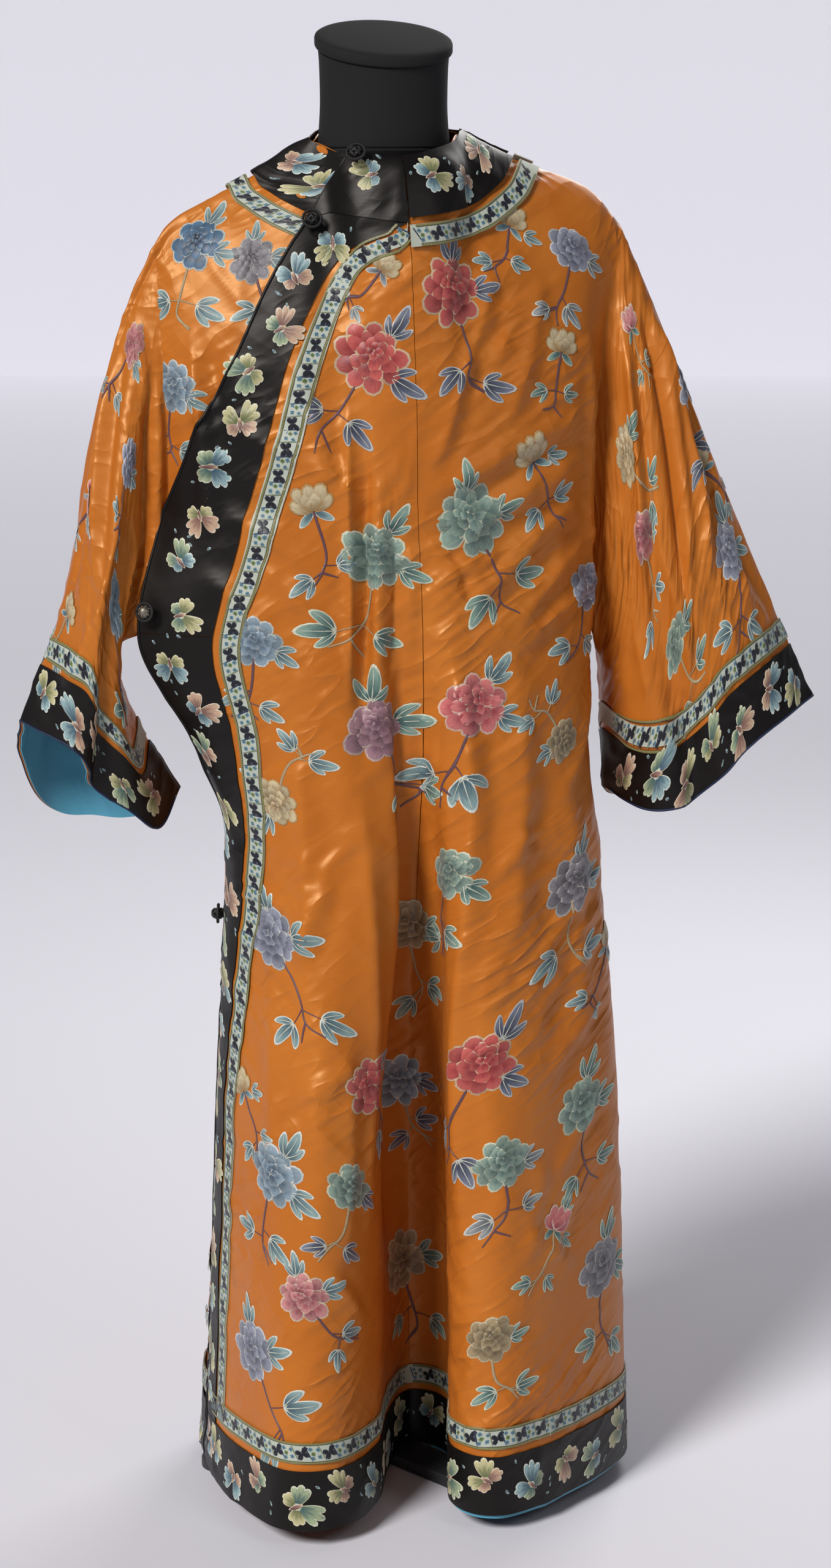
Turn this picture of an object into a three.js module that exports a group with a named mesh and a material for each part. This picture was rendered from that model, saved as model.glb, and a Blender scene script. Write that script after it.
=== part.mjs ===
// Court-style chenyi robe standing on a limbless dress form. Millimetres, +Z up, front towards -Y,
// origin on the floor under the stand's pole. "r" is the wearer's right (-X), "l" the wearer's left (+X).
import * as THREE from "three";

// ---------- sizes ----------
const CLOTH = 1.6;            // satin panel with its lining, one wall
const TRIM = 1.2;             // applied bands and ribbons
const YOKE_RISE = 1.2;        // further out where the yoke has its own columns
const YOKE_COLUMNS = 10;
const LIFT = 3.3;             // clear air from a panel's middle surface to the trim on freely laid strips
const SEAM = 0.3;             // air left at a seam
const CENTRE_TURN = 1.5;      // the same for the centre seam down in its deep fold
const EDGE_TURN = 0.85;       // extra so that edges leaning towards each other stay apart
const UNDERLAP = 6.1;         // how far the inner front lies behind the outer one at the chest
const INNER_TOP = 6;          // last station of the inner front at the neck
const INNER_REACH = 3.5;      // and down the front
const UNDERLAP_LOW = 12;      // and well under it, clear of its folds
const COVER_BLEND = 0.8;      // stations over which it sinks from one to the other
const CHEST_Z = 1000;         // height where the shoulder drape becomes hanging folds
const UNDERARM_Z = 884;
const ARMHOLE_OPEN = 36;      // front to back width of the armhole
const ARMHOLE_CLOSE = 116;    // height over which it narrows to the underarm
const HEM_Z = 20;
const BAND_WIDTH = 60;        // black satin border
const BAND_GAP = 7;           // strip of ground colour between border and ribbon
const RIBBON_WIDTH = 21;
const YOKE_WIDTH = 58;
const YOKE_EXTRA = 8;         // the yoke is this much wider at the right shoulder
const TOP_SLOPE = 0.34;       // fall of the cloth over that run
const BACK_REACH = 0.85;      // the back runs out a little less than the front
const CHEST_PULL = 150;       // length of the straight run above the chest line
const SLEEVE_SEAM = 0.28;     // share of the sleeve that is cut in one with the body
const CUFF_START = 107.5;     // sleeve rows run parallel to the cuff from here down
const SLEEVE_GAP = 0.0045;    // share of the sleeve left open at its seam
const TRIM_SEAM = 0.0006;     // fall left open between two trims that meet end to end
const HEM_LINING_HEIGHT = 34;
const HEM_LINING_DROP = 4;

// Fourteen stations run round the front from the right side to the left side.
// side_r hip_r flank_r knee_r crest_r lip_r wall_r centre wall_l lip_l crest_l flank_l hip_l side_l
const CENTRE = 7;
const NECK_MARGIN = 0.05;     // stations kept clear of the centre seam
const BAND_COLUMNS = 4;       // columns across the border
const BORDER_COLUMNS = BAND_COLUMNS + 2; // and across border, gap and ribbon
const LAST = 13;
const NECK_R = 5;
const NECK_L = 9;
const FRONT_SECTIONS = [
  { z: 1000, xy: [[-226, -34], [-205, -58], [-172, -82], [-132, -102], [-86, -118], [-44, -127], [-18, -130],
    [4, -130], [26, -130], [50, -127], [84, -119], [126, -103], [174, -74], [206, -24]] },
  { z: 884, xy: [[-254, -46], [-222, -70], [-180, -94], [-134, -114], [-84, -129], [-40, -137], [-12, -138],
    [8, -136], [28, -139], [52, -140], [84, -135], [128, -117], [178, -82], [206, -20]] },
  { z: 764, xy: [[-193, -36], [-186, -66], [-160, -98], [-120, -128], [-72, -146], [-24, -148], [-4, -136],
    [10, -128], [26, -138], [40, -152], [74, -156], [126, -138], [182, -92], [205, -20]] },
  { z: 670, xy: [[-166, -30], [-170, -60], [-152, -100], [-114, -142], [-66, -158], [-16, -150], [-4, -122],
    [10, -108], [28, -122], [32, -154], [68, -168], [126, -150], [194, -96], [206, -16]] },
  { z: 400, xy: [[-176, -16], [-181, -60], [-170, -116], [-138, -178], [-88, -190], [-42, -152], [-20, -88],
    [12, -50], [40, -78], [30, -164], [66, -200], [136, -172], [216, -104], [226, -8]] },
  { z: 20, xy: [[-194, -20], [-196, -72], [-184, -142], [-150, -220], [-94, -224], [-48, -172], [-18, -86],
    [18, -30], [52, -72], [26, -190], [62, -234], [140, -196], [228, -108], [238, -10]] },
];
// top line: shoulder fold outside the neck stations, neck edge between them
const TOP_LINE = [[-230, 2, 1248], [-212, 4, 1274], [-180, 4, 1294], [-140, 4, 1314], [-102, 2, 1336],
  [-74, -4, 1352], [-50, -52, 1345], [0, -76, 1336], [50, -52, 1347], [74, -4, 1360], [106, 2, 1346],
  [150, 4, 1329], [208, 4, 1306], [242, 2, 1268]];
const BACK_NECK = { 6: [-50, 46, 1362], 7: [0, 62, 1366], 8: [50, 46, 1366] };
// how far the cloth runs out from the top line before it falls
const TOP_REACH = [14, 26, 42, 56, 64, 60, 44, 34, 44, 60, 64, 56, 38, 16];
const BACK_DEPTH = [{ z: 1000, y: 108 }, { z: 884, y: 114 }, { z: 764, y: 119 }, { z: 670, y: 123 },
  { z: 400, y: 136 }, { z: 20, y: 150 }];
const BACK_FOLD = { count: 3.5, deep: 15, from: 1080, skew: 0.6 };
// shallow vertical pinches of the front: station, half width in stations, depth, height span
const PINCHES = [
  { at: 4.55, half: 0.4, deep: 7, top: 1130, bottom: 690 },
  { at: 2.6, half: 0.5, deep: 5, top: 900, bottom: 250 },
  { at: 11.2, half: 0.5, deep: 6, top: 800, bottom: 60 },
  { at: 3.6, half: 0.4, deep: -4, top: 700, bottom: 60 },
];
// closing edge of the outer front: border's outer and inner sides as x at a height
const PLACKET = [{ z: 1346, outer: -46, inner: 40 }, { z: 1310, outer: -66, inner: 30 },
  { z: 1279, outer: -87, inner: 2 }, { z: 1250, outer: -108, inner: -54 }, { z: 1203, outer: -136, inner: -88 },
  { z: 1144, outer: -164, inner: -115 }, { z: 1105, outer: -185, inner: -127 },
  { z: 1060, outer: -204, inner: -139 }, { z: 1000, outer: -226, inner: -157 }];
const YOKE_ROW = 0.33;        // fall at which the yoke gives way to the closing border
const YOKE_SEAM = 0.003;      // fall left as the seam between them
const SLANT = 1.22;           // closing strips measured level instead of square to their run

// sleeves: outer fold line from shoulder to cuff, inner line from underarm to cuff, cuff edge front and back
const SLEEVES = {
  right: {
    sign: -1, station: 0,
    outer: [[-230, 2, 1248], [-256, 4, 1192], [-275, 2, 1130], [-291, 0, 1058], [-310, -2, 960], [-330, -4, 888],
      [-344, -6, 850], [-366, -8, 794]],
    inner: [[-254, -34, 884], [-274, -10, 862], [-254, 10, 796], [-207, 20, 716]],
    front: [[-366, -8, 794], [-342, -44, 784], [-319, -60, 770], [-308, -52, 750], [-300, -34, 730],
      [-266, -34, 706], [-234, -18, 683], [-207, 20, 716]],
    back: [[-366, -8, 794], [-362, 34, 752], [-344, 62, 706], [-318, 76, 684], [-286, 80, 680], [-256, 70, 678],
      [-226, 50, 688], [-207, 20, 716]],
    bulge: { front: -34, back: 44 }, underSeam: 0.014,
  },
  left: {
    sign: 1, station: 13,
    outer: [[242, 2, 1268], [261, 0, 1226], [285, -4, 1169], [312, -10, 1097], [336, -16, 1037], [359, -24, 978],
      [397, -34, 888], [437, -42, 794]],
    inner: [[206, -6, 884], [222, -2, 836], [228, 0, 775], [228, -4, 708]],
    front: [[437, -42, 794], [394, -80, 778], [354, -94, 754], [330, -92, 727], [308, -72, 702],
      [282, -84, 692], [252, -64, 690], [228, -4, 704]],
    back: [[437, -42, 794], [418, 4, 766], [390, 34, 726], [352, 46, 694], [312, 48, 684], [276, 44, 682],
      [248, 30, 688], [228, -4, 704]],
    bulge: { front: -36, back: 40 }, underSeam: 0.006,
  },
};

// dress form: height, half width, front reach, back reach
const FORM_RINGS = [
  { z: 640, a: 128, f: 84, b: 88 }, { z: 700, a: 150, f: 96, b: 102 }, { z: 790, a: 156, f: 98, b: 104 },
  { z: 880, a: 134, f: 88, b: 88 }, { z: 960, a: 122, f: 84, b: 78 }, { z: 1050, a: 138, f: 100, b: 82 },
  { z: 1130, a: 152, f: 98, b: 86 }, { z: 1200, a: 166, f: 68, b: 70 }, { z: 1250, a: 172, f: 46, b: 48 },
  { z: 1274, a: 156, f: 34, b: 36 }, { z: 1292, a: 126, f: 28, b: 30 }, { z: 1308, a: 96, f: 32, b: 32 },
  { z: 1324, a: 74, f: 44, b: 40 }, { z: 1346, a: 64, f: 55, b: 49 },
];
const FORM_SIDES = 28;
const NECK_STUMP = { a: 65, b: 55, bottom: 1346.3, centre: 1440, tilt: 0.34, cap: 12, rim: 3, lip: 2 };
const POLE = { radius: 15, top: 639.7, sides: 20 };
const BASE = { legs: 3, length: 196, width: 44, height: 12, hub: 34, first: Math.PI, bends: 6,
  collar: 19, foot: 24, collarTop: 60 };

// ---------- small vector and curve helpers ----------
const add = (a, b, k = 1) => [a[0] + b[0] * k, a[1] + b[1] * k, a[2] + b[2] * k];
const sub = (a, b) => [a[0] - b[0], a[1] - b[1], a[2] - b[2]];
const cross = (a, b) => [a[1] * b[2] - a[2] * b[1], a[2] * b[0] - a[0] * b[2], a[0] * b[1] - a[1] * b[0]];
const size = (a) => Math.hypot(a[0], a[1], a[2]);
const unit = (a) => { const s = size(a) || 1; return [a[0] / s, a[1] / s, a[2] / s]; };
const lerp = (a, b, t) => a + (b - a) * t;
const mix = (a, b, t) => a.map((value, i) => lerp(value, b[i], t));
const clamp = (t, low = 0, high = 1) => Math.min(high, Math.max(low, t));
const smooth = (t) => { const s = clamp(t); return s * s * (3 - 2 * s); };

/** Catmull-Rom point through rows of numbers; t runs 0..rows-1. */
function spline(points, t) {
  const n = points.length - 1;
  const i = Math.min(n - 1, Math.max(0, Math.floor(t)));
  const s = t - i;
  const p1 = points[i];
  const p2 = points[i + 1];
  const p0 = i > 0 ? points[i - 1] : p1.map((v, k) => 2 * v - p2[k]);
  const p3 = i < n - 1 ? points[i + 2] : p2.map((v, k) => 2 * v - p1[k]);
  return p1.map((v, k) => 0.5 * (2 * v + (p2[k] - p0[k]) * s
    + (2 * p0[k] - 5 * v + 4 * p2[k] - p3[k]) * s * s + (3 * v - p0[k] - 3 * p2[k] + p3[k]) * s * s * s));
}

/** Value of a table column at a height, without overshoot; the table falls in z. */
function atHeight(table, z, read) {
  const n = table.length;
  const slope = (i) => (read(table[i + 1]) - read(table[i])) / (table[i + 1].z - table[i].z);
  const tangent = (i) => {
    if (i === 0) return slope(0);
    if (i === n - 1) return slope(n - 2);
    const a = slope(i - 1);
    const b = slope(i);
    return a * b <= 0 ? 0 : (2 * a * b) / (a + b);
  };
  let i = 0;
  while (i < n - 2 && z < table[i + 1].z) i += 1;
  const h = table[i + 1].z - table[i].z;
  const t = clamp((z - table[i].z) / h);
  const t2 = t * t;
  const t3 = t2 * t;
  return (2 * t3 - 3 * t2 + 1) * read(table[i]) + (t3 - 2 * t2 + t) * h * tangent(i)
    + (3 * t2 - 2 * t3) * read(table[i + 1]) + (t3 - t2) * h * tangent(i + 1);
}

const OVER = CLOTH / 2 + SEAM + TRIM / 2;         // from a panel's middle surface to a trim's
const heightOf = (w) => CHEST_Z - (w - 1) * (CHEST_Z - HEM_Z);
const fallOf = (z) => 1 + (CHEST_Z - z) / (CHEST_Z - HEM_Z);
const UNDERARM_W = fallOf(UNDERARM_Z);

// ---------- cloth surfaces: u in stations, w 0 top line .. 1 chest .. 2 hem ----------
function frontSection(u, z) {
  const stations = FRONT_SECTIONS[0].xy.map((_, i) =>
    [atHeight(FRONT_SECTIONS, z, (row) => row.xy[i][0]), atHeight(FRONT_SECTIONS, z, (row) => row.xy[i][1])]);
  const [x, y] = spline(stations, u);
  let inward = 0;
  for (const p of PINCHES) {
    const across = (u - p.at) / p.half;
    const down = Math.sin(Math.PI * clamp((p.top - z) / (p.top - p.bottom)));
    inward += p.deep * Math.exp(-across * across) * down;
  }
  return [x, y + inward, z];
}

function backSection(u, z) {
  const r = frontSection(0, z);
  const l = frontSection(LAST, z);
  const turn = (u <= CENTRE ? u / CENTRE - 1 : (u - CENTRE) / (LAST - CENTRE)) * Math.PI / 2;
  const middle = (r[0] + l[0]) / 2;
  const half = (l[0] - r[0]) / 2;
  const parted = ARMHOLE_OPEN * Math.pow(clamp((z - UNDERARM_Z) / ARMHOLE_CLOSE), 0.6);
  const side = lerp(r[1], l[1], (Math.sin(turn) + 1) / 2) + parted;
  const depth = atHeight(BACK_DEPTH, z, (row) => row.y);
  const open = Math.pow(Math.cos(turn), 0.75);
  const fall = smooth((BACK_FOLD.from - z) / (BACK_FOLD.from - HEM_Z));
  const wave = Math.cos(BACK_FOLD.count * 2 * turn + BACK_FOLD.skew) * BACK_FOLD.deep * fall * Math.cos(turn);
  return [middle + half * Math.sin(turn), side + (depth - side) * open + wave, z];
}

function drape(top, reach, u, w, section) {
  if (w >= 1) return section(u, heightOf(w));
  const foot = section(u, CHEST_Z);
  const p1 = add(top, reach);
  const p2 = [foot[0], foot[1], CHEST_Z + CHEST_PULL];
  const m = 1 - w;
  return top.map((v, k) => m * m * m * v + 3 * m * m * w * p1[k] + 3 * m * w * w * p2[k] + w * w * w * foot[k]);
}

function topPoint(u, back) {
  const atNeck = back && u > NECK_R && u < NECK_L;
  return spline(TOP_LINE.map((p, i) => (atNeck && BACK_NECK[i] ? BACK_NECK[i] : p)), u);
}

function front(u, w) {
  const top = topPoint(u, false);
  const out = spline(TOP_REACH.map((v) => [v]), u)[0];
  return drape(top, [0, -out, -out * TOP_SLOPE], u, w, frontSection);
}

function back(u, w) {
  const top = topPoint(u, true);
  const out = spline(TOP_REACH.map((v) => [v]), u)[0];
  return drape(top, [0, out * BACK_REACH, -out * TOP_SLOPE], u, w, backSection);
}

/** Outward unit normal of a surface; side is +1 where u x w points out. */
function normal(surface, u, w, side) {
  const e = 0.01;
  const a = sub(surface(Math.min(LAST, u + e), w), surface(Math.max(0, u - e), w));
  const b = sub(surface(u, Math.min(2, w + e)), surface(u, Math.max(0, w - e)));
  const n = unit(cross(a, b));
  return n.map((v) => v * side);
}
const frontNormal = (u, w) => normal(front, u, w, -1);
const backNormal = (u, w) => normal(back, u, w, 1);

/** Station and fall of the front point with this x and z. */
function findFront(x, z) {
  let u = 3;
  let w = 0.6;
  for (let k = 0; k < 60; k += 1) {
    const p = front(u, w);
    const e = 0.004;
    const pu = front(u + e, w);
    const pw = front(u, w + e);
    const a = (pu[0] - p[0]) / e;
    const b = (pw[0] - p[0]) / e;
    const c = (pu[2] - p[2]) / e;
    const d = (pw[2] - p[2]) / e;
    const det = a * d - b * c;
    const dx = x - p[0];
    const dz = z - p[2];
    u = clamp(u + clamp((d * dx - b * dz) / det, -0.6, 0.6), 0, LAST - 0.01);
    w = clamp(w + clamp((a * dz - c * dx) / det, -0.12, 0.12), 0, 1.9);
  }
  return [u, w];
}

/** Station reached by going a distance along the shoulder fold away from the neck. */
function alongFold(from, distance) {
  const step = from <= NECK_R ? -0.01 : 0.01;
  let u = from;
  let length = 0;
  let last = topPoint(u, false);
  while (length < distance) {
    u += step;
    const p = topPoint(u, false);
    length += size(sub(p, last));
    last = p;
  }
  return u;
}

/** Walks a distance over a surface from (u, w) along a heading; returns the new station, fall and heading. */
function walk(surface, u, w, heading, distance) {
  const steps = Math.max(1, Math.ceil(distance / 4));
  let dir = heading;
  const at = [u, w];
  for (let k = 0; k < steps; k += 1) {
    const e = 0.004;
    const p = surface(at[0], at[1]);
    const eu = at[0] + e > LAST ? -e : e;
    const pu = sub(surface(at[0] + eu, at[1]), p).map((v) => v / eu);
    const pw = sub(surface(at[0], at[1] + e), p).map((v) => v / e);
    const uu = pu.reduce((s, v) => s + v * v, 0);
    const ww = pw.reduce((s, v) => s + v * v, 0);
    const uw = pu.reduce((s, v, i) => s + v * pw[i], 0);
    const du0 = pu.reduce((s, v, i) => s + v * dir[i], 0);
    const dw0 = pw.reduce((s, v, i) => s + v * dir[i], 0);
    const det = uu * ww - uw * uw;
    let du = (ww * du0 - uw * dw0) / det;
    let dw = (uu * dw0 - uw * du0) / det;
    const actual = add(pu.map((v) => v * du), pw, dw);
    const scale = distance / steps / (size(actual) || 1);
    du *= scale;
    dw *= scale;
    at[0] = clamp(at[0] + du, 0, LAST - 0.005);
    at[1] = clamp(at[1] + dw, 0, 2);
    dir = unit(actual);
  }
  return [at[0], at[1]];
}

// ---------- sleeves: t 0 armhole .. 1 cuff, s 0 outer fold .. 1 underarm ----------
function armhole(cut, s, face) {
  const w = s * UNDERARM_W;
  const surface = face === "front" ? front : back;
  const p = surface(cut.station, w);
  const tuck = cut.sign < 0 ? UNDERLAP * smooth(w / 0.12) : 0;
  return add(p, frontNormal(cut.station, Math.max(w, 0.02)), -tuck);
}

function sleevePoint(cut, t, s, face) {
  const outer = (k) => spline(cut.outer, k * (cut.outer.length - 1));
  const inner = (k) => spline(cut.inner, k * (cut.inner.length - 1));
  const start = armhole(cut, s, face);
  const top = armhole(cut, 0, face)[2];
  const down = (top - start[2]) / (top - armhole(cut, 1, face)[2]);
  const rim = cut[face];
  const chord = mix(outer(t), inner(t), down);
  const startShape = sub(start, mix(outer(0), inner(0), down));
  const endShape = sub(spline(rim, down * (rim.length - 1)), mix(outer(1), inner(1), down));
  const swell = cut.bulge[face] * Math.sin(Math.PI * t) * Math.pow(4 * down * (1 - down), 0.75);
  const p = add(add(chord, startShape, Math.pow(1 - t, 1.6)), endShape, Math.pow(t, 1.25));
  return [p[0], p[1] + swell, p[2]];
}

/** Sleeve parameter t that lies a given length short of the cuff along line s. */
function fromCuff(cut, s, face, distance) {
  const steps = 60;
  let length = 0;
  let last = sleevePoint(cut, 1, s, face);
  for (let k = steps - 1; k >= 0; k -= 1) {
    const p = sleevePoint(cut, k / steps, s, face);
    const piece = size(sub(p, last));
    if (length + piece >= distance) return (k + 1 - (distance - length) / piece) / steps;
    length += piece;
    last = p;
  }
  return 0;
}

// ---------- meshes ----------
/** Open sheet put together from rows of points; equal points are joined. */
class Sheet {
  constructor() { this.points = []; this.faces = []; this.known = new Map(); }

  at(p) {
    const key = p.map((v) => Math.round(v * 200)).join(",");
    if (!this.known.has(key)) { this.known.set(key, this.points.length); this.points.push(p); }
    return this.known.get(key);
  }

  /** Fills between two rows, which may differ in count; each item is [position along, point]. */
  strip(rowA, rowB, flip) {
    let i = 0;
    let j = 0;
    while (i < rowA.length - 1 || j < rowB.length - 1) {
      const nextA = i < rowA.length - 1 ? rowA[i + 1][0] : Infinity;
      const nextB = j < rowB.length - 1 ? rowB[j + 1][0] : Infinity;
      const a = this.at(rowA[i][1]);
      const b = this.at(rowB[j][1]);
      let c;
      if (nextA <= nextB + 1e-9) {
        i += 1;
        c = this.at(rowA[i][1]);
      } else {
        j += 1;
        c = this.at(rowB[j][1]);
      }
      if (a !== b && b !== c && a !== c) this.faces.push(flip ? [a, c, b] : [a, b, c]);
    }
  }

  grid(rows, flip = false) {
    for (let k = 0; k < rows.length - 1; k += 1) this.strip(rows[k], rows[k + 1], flip);
    return this;
  }

  /** Normal of this sheet's point nearest to p. */
  normalNear(p) {
    let best = 0;
    let least = Infinity;
    this.points.forEach((q, i) => {
      const d = size(sub(p, q));
      if (d < least) { least = d; best = i; }
    });
    return this.normals[best];
  }

  /** Closed wall: the sheet moved to two sides, edges joined; a trim leans as the sheet under it does. */
  wall(thickness, shift = 0, under = null) {
    const normals = this.points.map(() => [0, 0, 0]);
    const edges = new Map();
    for (const f of this.faces) {
      const [a, b, c] = f.map((i) => this.points[i]);
      const n = unit(cross(sub(b, a), sub(c, a)));
      f.forEach((v, k) => {
        const p = this.points[v];
        const q = unit(sub(this.points[f[(k + 1) % 3]], p));
        const r = unit(sub(this.points[f[(k + 2) % 3]], p));
        const angle = Math.acos(clamp(q[0] * r[0] + q[1] * r[1] + q[2] * r[2], -1, 1));
        normals[v] = add(normals[v], n, angle);
        edges.set(`${v}_${f[(k + 1) % 3]}`, [v, f[(k + 1) % 3]]);
      });
    }
    const n = this.points.length;
    this.normals = normals.map(unit);
    const leaning = under ? this.points.map((p) => under.normalNear(p)) : this.normals;
    const outer = this.points.map((p, i) => add(p, leaning[i], shift + thickness / 2));
    const inner = this.points.map((p, i) => add(p, leaning[i], shift - thickness / 2));
    const index = [];
    for (const [a, b, c] of this.faces) index.push(a, b, c, n + a, n + c, n + b);
    for (const [a, b] of edges.values()) {
      if (!edges.has(`${b}_${a}`)) index.push(b, a, n + a, b, n + a, n + b);
    }
    const geometry = new THREE.BufferGeometry();
    geometry.setAttribute("position", new THREE.Float32BufferAttribute([...outer, ...inner].flat(), 3));
    geometry.setIndex(index);
    return geometry;
  }
}

const group = new THREE.Group();
group.name = "chenyi_on_dress_form";
const PAINT = {
  satin: { color: "#ce7a22", roughness: 0.45 }, border: { color: "#14110f", roughness: 0.5 },
  ribbon: { color: "#b9b894", roughness: 0.7 }, lining: { color: "#4f9db8", roughness: 0.5 },
  form: { color: "#17171a", roughness: 0.9 }, metal: { color: "#3a3a3d", roughness: 0.5 },
  button: { color: "#b8b2a4", roughness: 0.35 },
};
function place(name, geometry, paint) {
  geometry.computeVertexNormals();
  const mesh = new THREE.Mesh(geometry, new THREE.MeshStandardMaterial(PAINT[paint]));
  mesh.name = name;
  group.add(mesh);
  return mesh;
}

// ---------- rows and columns ----------
const UPPER_W = [0, 0.05, 0.12, 0.22, 0.34, 0.47, 0.62, 0.8, 1];
const ARM_Z = [942, UNDERARM_Z];
const RIBBON_FOOT = BAND_WIDTH + BAND_GAP;        // ribbon's edges above the cloth's edge
const RIBBON_TOP = RIBBON_FOOT + RIBBON_WIDTH;
const HEM_ROWS = [RIBBON_TOP, RIBBON_FOOT, BAND_WIDTH, BAND_WIDTH / 2, 0].map((d) => HEM_Z + d);
const BODY_Z = [824, 764, 704, 644, 576, 506, 436, 366, 300, 236, 170];
const ARM_W = [...UPPER_W, ...ARM_Z.map(fallOf)];
const LOW_W = [...BODY_Z, ...HEM_ROWS].map(fallOf);
const ALL_W = [...ARM_W, ...LOW_W];
const HEM_W = HEM_ROWS.map(fallOf);
const LEFT_U = [7, 7.5, 8, 8.35, 8.7, 9, 9.4, 9.7, 10, 10.5, 11, 11.5, 12, 12.5, 13];
const INNER_U = [0, 0.5, 1, 1.5, 2, 2.5, 3, 3.5, 4, 4.5, 5, 5.33, 5.67, 6];
const INNER_LOW_U = [0, 0.75, 1.5, 2.25, 3, 4, 5, 6];
const BACK_RIGHT_U = [0, 0.5, 1, 1.5, 2, 2.5, 3, 3.5, 4, 4.5, 5, 5.5, 6, 6.5, 7];
const BACK_LEFT_U = [7, 7.5, 8, 8.5, 9, 9.4, 9.7, 10, 10.5, 11, 11.5, 12, 12.5, 13];
const BACK_LOW_RIGHT_U = [0, 0.5, 1, 2, 3, 4, 5, 6, 7];
const BACK_LOW_LEFT_U = [7, 8, 9, 10, 11, 12, 12.5, 13];

/** Keeps half a seam of air at the piece edges that meet another piece or the piece's own far side. */
function seamShift(surface, u, w, edge) {
  if (edge === 0) return surface(u, w);
  const p = surface(u, w);
  const q = surface(u + edge * 0.05, w);
  return add(p, unit(sub(q, p)), SEAM / 2 + EDGE_TURN);
}

/** Station of the inner front's column at a fall; it reaches a little way under the closing edge. */
function innerStation(u, w) {
  const reach = Math.max(INNER_REACH, Math.min(INNER_TOP, closingStation(w) + 0.9));
  return (u * reach) / INNER_TOP;
}
/** Edge of an outer front piece along the centre seam, drawn back further where the fold turns sharply. */
function centreEdge(w, side) {
  const p = front(CENTRE, w);
  const q = front(CENTRE + side * 0.05, w);
  return add(p, unit(sub(q, p)), SEAM / 2 + EDGE_TURN + CENTRE_TURN * smooth(w - 1));
}
function innerFront(u, w) {
  const p = w > UNDERARM_W + 1e-6 && u === 0 ? seamShift(front, u, w, 1) : front(u, w);
  const covered = smooth((u - closingStation(w)) / COVER_BLEND) * smooth(w / 0.25);
  const deep = (UNDERLAP_LOW - UNDERLAP) * covered;
  const sunk = UNDERLAP * Math.max(smooth(w / 0.12), smooth((u - NECK_R) / 0.5));
  return add(p, frontNormal(u, Math.max(w, 0.02)), -sunk - deep);
}
function backRight(u, w) {
  const low = w > UNDERARM_W + 1e-6;
  let p = low && u === 0 ? seamShift(back, u, w, 1) : back(u, w);
  if (u === CENTRE) p = seamShift(back, u, w, -1);
  const near = Math.exp(-u * 1.2);
  return add(p, frontNormal(0, Math.max(w, 0.02)), -UNDERLAP * smooth(w / 0.12) * near);
}
function backLeft(u, w) {
  if (u === CENTRE) return seamShift(back, u, w, 1);
  if (u === LAST && w > UNDERARM_W + 1e-6) return seamShift(back, u, w, -1);
  return back(u, w);
}
function leftFront(u, w) {
  if (u === CENTRE) return centreEdge(w, 1);
  if (u === LAST && w > UNDERARM_W + 1e-6) return seamShift(front, u, w, -1);
  return front(u, w);
}

const rowsOf = (surface, us, ws) => ws.map((w) => us.map((u) => [u, surface(u, w)]));

/** Sleeve ring as two open halves from the outer fold to the underarm. */
function sleeveRows(cut, face, ts) {
  return ts.map((tOf) => ARM_W.map((w) => {
    const s = w / UNDERARM_W;
    return [s, sleevePoint(cut, tOf(s), s, face)];
  }));
}

// ---------- body pieces ----------
const rightBody = new Sheet();
const innerAt = (u, w) => innerFront(innerStation(u, w), w);
rightBody.grid([...rowsOf(innerAt, INNER_U, ARM_W), ...rowsOf(innerAt, INNER_LOW_U, LOW_W)], false);
rightBody.grid([...rowsOf(backRight, BACK_RIGHT_U, ARM_W),
  ...rowsOf(backRight, BACK_LOW_RIGHT_U, LOW_W)], true);
const leftBody = new Sheet();
leftBody.grid(rowsOf(leftFront, LEFT_U, ALL_W), false);
leftBody.grid([...rowsOf(backLeft, BACK_LEFT_U, ARM_W), ...rowsOf(backLeft, BACK_LOW_LEFT_U, LOW_W)], true);
const CAP_T = [0, SLEEVE_SEAM / 2, SLEEVE_SEAM];
for (const [sheet, cut, flip] of [[rightBody, SLEEVES.right, false], [leftBody, SLEEVES.left, true]]) {
  const edge = ARM_W.map((w) => [w / UNDERARM_W, null]);
  for (const face of ["front", "back"]) {
    const rows = CAP_T.map((t) => ARM_W.map((w, i) => {
      const s = edge[i][0];
      if (t > 0) return [s, sleevePoint(cut, t, s, face)];
      if (cut.sign > 0) return [s, (face === "front" ? leftFront : backLeft)(LAST, w)];
      return [s, (face === "front" ? innerFront : backRight)(0, w)];
    }));
    sheet.grid(rows, face === "front" ? flip : !flip);
  }
}
place("right_body", rightBody.wall(CLOTH), "satin");
place("left_body", leftBody.wall(CLOTH), "satin");

// ---------- outer front overlap, from the closing edge to the centre seam ----------
function placketX(z, edge) {
  return atHeight(PLACKET, clamp(z, CHEST_Z, PLACKET[0].z), (row) => row[edge]);
}
function edgeStation(w, edge) {
  let low = 0;
  let high = CENTRE - NECK_MARGIN;
  for (let k = 0; k < 40; k += 1) {
    const middle = (low + high) / 2;
    const p = front(middle, w);
    if (p[0] < placketX(p[2], edge)) low = middle; else high = middle;
  }
  return high;
}
function closingStation(w) { return w >= 1 ? 0 : edgeStation(w, "outer"); }
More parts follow.
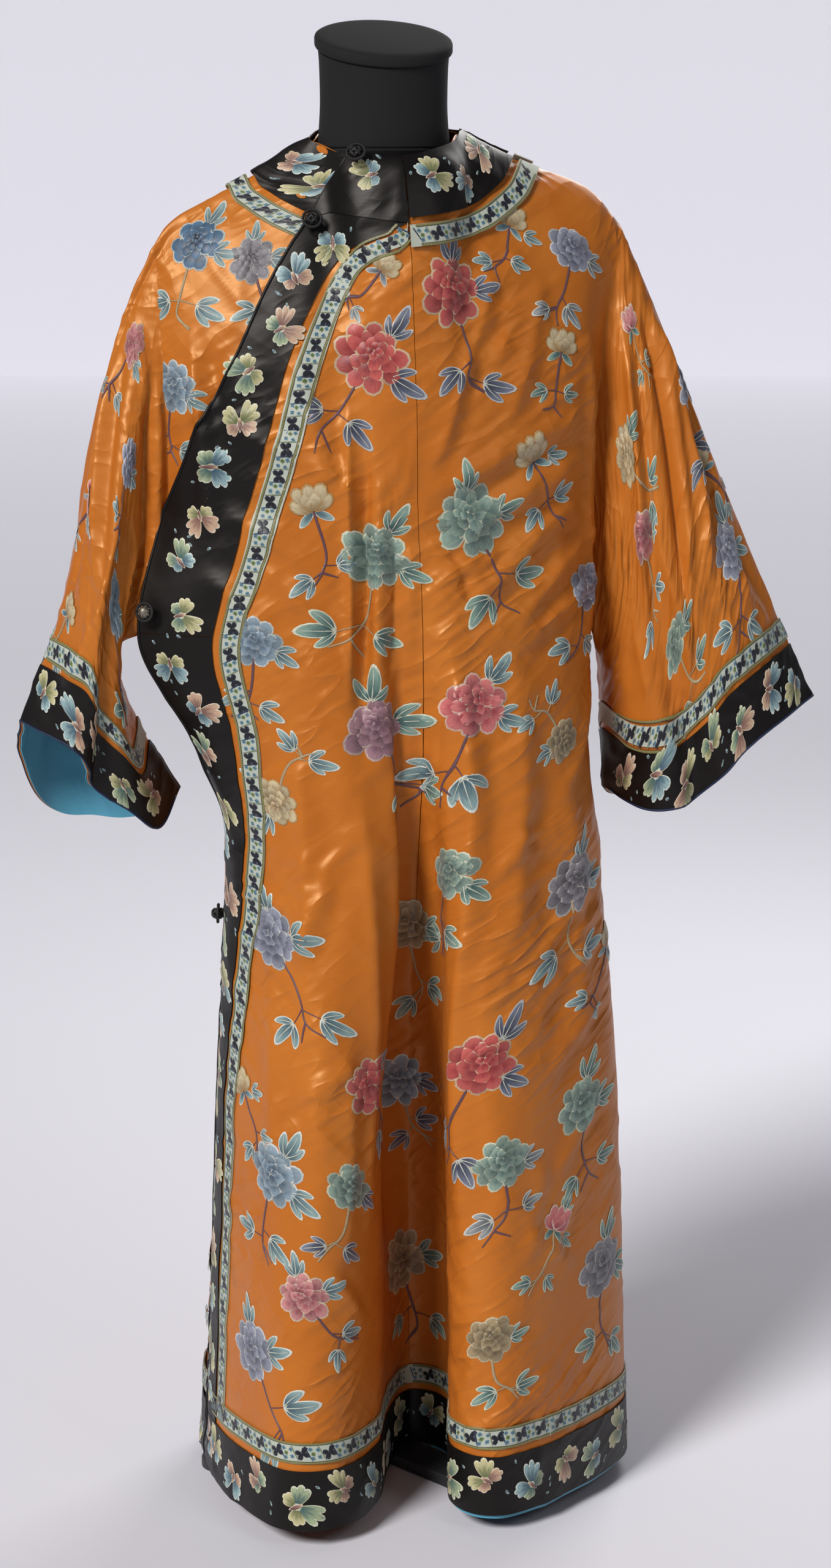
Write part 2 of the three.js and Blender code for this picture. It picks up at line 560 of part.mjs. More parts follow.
/** Station reached by going a distance round the front from a station, never past the centre seam. */
function alongFront(w, from, distance) {
  let u = from;
  let length = 0;
  let last = front(u, w);
  while (length < distance && u < CENTRE - NECK_MARGIN) {
    u += 0.01;
    const p = front(u, w);
    length += size(sub(p, last));
    last = p;
  }
  return u;
}
function lengthAlong(w, from, to) {
  const steps = 40;
  let length = 0;
  for (let k = 0; k < steps; k += 1) {
    length += size(sub(front(lerp(from, to, (k + 1) / steps), w), front(lerp(from, to, k / steps), w)));
  }
  return length;
}
const CHEST_BORDER = lengthAlong(1, 0, edgeStation(1, "inner"));
/** Stations of the border's two edges and middle and of the ribbon's two edges at a fall. */
function borderStations(w) {
  const start = closingStation(w);
  const slant = w < 1 ? SLANT : lerp(SLANT, 1, smooth((w - 1) / 0.15));
  const inner = w < 1 ? edgeStation(w, "inner")
    : alongFront(w, 0, lerp(CHEST_BORDER, BAND_WIDTH, smooth((w - 1) / 0.28)));
  const ribbonOuter = Math.max(alongFront(w, inner, BAND_GAP * slant), inner + 0.01);
  const ribbonInner = Math.max(alongFront(w, ribbonOuter, RIBBON_WIDTH * slant), ribbonOuter + 0.01);
  return [...Array.from({ length: BAND_COLUMNS }, (_, i) => lerp(start, inner, i / BAND_COLUMNS)), inner,
    ribbonOuter, ribbonInner];
}
const OVERLAP_REST = [0.12, 0.23, 0.33, 0.42, 0.5, 0.58, 0.65, 0.72, 0.79, 0.86, 0.93, 1];
function overlapStations(w) {
  const edges = w < YOKE_ROW - YOKE_SEAM - 1e-6 ? null : borderStations(w);
  if (edges) return [...edges, ...OVERLAP_REST.map((k) => lerp(edges[edges.length - 1], CENTRE, k))];
  const start = closingStation(w);
  const count = BORDER_COLUMNS + OVERLAP_REST.length;
  return Array.from({ length: count + 1 }, (_, i) => lerp(start, CENTRE, i / count));
}
const OVERLAP_W = [0, 0.05, 0.12, 0.19, 0.26, YOKE_ROW - YOKE_SEAM, YOKE_ROW,
  0.38, 0.44, 0.51, 0.6, 0.7, 0.8, 0.9, 1, ...ARM_Z.map(fallOf), ...LOW_W];
const overlapRow = (w) => overlapStations(w).map((u, i, all) => {
  const p = i === all.length - 1 ? centreEdge(w, -1) : front(u, w);
  return [i, p];
});
const overlap = new Sheet().grid(OVERLAP_W.map(overlapRow), false);
place("front_overlap", overlap.wall(CLOTH), "satin");

// ---------- sleeves ----------
const CUFF_ROWS = [CUFF_START, RIBBON_TOP, RIBBON_FOOT, BAND_WIDTH, BAND_WIDTH / 2, 0];
const SLEEVE_STEPS = 4;
for (const [name, cut] of Object.entries(SLEEVES)) {
  const flip = name === "left";
  const ring = (ts) => {
    const sheet = new Sheet();
    sheet.grid(sleeveRows(cut, "front", ts.front), flip);
    sheet.grid(sleeveRows(cut, "back", ts.back), !flip);
    return sheet;
  };
  const startOf = (s) => SLEEVE_SEAM + SLEEVE_GAP + cut.underSeam * smooth((s - 0.5) / 0.3);
  const lineAt = (face, k) => (s) => {
    const start = startOf(s);
    const first = Math.max(fromCuff(cut, s, face, CUFF_ROWS[0]), start + 0.02);
    return lerp(start, first, k / SLEEVE_STEPS);
  };
  const cuffLine = (face, distance) => (s) => Math.max(fromCuff(cut, s, face, distance), startOf(s) + 0.03);
  const main = {};
  for (const face of ["front", "back"]) {
    const upper = Array.from({ length: SLEEVE_STEPS + 1 }, (_, k) => lineAt(face, k));
    main[face] = [...upper, ...CUFF_ROWS.slice(1).map((d) => cuffLine(face, d))];
  }
  const sleeve = ring(main);
  place(`sleeve_${name}`, sleeve.wall(CLOTH), "satin");
  const part = (distances) => {
    const ts = {};
    for (const face of ["front", "back"]) ts[face] = distances.map((d) => cuffLine(face, d));
    return ring(ts);
  };
  place(`cuff_band_${name}`, part([BAND_WIDTH, BAND_WIDTH / 2, 0]).wall(TRIM, OVER, sleeve), "border");
  place(`cuff_ribbon_${name}`, part([RIBBON_TOP, RIBBON_FOOT]).wall(TRIM, OVER, sleeve), "ribbon");
  place(`cuff_lining_${name}`, part(CUFF_ROWS.slice(1)).wall(TRIM, -OVER, sleeve), "lining");
}

// ---------- borders and ribbons along hem and side ----------
const [HEM_TOP, HEM_RIBBON_FOOT, HEM_BAND_TOP] = HEM_W;
const sideEnd = BORDER_COLUMNS;
const ribbonStart = BAND_COLUMNS + 1;
const sideW = ALL_W.filter((w) => w >= UNDERARM_W - 1e-6);
function overlapPart(ws, from, to) {
  return new Sheet().grid(ws.map((w) => overlapRow(w).slice(from, to + 1)), false);
}
const rowsDownTo = (last) => sideW.filter((w) => w <= last + 1e-6);
const overIt = (sheet) => sheet.wall(TRIM, OVER, overlap);
place("side_band", overIt(overlapPart(rowsDownTo(HEM_BAND_TOP), 0, BAND_COLUMNS)), "border");
place("side_ribbon", overIt(overlapPart(rowsDownTo(HEM_TOP), ribbonStart, sideEnd)), "ribbon");
const hemBandW = HEM_W.slice(2);
const hemRibbonW = HEM_W.slice(0, 2);
const overlapEnd = overlapStations(2).length - 1;
const bandRows = [hemBandW[0] + TRIM_SEAM, ...hemBandW.slice(1)];
const ribbonRows = [hemRibbonW[0] + TRIM_SEAM, hemRibbonW[1]];
place("hem_band_overlap", overIt(overlapPart(bandRows, 0, overlapEnd)), "border");
place("hem_ribbon_overlap", overIt(overlapPart(ribbonRows, ribbonStart, overlapEnd)), "ribbon");
for (const [name, surface, us, flip, under] of [["left", leftFront, LEFT_U, false, leftBody],
  ["back_right", backRight, BACK_LOW_RIGHT_U, true, rightBody],
  ["back_left", backLeft, BACK_LOW_LEFT_U, true, leftBody]]) {
  const hemPart = (ws) => new Sheet().grid(rowsOf(surface, us, ws), flip).wall(TRIM, OVER, under);
  place(`hem_band_${name}`, hemPart(hemBandW), "border");
  place(`hem_ribbon_${name}`, hemPart(hemRibbonW), "ribbon");
}
const liningRows = [fallOf(HEM_Z + HEM_LINING_HEIGHT), 2].map((w) => LEFT_U.slice(1).map((u) => {
  const p = leftFront(u, w);
  return [u, w === 2 ? [p[0], p[1], p[2] - HEM_LINING_DROP] : p];
}));
place("hem_lining_left", new Sheet().grid(liningRows, false).wall(TRIM, -OVER, leftBody), "lining");

// ---------- closing border and ribbon over the chest, yoke on the outer front ----------
const chestW = OVERLAP_W.filter((w) => w >= YOKE_ROW - 1e-6 && w <= UNDERARM_W + 1e-6);
const seamed = (ws) => [...ws.slice(0, -1), ws[ws.length - 1] - TRIM_SEAM];
place("placket_band", overIt(overlapPart(seamed(chestW), 0, BAND_COLUMNS)), "border");
place("placket_ribbon", overIt(overlapPart(seamed(chestW.slice(1)), ribbonStart, sideEnd)), "ribbon");
const yokeW = OVERLAP_W.filter((w) => w <= YOKE_ROW + 1e-6);
const yokeRows = yokeW.slice(0, -1).map((w) => Array.from({ length: YOKE_COLUMNS + 1 }, (_, i) => {
  const u = lerp(closingStation(w) + 0.01, CENTRE - 2 * NECK_MARGIN, i / YOKE_COLUMNS);
  return [i, front(u, w)];
}));
place("yoke_overlap", new Sheet().grid(yokeRows, false).wall(TRIM, OVER + YOKE_RISE), "border");
const CHEST_LIFT = CLOTH / 2 + LIFT + TRIM / 2;

// ---------- yoke round the neck ----------
const NEAR_CLOSING = 5.93;
const CLOSING_HEADING = [-96, -26, -42];
const SPREAD = { x: 1.15, y: 0.9, z: -22 };       // way from the neck point, as shares of its place and a drop
function ringRows(surface, face, stations, distances) {
  const rows = [];
  const outward = face === "front" ? frontNormal : backNormal;
  for (const u of stations) {
    const p = surface(u, 0);
    const onFold = u <= NECK_R + 1e-6 || u >= NECK_L - 1e-6;
    const outwards = [p[0] * SPREAD.x, p[1] * SPREAD.y, SPREAD.z];
    const heading = unit(u === NEAR_CLOSING ? CLOSING_HEADING : outwards);
    rows.push(distances.map((d) => {
      const far = d + YOKE_EXTRA * clamp((NECK_L - u) / (NECK_L - NECK_R)) * (d > YOKE_WIDTH * 0.5 ? 1 : 0);
      if (onFold) return [d, add(topPoint(alongFold(Math.round(u), far), false), [0, 0, 1], CHEST_LIFT)];
      const [a, b] = walk(surface, u, 0, heading, far);
      return [d, add(surface(a, b), outward(a, Math.max(b, 0.02)), CHEST_LIFT)];
    }));
  }
  return rows;
}
const YOKE_D = [1.5, YOKE_WIDTH * 0.33, YOKE_WIDTH * 0.67, YOKE_WIDTH];
const YOKE_RIBBON_D = [YOKE_WIDTH + BAND_GAP, YOKE_WIDTH + BAND_GAP + RIBBON_WIDTH / 2,
  YOKE_WIDTH + BAND_GAP + RIBBON_WIDTH];
const RIGHT_NECK_U = [5, 5.12, 5.26, 5.42, 5.6];
const BACK_NECK_U = [5.75, 5.9, 6.08, 6.3, 6.6, 7, 7.5];
const LEFT_NECK_U = [8, 8.3, 8.55, 8.74, 8.88];
const NECK_STRIPS = [["yoke", YOKE_D, "border"], ["yoke_ribbon", YOKE_RIBBON_D, "ribbon"]];
for (const [name, distances, paint] of NECK_STRIPS) {
  const backRing = new Sheet();
  const round = [...RIGHT_NECK_U, ...BACK_NECK_U, ...LEFT_NECK_U, NECK_L];
  backRing.grid(ringRows(back, "back", round, distances), true);
  const nearEnd = name === "yoke" ? [...RIGHT_NECK_U, NEAR_CLOSING] : RIGHT_NECK_U.slice(0, 4);
  backRing.grid(ringRows(front, "front", nearEnd, distances), false);
  place(`${name}_back`, backRing.wall(TRIM), paint);
  const start = [CENTRE + 0.05, 7.35];
  const frontU = [...start, 7.7, ...LEFT_NECK_U, NECK_L - 0.03];
  const frontRing = new Sheet().grid(ringRows(front, "front", frontU, distances), false);
  place(`${name}_front`, frontRing.wall(TRIM), paint);
}

// ---------- buttons and loops ----------
function onFrontPoint(x, z, lift) {
  const [u, w] = findFront(x, z);
  const n = frontNormal(u, Math.max(w, 0.02));
  return { p: add(front(u, w), n, lift), n };
}
const KNOT = { radius: 6.5, cord: 1.7, air: 3.4, slack: 0.5 };
const FASTENERS = [
  { name: "neck", x: -40, z: 1334, paint: "border" }, { name: "collar", x: -84, z: 1274, paint: "border" },
  { name: "underarm", x: -242, z: 905, paint: "button" },
];
function fastener(name, p, n, paint) {
  const ball = new THREE.SphereGeometry(KNOT.radius, 12, 8);
  const centre = add(p, n, KNOT.radius + SEAM);
  ball.translate(...centre);
  place(`button_${name}`, ball, paint);
  const side = unit(cross(n, [0, 0, 1]));
  const loop = new THREE.TorusGeometry(KNOT.radius + KNOT.cord + KNOT.slack, KNOT.cord, 6, 16);
  const axes = [side, cross(n, side), n].map((v) => new THREE.Vector3(...v));
  const facing = new THREE.Matrix4().makeBasis(...axes);
  loop.applyMatrix4(facing);
  loop.translate(...centre);
  place(`loop_${name}`, loop, "border");
}
for (const f of FASTENERS) {
  const { p, n } = onFrontPoint(f.x, f.z, CHEST_LIFT + TRIM / 2 + KNOT.air);
  fastener(f.name, p, n, f.paint);
}
const SIDE_KNOT = { z: 596, along: 6 };
const sideU = alongFront(fallOf(SIDE_KNOT.z), 0, SIDE_KNOT.along);
const sideN = frontNormal(sideU, fallOf(SIDE_KNOT.z));
fastener("side", add(front(sideU, fallOf(SIDE_KNOT.z)), sideN, OVER + TRIM / 2), sideN, "border");

// ---------- dress form and stand ----------
function ringSolid(rings, sides) {
  const sheet = new Sheet();
  const angle = (i) => ((i % sides) / sides) * 2 * Math.PI;
  const rows = rings.map((ring) => Array.from({ length: sides + 1 }, (_, i) => [i, ring(angle(i))]));
  sheet.grid(rows, false);
  const cap = (row, flip) => {
    const centre = row.slice(0, sides).reduce((s, [, p]) => add(s, p, 1 / sides), [0, 0, 0]);
    for (let i = 0; i < sides; i += 1) {
      const f = [sheet.at(row[i][1]), sheet.at(row[i + 1][1]), sheet.at(centre)];
      sheet.faces.push(flip ? [f[0], f[2], f[1]] : f);
    }
  };
  cap(rows[0], false);
  cap(rows[rows.length - 1], true);
  const geometry = new THREE.BufferGeometry();
  geometry.setAttribute("position", new THREE.Float32BufferAttribute(sheet.points.flat(), 3));
  geometry.setIndex(sheet.faces.flat());
  return geometry;
}
const formRing = (r) => (angle) => {
  const x = r.a * Math.cos(angle);
  const y = (Math.sin(angle) < 0 ? r.f : r.b) * Math.sin(angle);
  return [x, y, r.z];
};
place("form_torso", ringSolid([...FORM_RINGS].reverse().map(formRing), FORM_SIDES), "form");
const neckRing = (z, scale, tilt) => (angle) => {
  const y = NECK_STUMP.b * scale * Math.sin(angle);
  return [NECK_STUMP.a * scale * Math.cos(angle), y, z + y * tilt];
};
const NECK_RINGS = [  // height, scale, tilt
  [NECK_STUMP.centre, 0.99, NECK_STUMP.tilt], [NECK_STUMP.centre - 18, 0.97, NECK_STUMP.tilt * 0.8],
  [1390, 0.96, 0.2], [NECK_STUMP.bottom, 1, 0]];
place("form_neck", ringSolid(NECK_RINGS.map((row) => neckRing(...row)), FORM_SIDES), "form");
const capBottom = NECK_STUMP.centre + SEAM;
place("form_cap", ringSolid([
  neckRing(capBottom + NECK_STUMP.cap, 0.94, NECK_STUMP.tilt),
  neckRing(capBottom + NECK_STUMP.cap - NECK_STUMP.rim, 1.04, NECK_STUMP.tilt),
  neckRing(capBottom + NECK_STUMP.lip, 1.04, NECK_STUMP.tilt),
  neckRing(capBottom, 1.01, NECK_STUMP.tilt)], FORM_SIDES), "form");

const circle = (radius, z) => (angle) => [radius * Math.cos(angle), radius * Math.sin(angle), z];
const poleEnds = [circle(POLE.radius, POLE.top), circle(POLE.radius, BASE.collarTop + SEAM)];
place("stand_pole", ringSolid(poleEnds, POLE.sides), "metal");
const outline = new THREE.Shape();
const corners = [];
for (let k = 0; k < BASE.legs; k += 1) {
  const angle = BASE.first + (k * 2 * Math.PI) / BASE.legs;
  const along = [Math.cos(angle), Math.sin(angle)];
  const across = [-along[1], along[0]];
  const half = BASE.width / 2;
  for (const [d, s] of [[BASE.hub, -1], [BASE.length - half, -1]]) {
    corners.push([along[0] * d + across[0] * s * half, along[1] * d + across[1] * s * half]);
  }
  for (let j = 1; j < BASE.bends; j += 1) {
    const turn = -Math.PI / 2 + (j * Math.PI) / BASE.bends;
    const out = BASE.length - half + half * Math.cos(turn);
    corners.push([0, 1].map((i) => along[i] * out + across[i] * half * Math.sin(turn)));
  }
  for (const [d, s] of [[BASE.length - half, 1], [BASE.hub, 1]]) {
    corners.push([along[0] * d + across[0] * s * half, along[1] * d + across[1] * s * half]);
  }
}
corners.forEach(([x, y], i) => (i ? outline.lineTo(x, y) : outline.moveTo(x, y)));
place("stand_base", new THREE.ExtrudeGeometry(outline, { depth: BASE.height, bevelEnabled: false }), "metal");
const collarEnds = [circle(BASE.collar, BASE.collarTop), circle(BASE.foot, BASE.height + SEAM)];
place("stand_collar", ringSolid(collarEnds, POLE.sides), "metal");

export default group;
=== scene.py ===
"""Chenyi robe on a limbless dress form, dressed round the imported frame.

Sizes are in millimetres unless a name says otherwise. The robe's front looks towards -Y and +X is
the wearer's left, so "right" is the side of the slanting closing, at -X.
"""
import logging
import math
from dataclasses import dataclass, field
from enum import Enum
from typing import Callable, Iterable, Sequence

import bpy
import numpy as np
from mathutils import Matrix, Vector


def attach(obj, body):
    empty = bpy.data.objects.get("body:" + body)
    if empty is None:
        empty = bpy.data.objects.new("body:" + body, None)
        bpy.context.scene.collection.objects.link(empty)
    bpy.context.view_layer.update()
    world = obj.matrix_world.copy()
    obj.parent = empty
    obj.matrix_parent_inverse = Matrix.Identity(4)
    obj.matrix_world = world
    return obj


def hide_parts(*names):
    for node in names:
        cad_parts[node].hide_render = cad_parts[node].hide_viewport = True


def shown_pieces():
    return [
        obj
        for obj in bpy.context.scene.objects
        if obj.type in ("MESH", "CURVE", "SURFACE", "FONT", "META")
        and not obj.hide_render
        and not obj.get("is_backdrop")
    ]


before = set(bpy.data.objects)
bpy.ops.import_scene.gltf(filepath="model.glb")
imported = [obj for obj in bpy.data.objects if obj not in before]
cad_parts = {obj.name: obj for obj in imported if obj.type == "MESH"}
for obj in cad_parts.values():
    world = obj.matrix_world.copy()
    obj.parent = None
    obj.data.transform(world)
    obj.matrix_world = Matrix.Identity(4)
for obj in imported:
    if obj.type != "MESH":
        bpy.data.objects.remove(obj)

LOG = logging.getLogger("chenyi")
MM = 0.001
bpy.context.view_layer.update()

# ---------- cut and hang of the robe, the same driving sizes as its solids ----------
CLOTH = 1.6
TRIM = 1.2
SEAM = 0.3
EDGE_TURN = 0.85
UNDERLAP = 6.1
UNDERLAP_LOW = 12.0
INNER_TOP = 6.0
INNER_REACH = 3.5
COVER_BLEND = 0.8
CHEST_Z = 1000.0
UNDERARM_Z = 884.0
ARMHOLE_OPEN = 36.0
ARMHOLE_CLOSE = 116.0
HEM_Z = 20.0
BAND_WIDTH = 60.0
BAND_GAP = 7.0
RIBBON_WIDTH = 21.0
YOKE_WIDTH = 58.0
YOKE_EXTRA = 8.0
TOP_SLOPE = 0.34
BACK_REACH = 0.85
CHEST_PULL = 150.0
SLEEVE_SEAM = 0.28
SLEEVE_GAP = 0.0045
HEM_LINING_HEIGHT = 34.0
HEM_LINING_DROP = 4.0
RIBBON_FOOT = BAND_WIDTH + BAND_GAP
RIBBON_TOP = RIBBON_FOOT + RIBBON_WIDTH
CENTRE = 7.0
NECK_MARGIN = 0.05
LAST = 13.0
NECK_R = 5.0
NECK_L = 9.0
YOKE_ROW = 0.33
YOKE_SEAM = 0.003
YOKE_LAP = 0.004
SLANT = 1.22
LIFT = 3.3
OVER = CLOTH / 2 + SEAM + TRIM / 2
CHEST_LIFT = CLOTH / 2 + LIFT + TRIM / 2

SECTION_Z = np.array([1000.0, 884.0, 764.0, 670.0, 400.0, 20.0])
SECTION_XY = np.array([
    [[-226, -34], [-205, -58], [-172, -82], [-132, -102], [-86, -118], [-44, -127], [-18, -130],
     [4, -130], [26, -130], [50, -127], [84, -119], [126, -103], [174, -74], [206, -24]],
    [[-254, -46], [-222, -70], [-180, -94], [-134, -114], [-84, -129], [-40, -137], [-12, -138],
     [8, -136], [28, -139], [52, -140], [84, -135], [128, -117], [178, -82], [206, -20]],
    [[-193, -36], [-186, -66], [-160, -98], [-120, -128], [-72, -146], [-24, -148], [-4, -136],
     [10, -128], [26, -138], [40, -152], [74, -156], [126, -138], [182, -92], [205, -20]],
    [[-166, -30], [-170, -60], [-152, -100], [-114, -142], [-66, -158], [-16, -150], [-4, -122],
     [10, -108], [28, -122], [32, -154], [68, -168], [126, -150], [194, -96], [206, -16]],
    [[-176, -16], [-181, -60], [-170, -116], [-138, -178], [-88, -190], [-42, -152], [-20, -88],
     [12, -50], [40, -78], [30, -164], [66, -200], [136, -172], [216, -104], [226, -8]],
    [[-194, -20], [-196, -72], [-184, -142], [-150, -220], [-94, -224], [-48, -172], [-18, -86],
     [18, -30], [52, -72], [26, -190], [62, -234], [140, -196], [228, -108], [238, -10]],
], float)
TOP_LINE = np.array([[-230, 2, 1248], [-212, 4, 1274], [-180, 4, 1294], [-140, 4, 1314],
                     [-102, 2, 1336],
                     [-74, -4, 1352], [-50, -52, 1345], [0, -76, 1336], [50, -52, 1347],
                     [74, -4, 1360],
                     [106, 2, 1346], [150, 4, 1329], [208, 4, 1306], [242, 2, 1268]], float)
BACK_NECK = {6: (-50, 46, 1362), 7: (0, 62, 1366), 8: (50, 46, 1366)}
TOP_REACH = np.array([14, 26, 42, 56, 64, 60, 44, 34, 44, 60, 64, 56, 38, 16], float)
BACK_DEPTH = np.array([108.0, 114.0, 119.0, 123.0, 136.0, 150.0])
BACK_FOLD = {"count": 3.5, "deep": 15.0, "from": 1080.0, "skew": 0.6}
PINCHES = (  # station, half width in stations, depth, top and bottom height
    (4.55, 0.4, 7.0, 1130.0, 690.0), (2.6, 0.5, 5.0, 900.0, 250.0),
    (11.2, 0.5, 6.0, 800.0, 60.0), (3.6, 0.4, -4.0, 700.0, 60.0))
PLACKET_Z = np.array([1346.0, 1310.0, 1279.0, 1250.0, 1203.0, 1144.0, 1105.0, 1060.0, 1000.0])
PLACKET_OUTER = np.array([-46.0, -66.0, -87.0, -108.0, -136.0, -164.0, -185.0, -204.0, -226.0])
PLACKET_INNER = np.array([40.0, 30.0, 2.0, -54.0, -88.0, -115.0, -127.0, -139.0, -157.0])


@dataclass(frozen=True)
class SleeveCut:
    """Lines of one sleeve: outer fold, inner line, and the cuff's rim from front and back."""
    sign: int
    station: float
    outer: tuple
    inner: tuple
    front: tuple
    back: tuple
    bulge_front: float
    bulge_back: float
    under_seam: float


SLEEVES = {
    "right": SleeveCut(
        -1, 0.0,
        ((-230, 2, 1248), (-256, 4, 1192), (-275, 2, 1130), (-291, 0, 1058), (-310, -2, 960),
         (-330, -4, 888),
         (-344, -6, 850), (-366, -8, 794)),
        ((-254, -34, 884), (-274, -10, 862), (-254, 10, 796), (-207, 20, 716)),
        ((-366, -8, 794), (-342, -44, 784), (-319, -60, 770), (-308, -52, 750), (-300, -34, 730),
         (-266, -34, 706), (-234, -18, 683), (-207, 20, 716)),
        ((-366, -8, 794), (-362, 34, 752), (-344, 62, 706), (-318, 76, 684), (-286, 80, 680),
         (-256, 70, 678),
         (-226, 50, 688), (-207, 20, 716)),
        -34.0, 44.0, 0.014),
    "left": SleeveCut(
        1, 13.0,
        ((242, 2, 1268), (261, 0, 1226), (285, -4, 1169), (312, -10, 1097), (336, -16, 1037),
         (359, -24, 978),
         (397, -34, 888), (437, -42, 794)),
        ((206, -6, 884), (222, -2, 836), (228, 0, 775), (228, -4, 708)),
        ((437, -42, 794), (394, -80, 778), (354, -94, 754), (330, -92, 727), (308, -72, 702),
         (282, -84, 692), (252, -64, 690), (228, -4, 704)),
        ((437, -42, 794), (418, 4, 766), (390, 34, 726), (352, 46, 694), (312, 48, 684),
         (276, 44, 682),
         (248, 30, 688), (228, -4, 704)),
        -36.0, 40.0, 0.006),
}


# ---------- curve and surface maths ----------
def smooth(t: np.ndarray) -> np.ndarray:
    """Eases from 0 to 1 with level ends."""
    s = np.clip(t, 0.0, 1.0)
    return s * s * (3 - 2 * s)


def unit(v: np.ndarray) -> np.ndarray:
    """Vectors along the last axis at length one."""
    return v / np.maximum(np.linalg.norm(v, axis=-1, keepdims=True), 1e-9)


def curve_across(rows: np.ndarray, t: np.ndarray) -> np.ndarray:
    """Catmull-Rom points.

    Args:
        rows: control rows, shape (n, k) for one curve or t.shape + (n, k) for a curve per value.
        t: parameters, 0 at the first row and n - 1 at the last.
    Returns:
        Points of shape t.shape + (k,).
    """
    t = np.asarray(t, float)
    first = 2 * rows[..., :1, :] - rows[..., 1:2, :]
    last = 2 * rows[..., -1:, :] - rows[..., -2:-1, :]
    padded = np.concatenate([first, rows, last], axis=-2)
    i = np.clip(np.floor(t).astype(int), 0, rows.shape[-2] - 2)
    s = (t - i)[..., None]
    if rows.ndim == 2:
        p0, p1, p2, p3 = (padded[i + k] for k in range(4))
    else:
        p0, p1, p2, p3 = (np.take_along_axis(padded, (i + k)[..., None, None], axis=-2)[..., 0, :]
                          for k in range(4))
    return 0.5 * (2 * p1 + (p2 - p0) * s + (2 * p0 - 5 * p1 + 4 * p2 - p3) * s ** 2
                  + (3 * p1 - p0 - 3 * p2 + p3) * s ** 3)


def at_height(heights: np.ndarray, values: np.ndarray, z: np.ndarray) -> np.ndarray:
    """Values between the rows of a falling height table, without overshoot."""
    shape = (-1,) + (1,) * (values.ndim - 1)
    step = np.diff(heights)
    slope = np.diff(values, axis=0) / step.reshape(shape)
    a, b = slope[:-1], slope[1:]
    with np.errstate(divide="ignore", invalid="ignore"):
        middle = np.where(a * b <= 0, 0.0, 2 * a * b / (a + b))
    tangent = np.concatenate([slope[:1], middle, slope[-1:]])
    i = np.clip(np.searchsorted(-heights, -z, side="left") - 1, 0, len(heights) - 2)
    t = np.clip((z - heights[i]) / step[i], 0, 1)
    grow = (...,) + (None,) * (values.ndim - 1)
    t, h = t[grow], step[i][grow]
    return ((2 * t ** 3 - 3 * t ** 2 + 1) * values[i] + (t ** 3 - 2 * t ** 2 + t) * h * tangent[i]
            + (3 * t ** 2 - 2 * t ** 3) * values[i + 1] + (t ** 3 - t ** 2) * h * tangent[i + 1])


def height_of(w: np.ndarray) -> np.ndarray:
    """Height of a fall at or below the chest."""
    return CHEST_Z - (w - 1) * (CHEST_Z - HEM_Z)


def fall_of(z: float) -> float:
    """Fall, 1 at the chest and 2 at the hem, of a height."""
    return 1 + (CHEST_Z - z) / (CHEST_Z - HEM_Z)


UNDERARM_W = fall_of(UNDERARM_Z)


def front_section(u: np.ndarray, z: np.ndarray) -> np.ndarray:
    """Points of the front's level sections."""
    p = curve_across(at_height(SECTION_Z, SECTION_XY, z), u)
    inward = np.zeros_like(z)
    for at, half, deep, top, bottom in PINCHES:
        down = np.sin(np.pi * np.clip((top - z) / (top - bottom), 0, 1))
        inward = inward + deep * np.exp(-((u - at) / half) ** 2) * down
    return np.stack([p[..., 0], p[..., 1] + inward, z], -1)


def back_section(u: np.ndarray, z: np.ndarray) -> np.ndarray:
    """Points of the back's level sections."""
    r = front_section(np.zeros_like(z), z)
    left = front_section(np.full_like(z, LAST), z)
    turn = np.where(u <= CENTRE, u / CENTRE - 1, (u - CENTRE) / (LAST - CENTRE)) * math.pi / 2
    parted = ARMHOLE_OPEN * np.clip((z - UNDERARM_Z) / ARMHOLE_CLOSE, 0, 1) ** 0.6
    side = r[..., 1] + (left[..., 1] - r[..., 1]) * (np.sin(turn) + 1) / 2 + parted
    depth = at_height(SECTION_Z, BACK_DEPTH, z)
    opened = np.maximum(np.cos(turn), 0) ** 0.75
    fall = smooth((BACK_FOLD["from"] - z) / (BACK_FOLD["from"] - HEM_Z))
    wave = np.cos(BACK_FOLD["count"] * 2 * turn
                  + BACK_FOLD["skew"]) * BACK_FOLD["deep"] * fall * np.cos(turn)
    x = (r[..., 0] + left[..., 0]) / 2 + (left[..., 0] - r[..., 0]) / 2 * np.sin(turn)
    return np.stack([x, side + (depth - side) * opened + wave, z], -1)


def top_point(u: np.ndarray, back: bool) -> np.ndarray:
    """Shoulder fold outside the neck stations, neck edge between them."""
    p = curve_across(TOP_LINE, u)
    if back:
        neck = TOP_LINE.copy()
        for i, point in BACK_NECK.items():
            neck[i] = point
        inside = (u > NECK_R) & (u < NECK_L)
        p = np.where(inside[..., None], curve_across(neck, u), p)
    return p


def drape(u: np.ndarray, w: np.ndarray, back: bool) -> np.ndarray:
    """Point of the hanging cloth: w runs 0 top line, 1 chest, 2 hem."""
    section = back_section if back else front_section
    top = top_point(u, back)
    out = curve_across(TOP_REACH[:, None], u)[..., 0]
    reach = np.stack([np.zeros_like(out), out * (BACK_REACH if back else -1.0), -out * TOP_SLOPE],
                     -1)
    foot = section(u, np.full_like(u, CHEST_Z))
    p2 = foot.copy()
    p2[..., 2] = CHEST_Z + CHEST_PULL
    t = np.clip(w, 0, 1)[..., None]
    m = 1 - t
    upper = m ** 3 * top + 3 * m * m * t * (top + reach) + 3 * m * t * t * p2 + t ** 3 * foot
    lower = section(u, height_of(np.maximum(w, 1.0)))
    return np.where((w >= 1)[..., None], lower, upper)


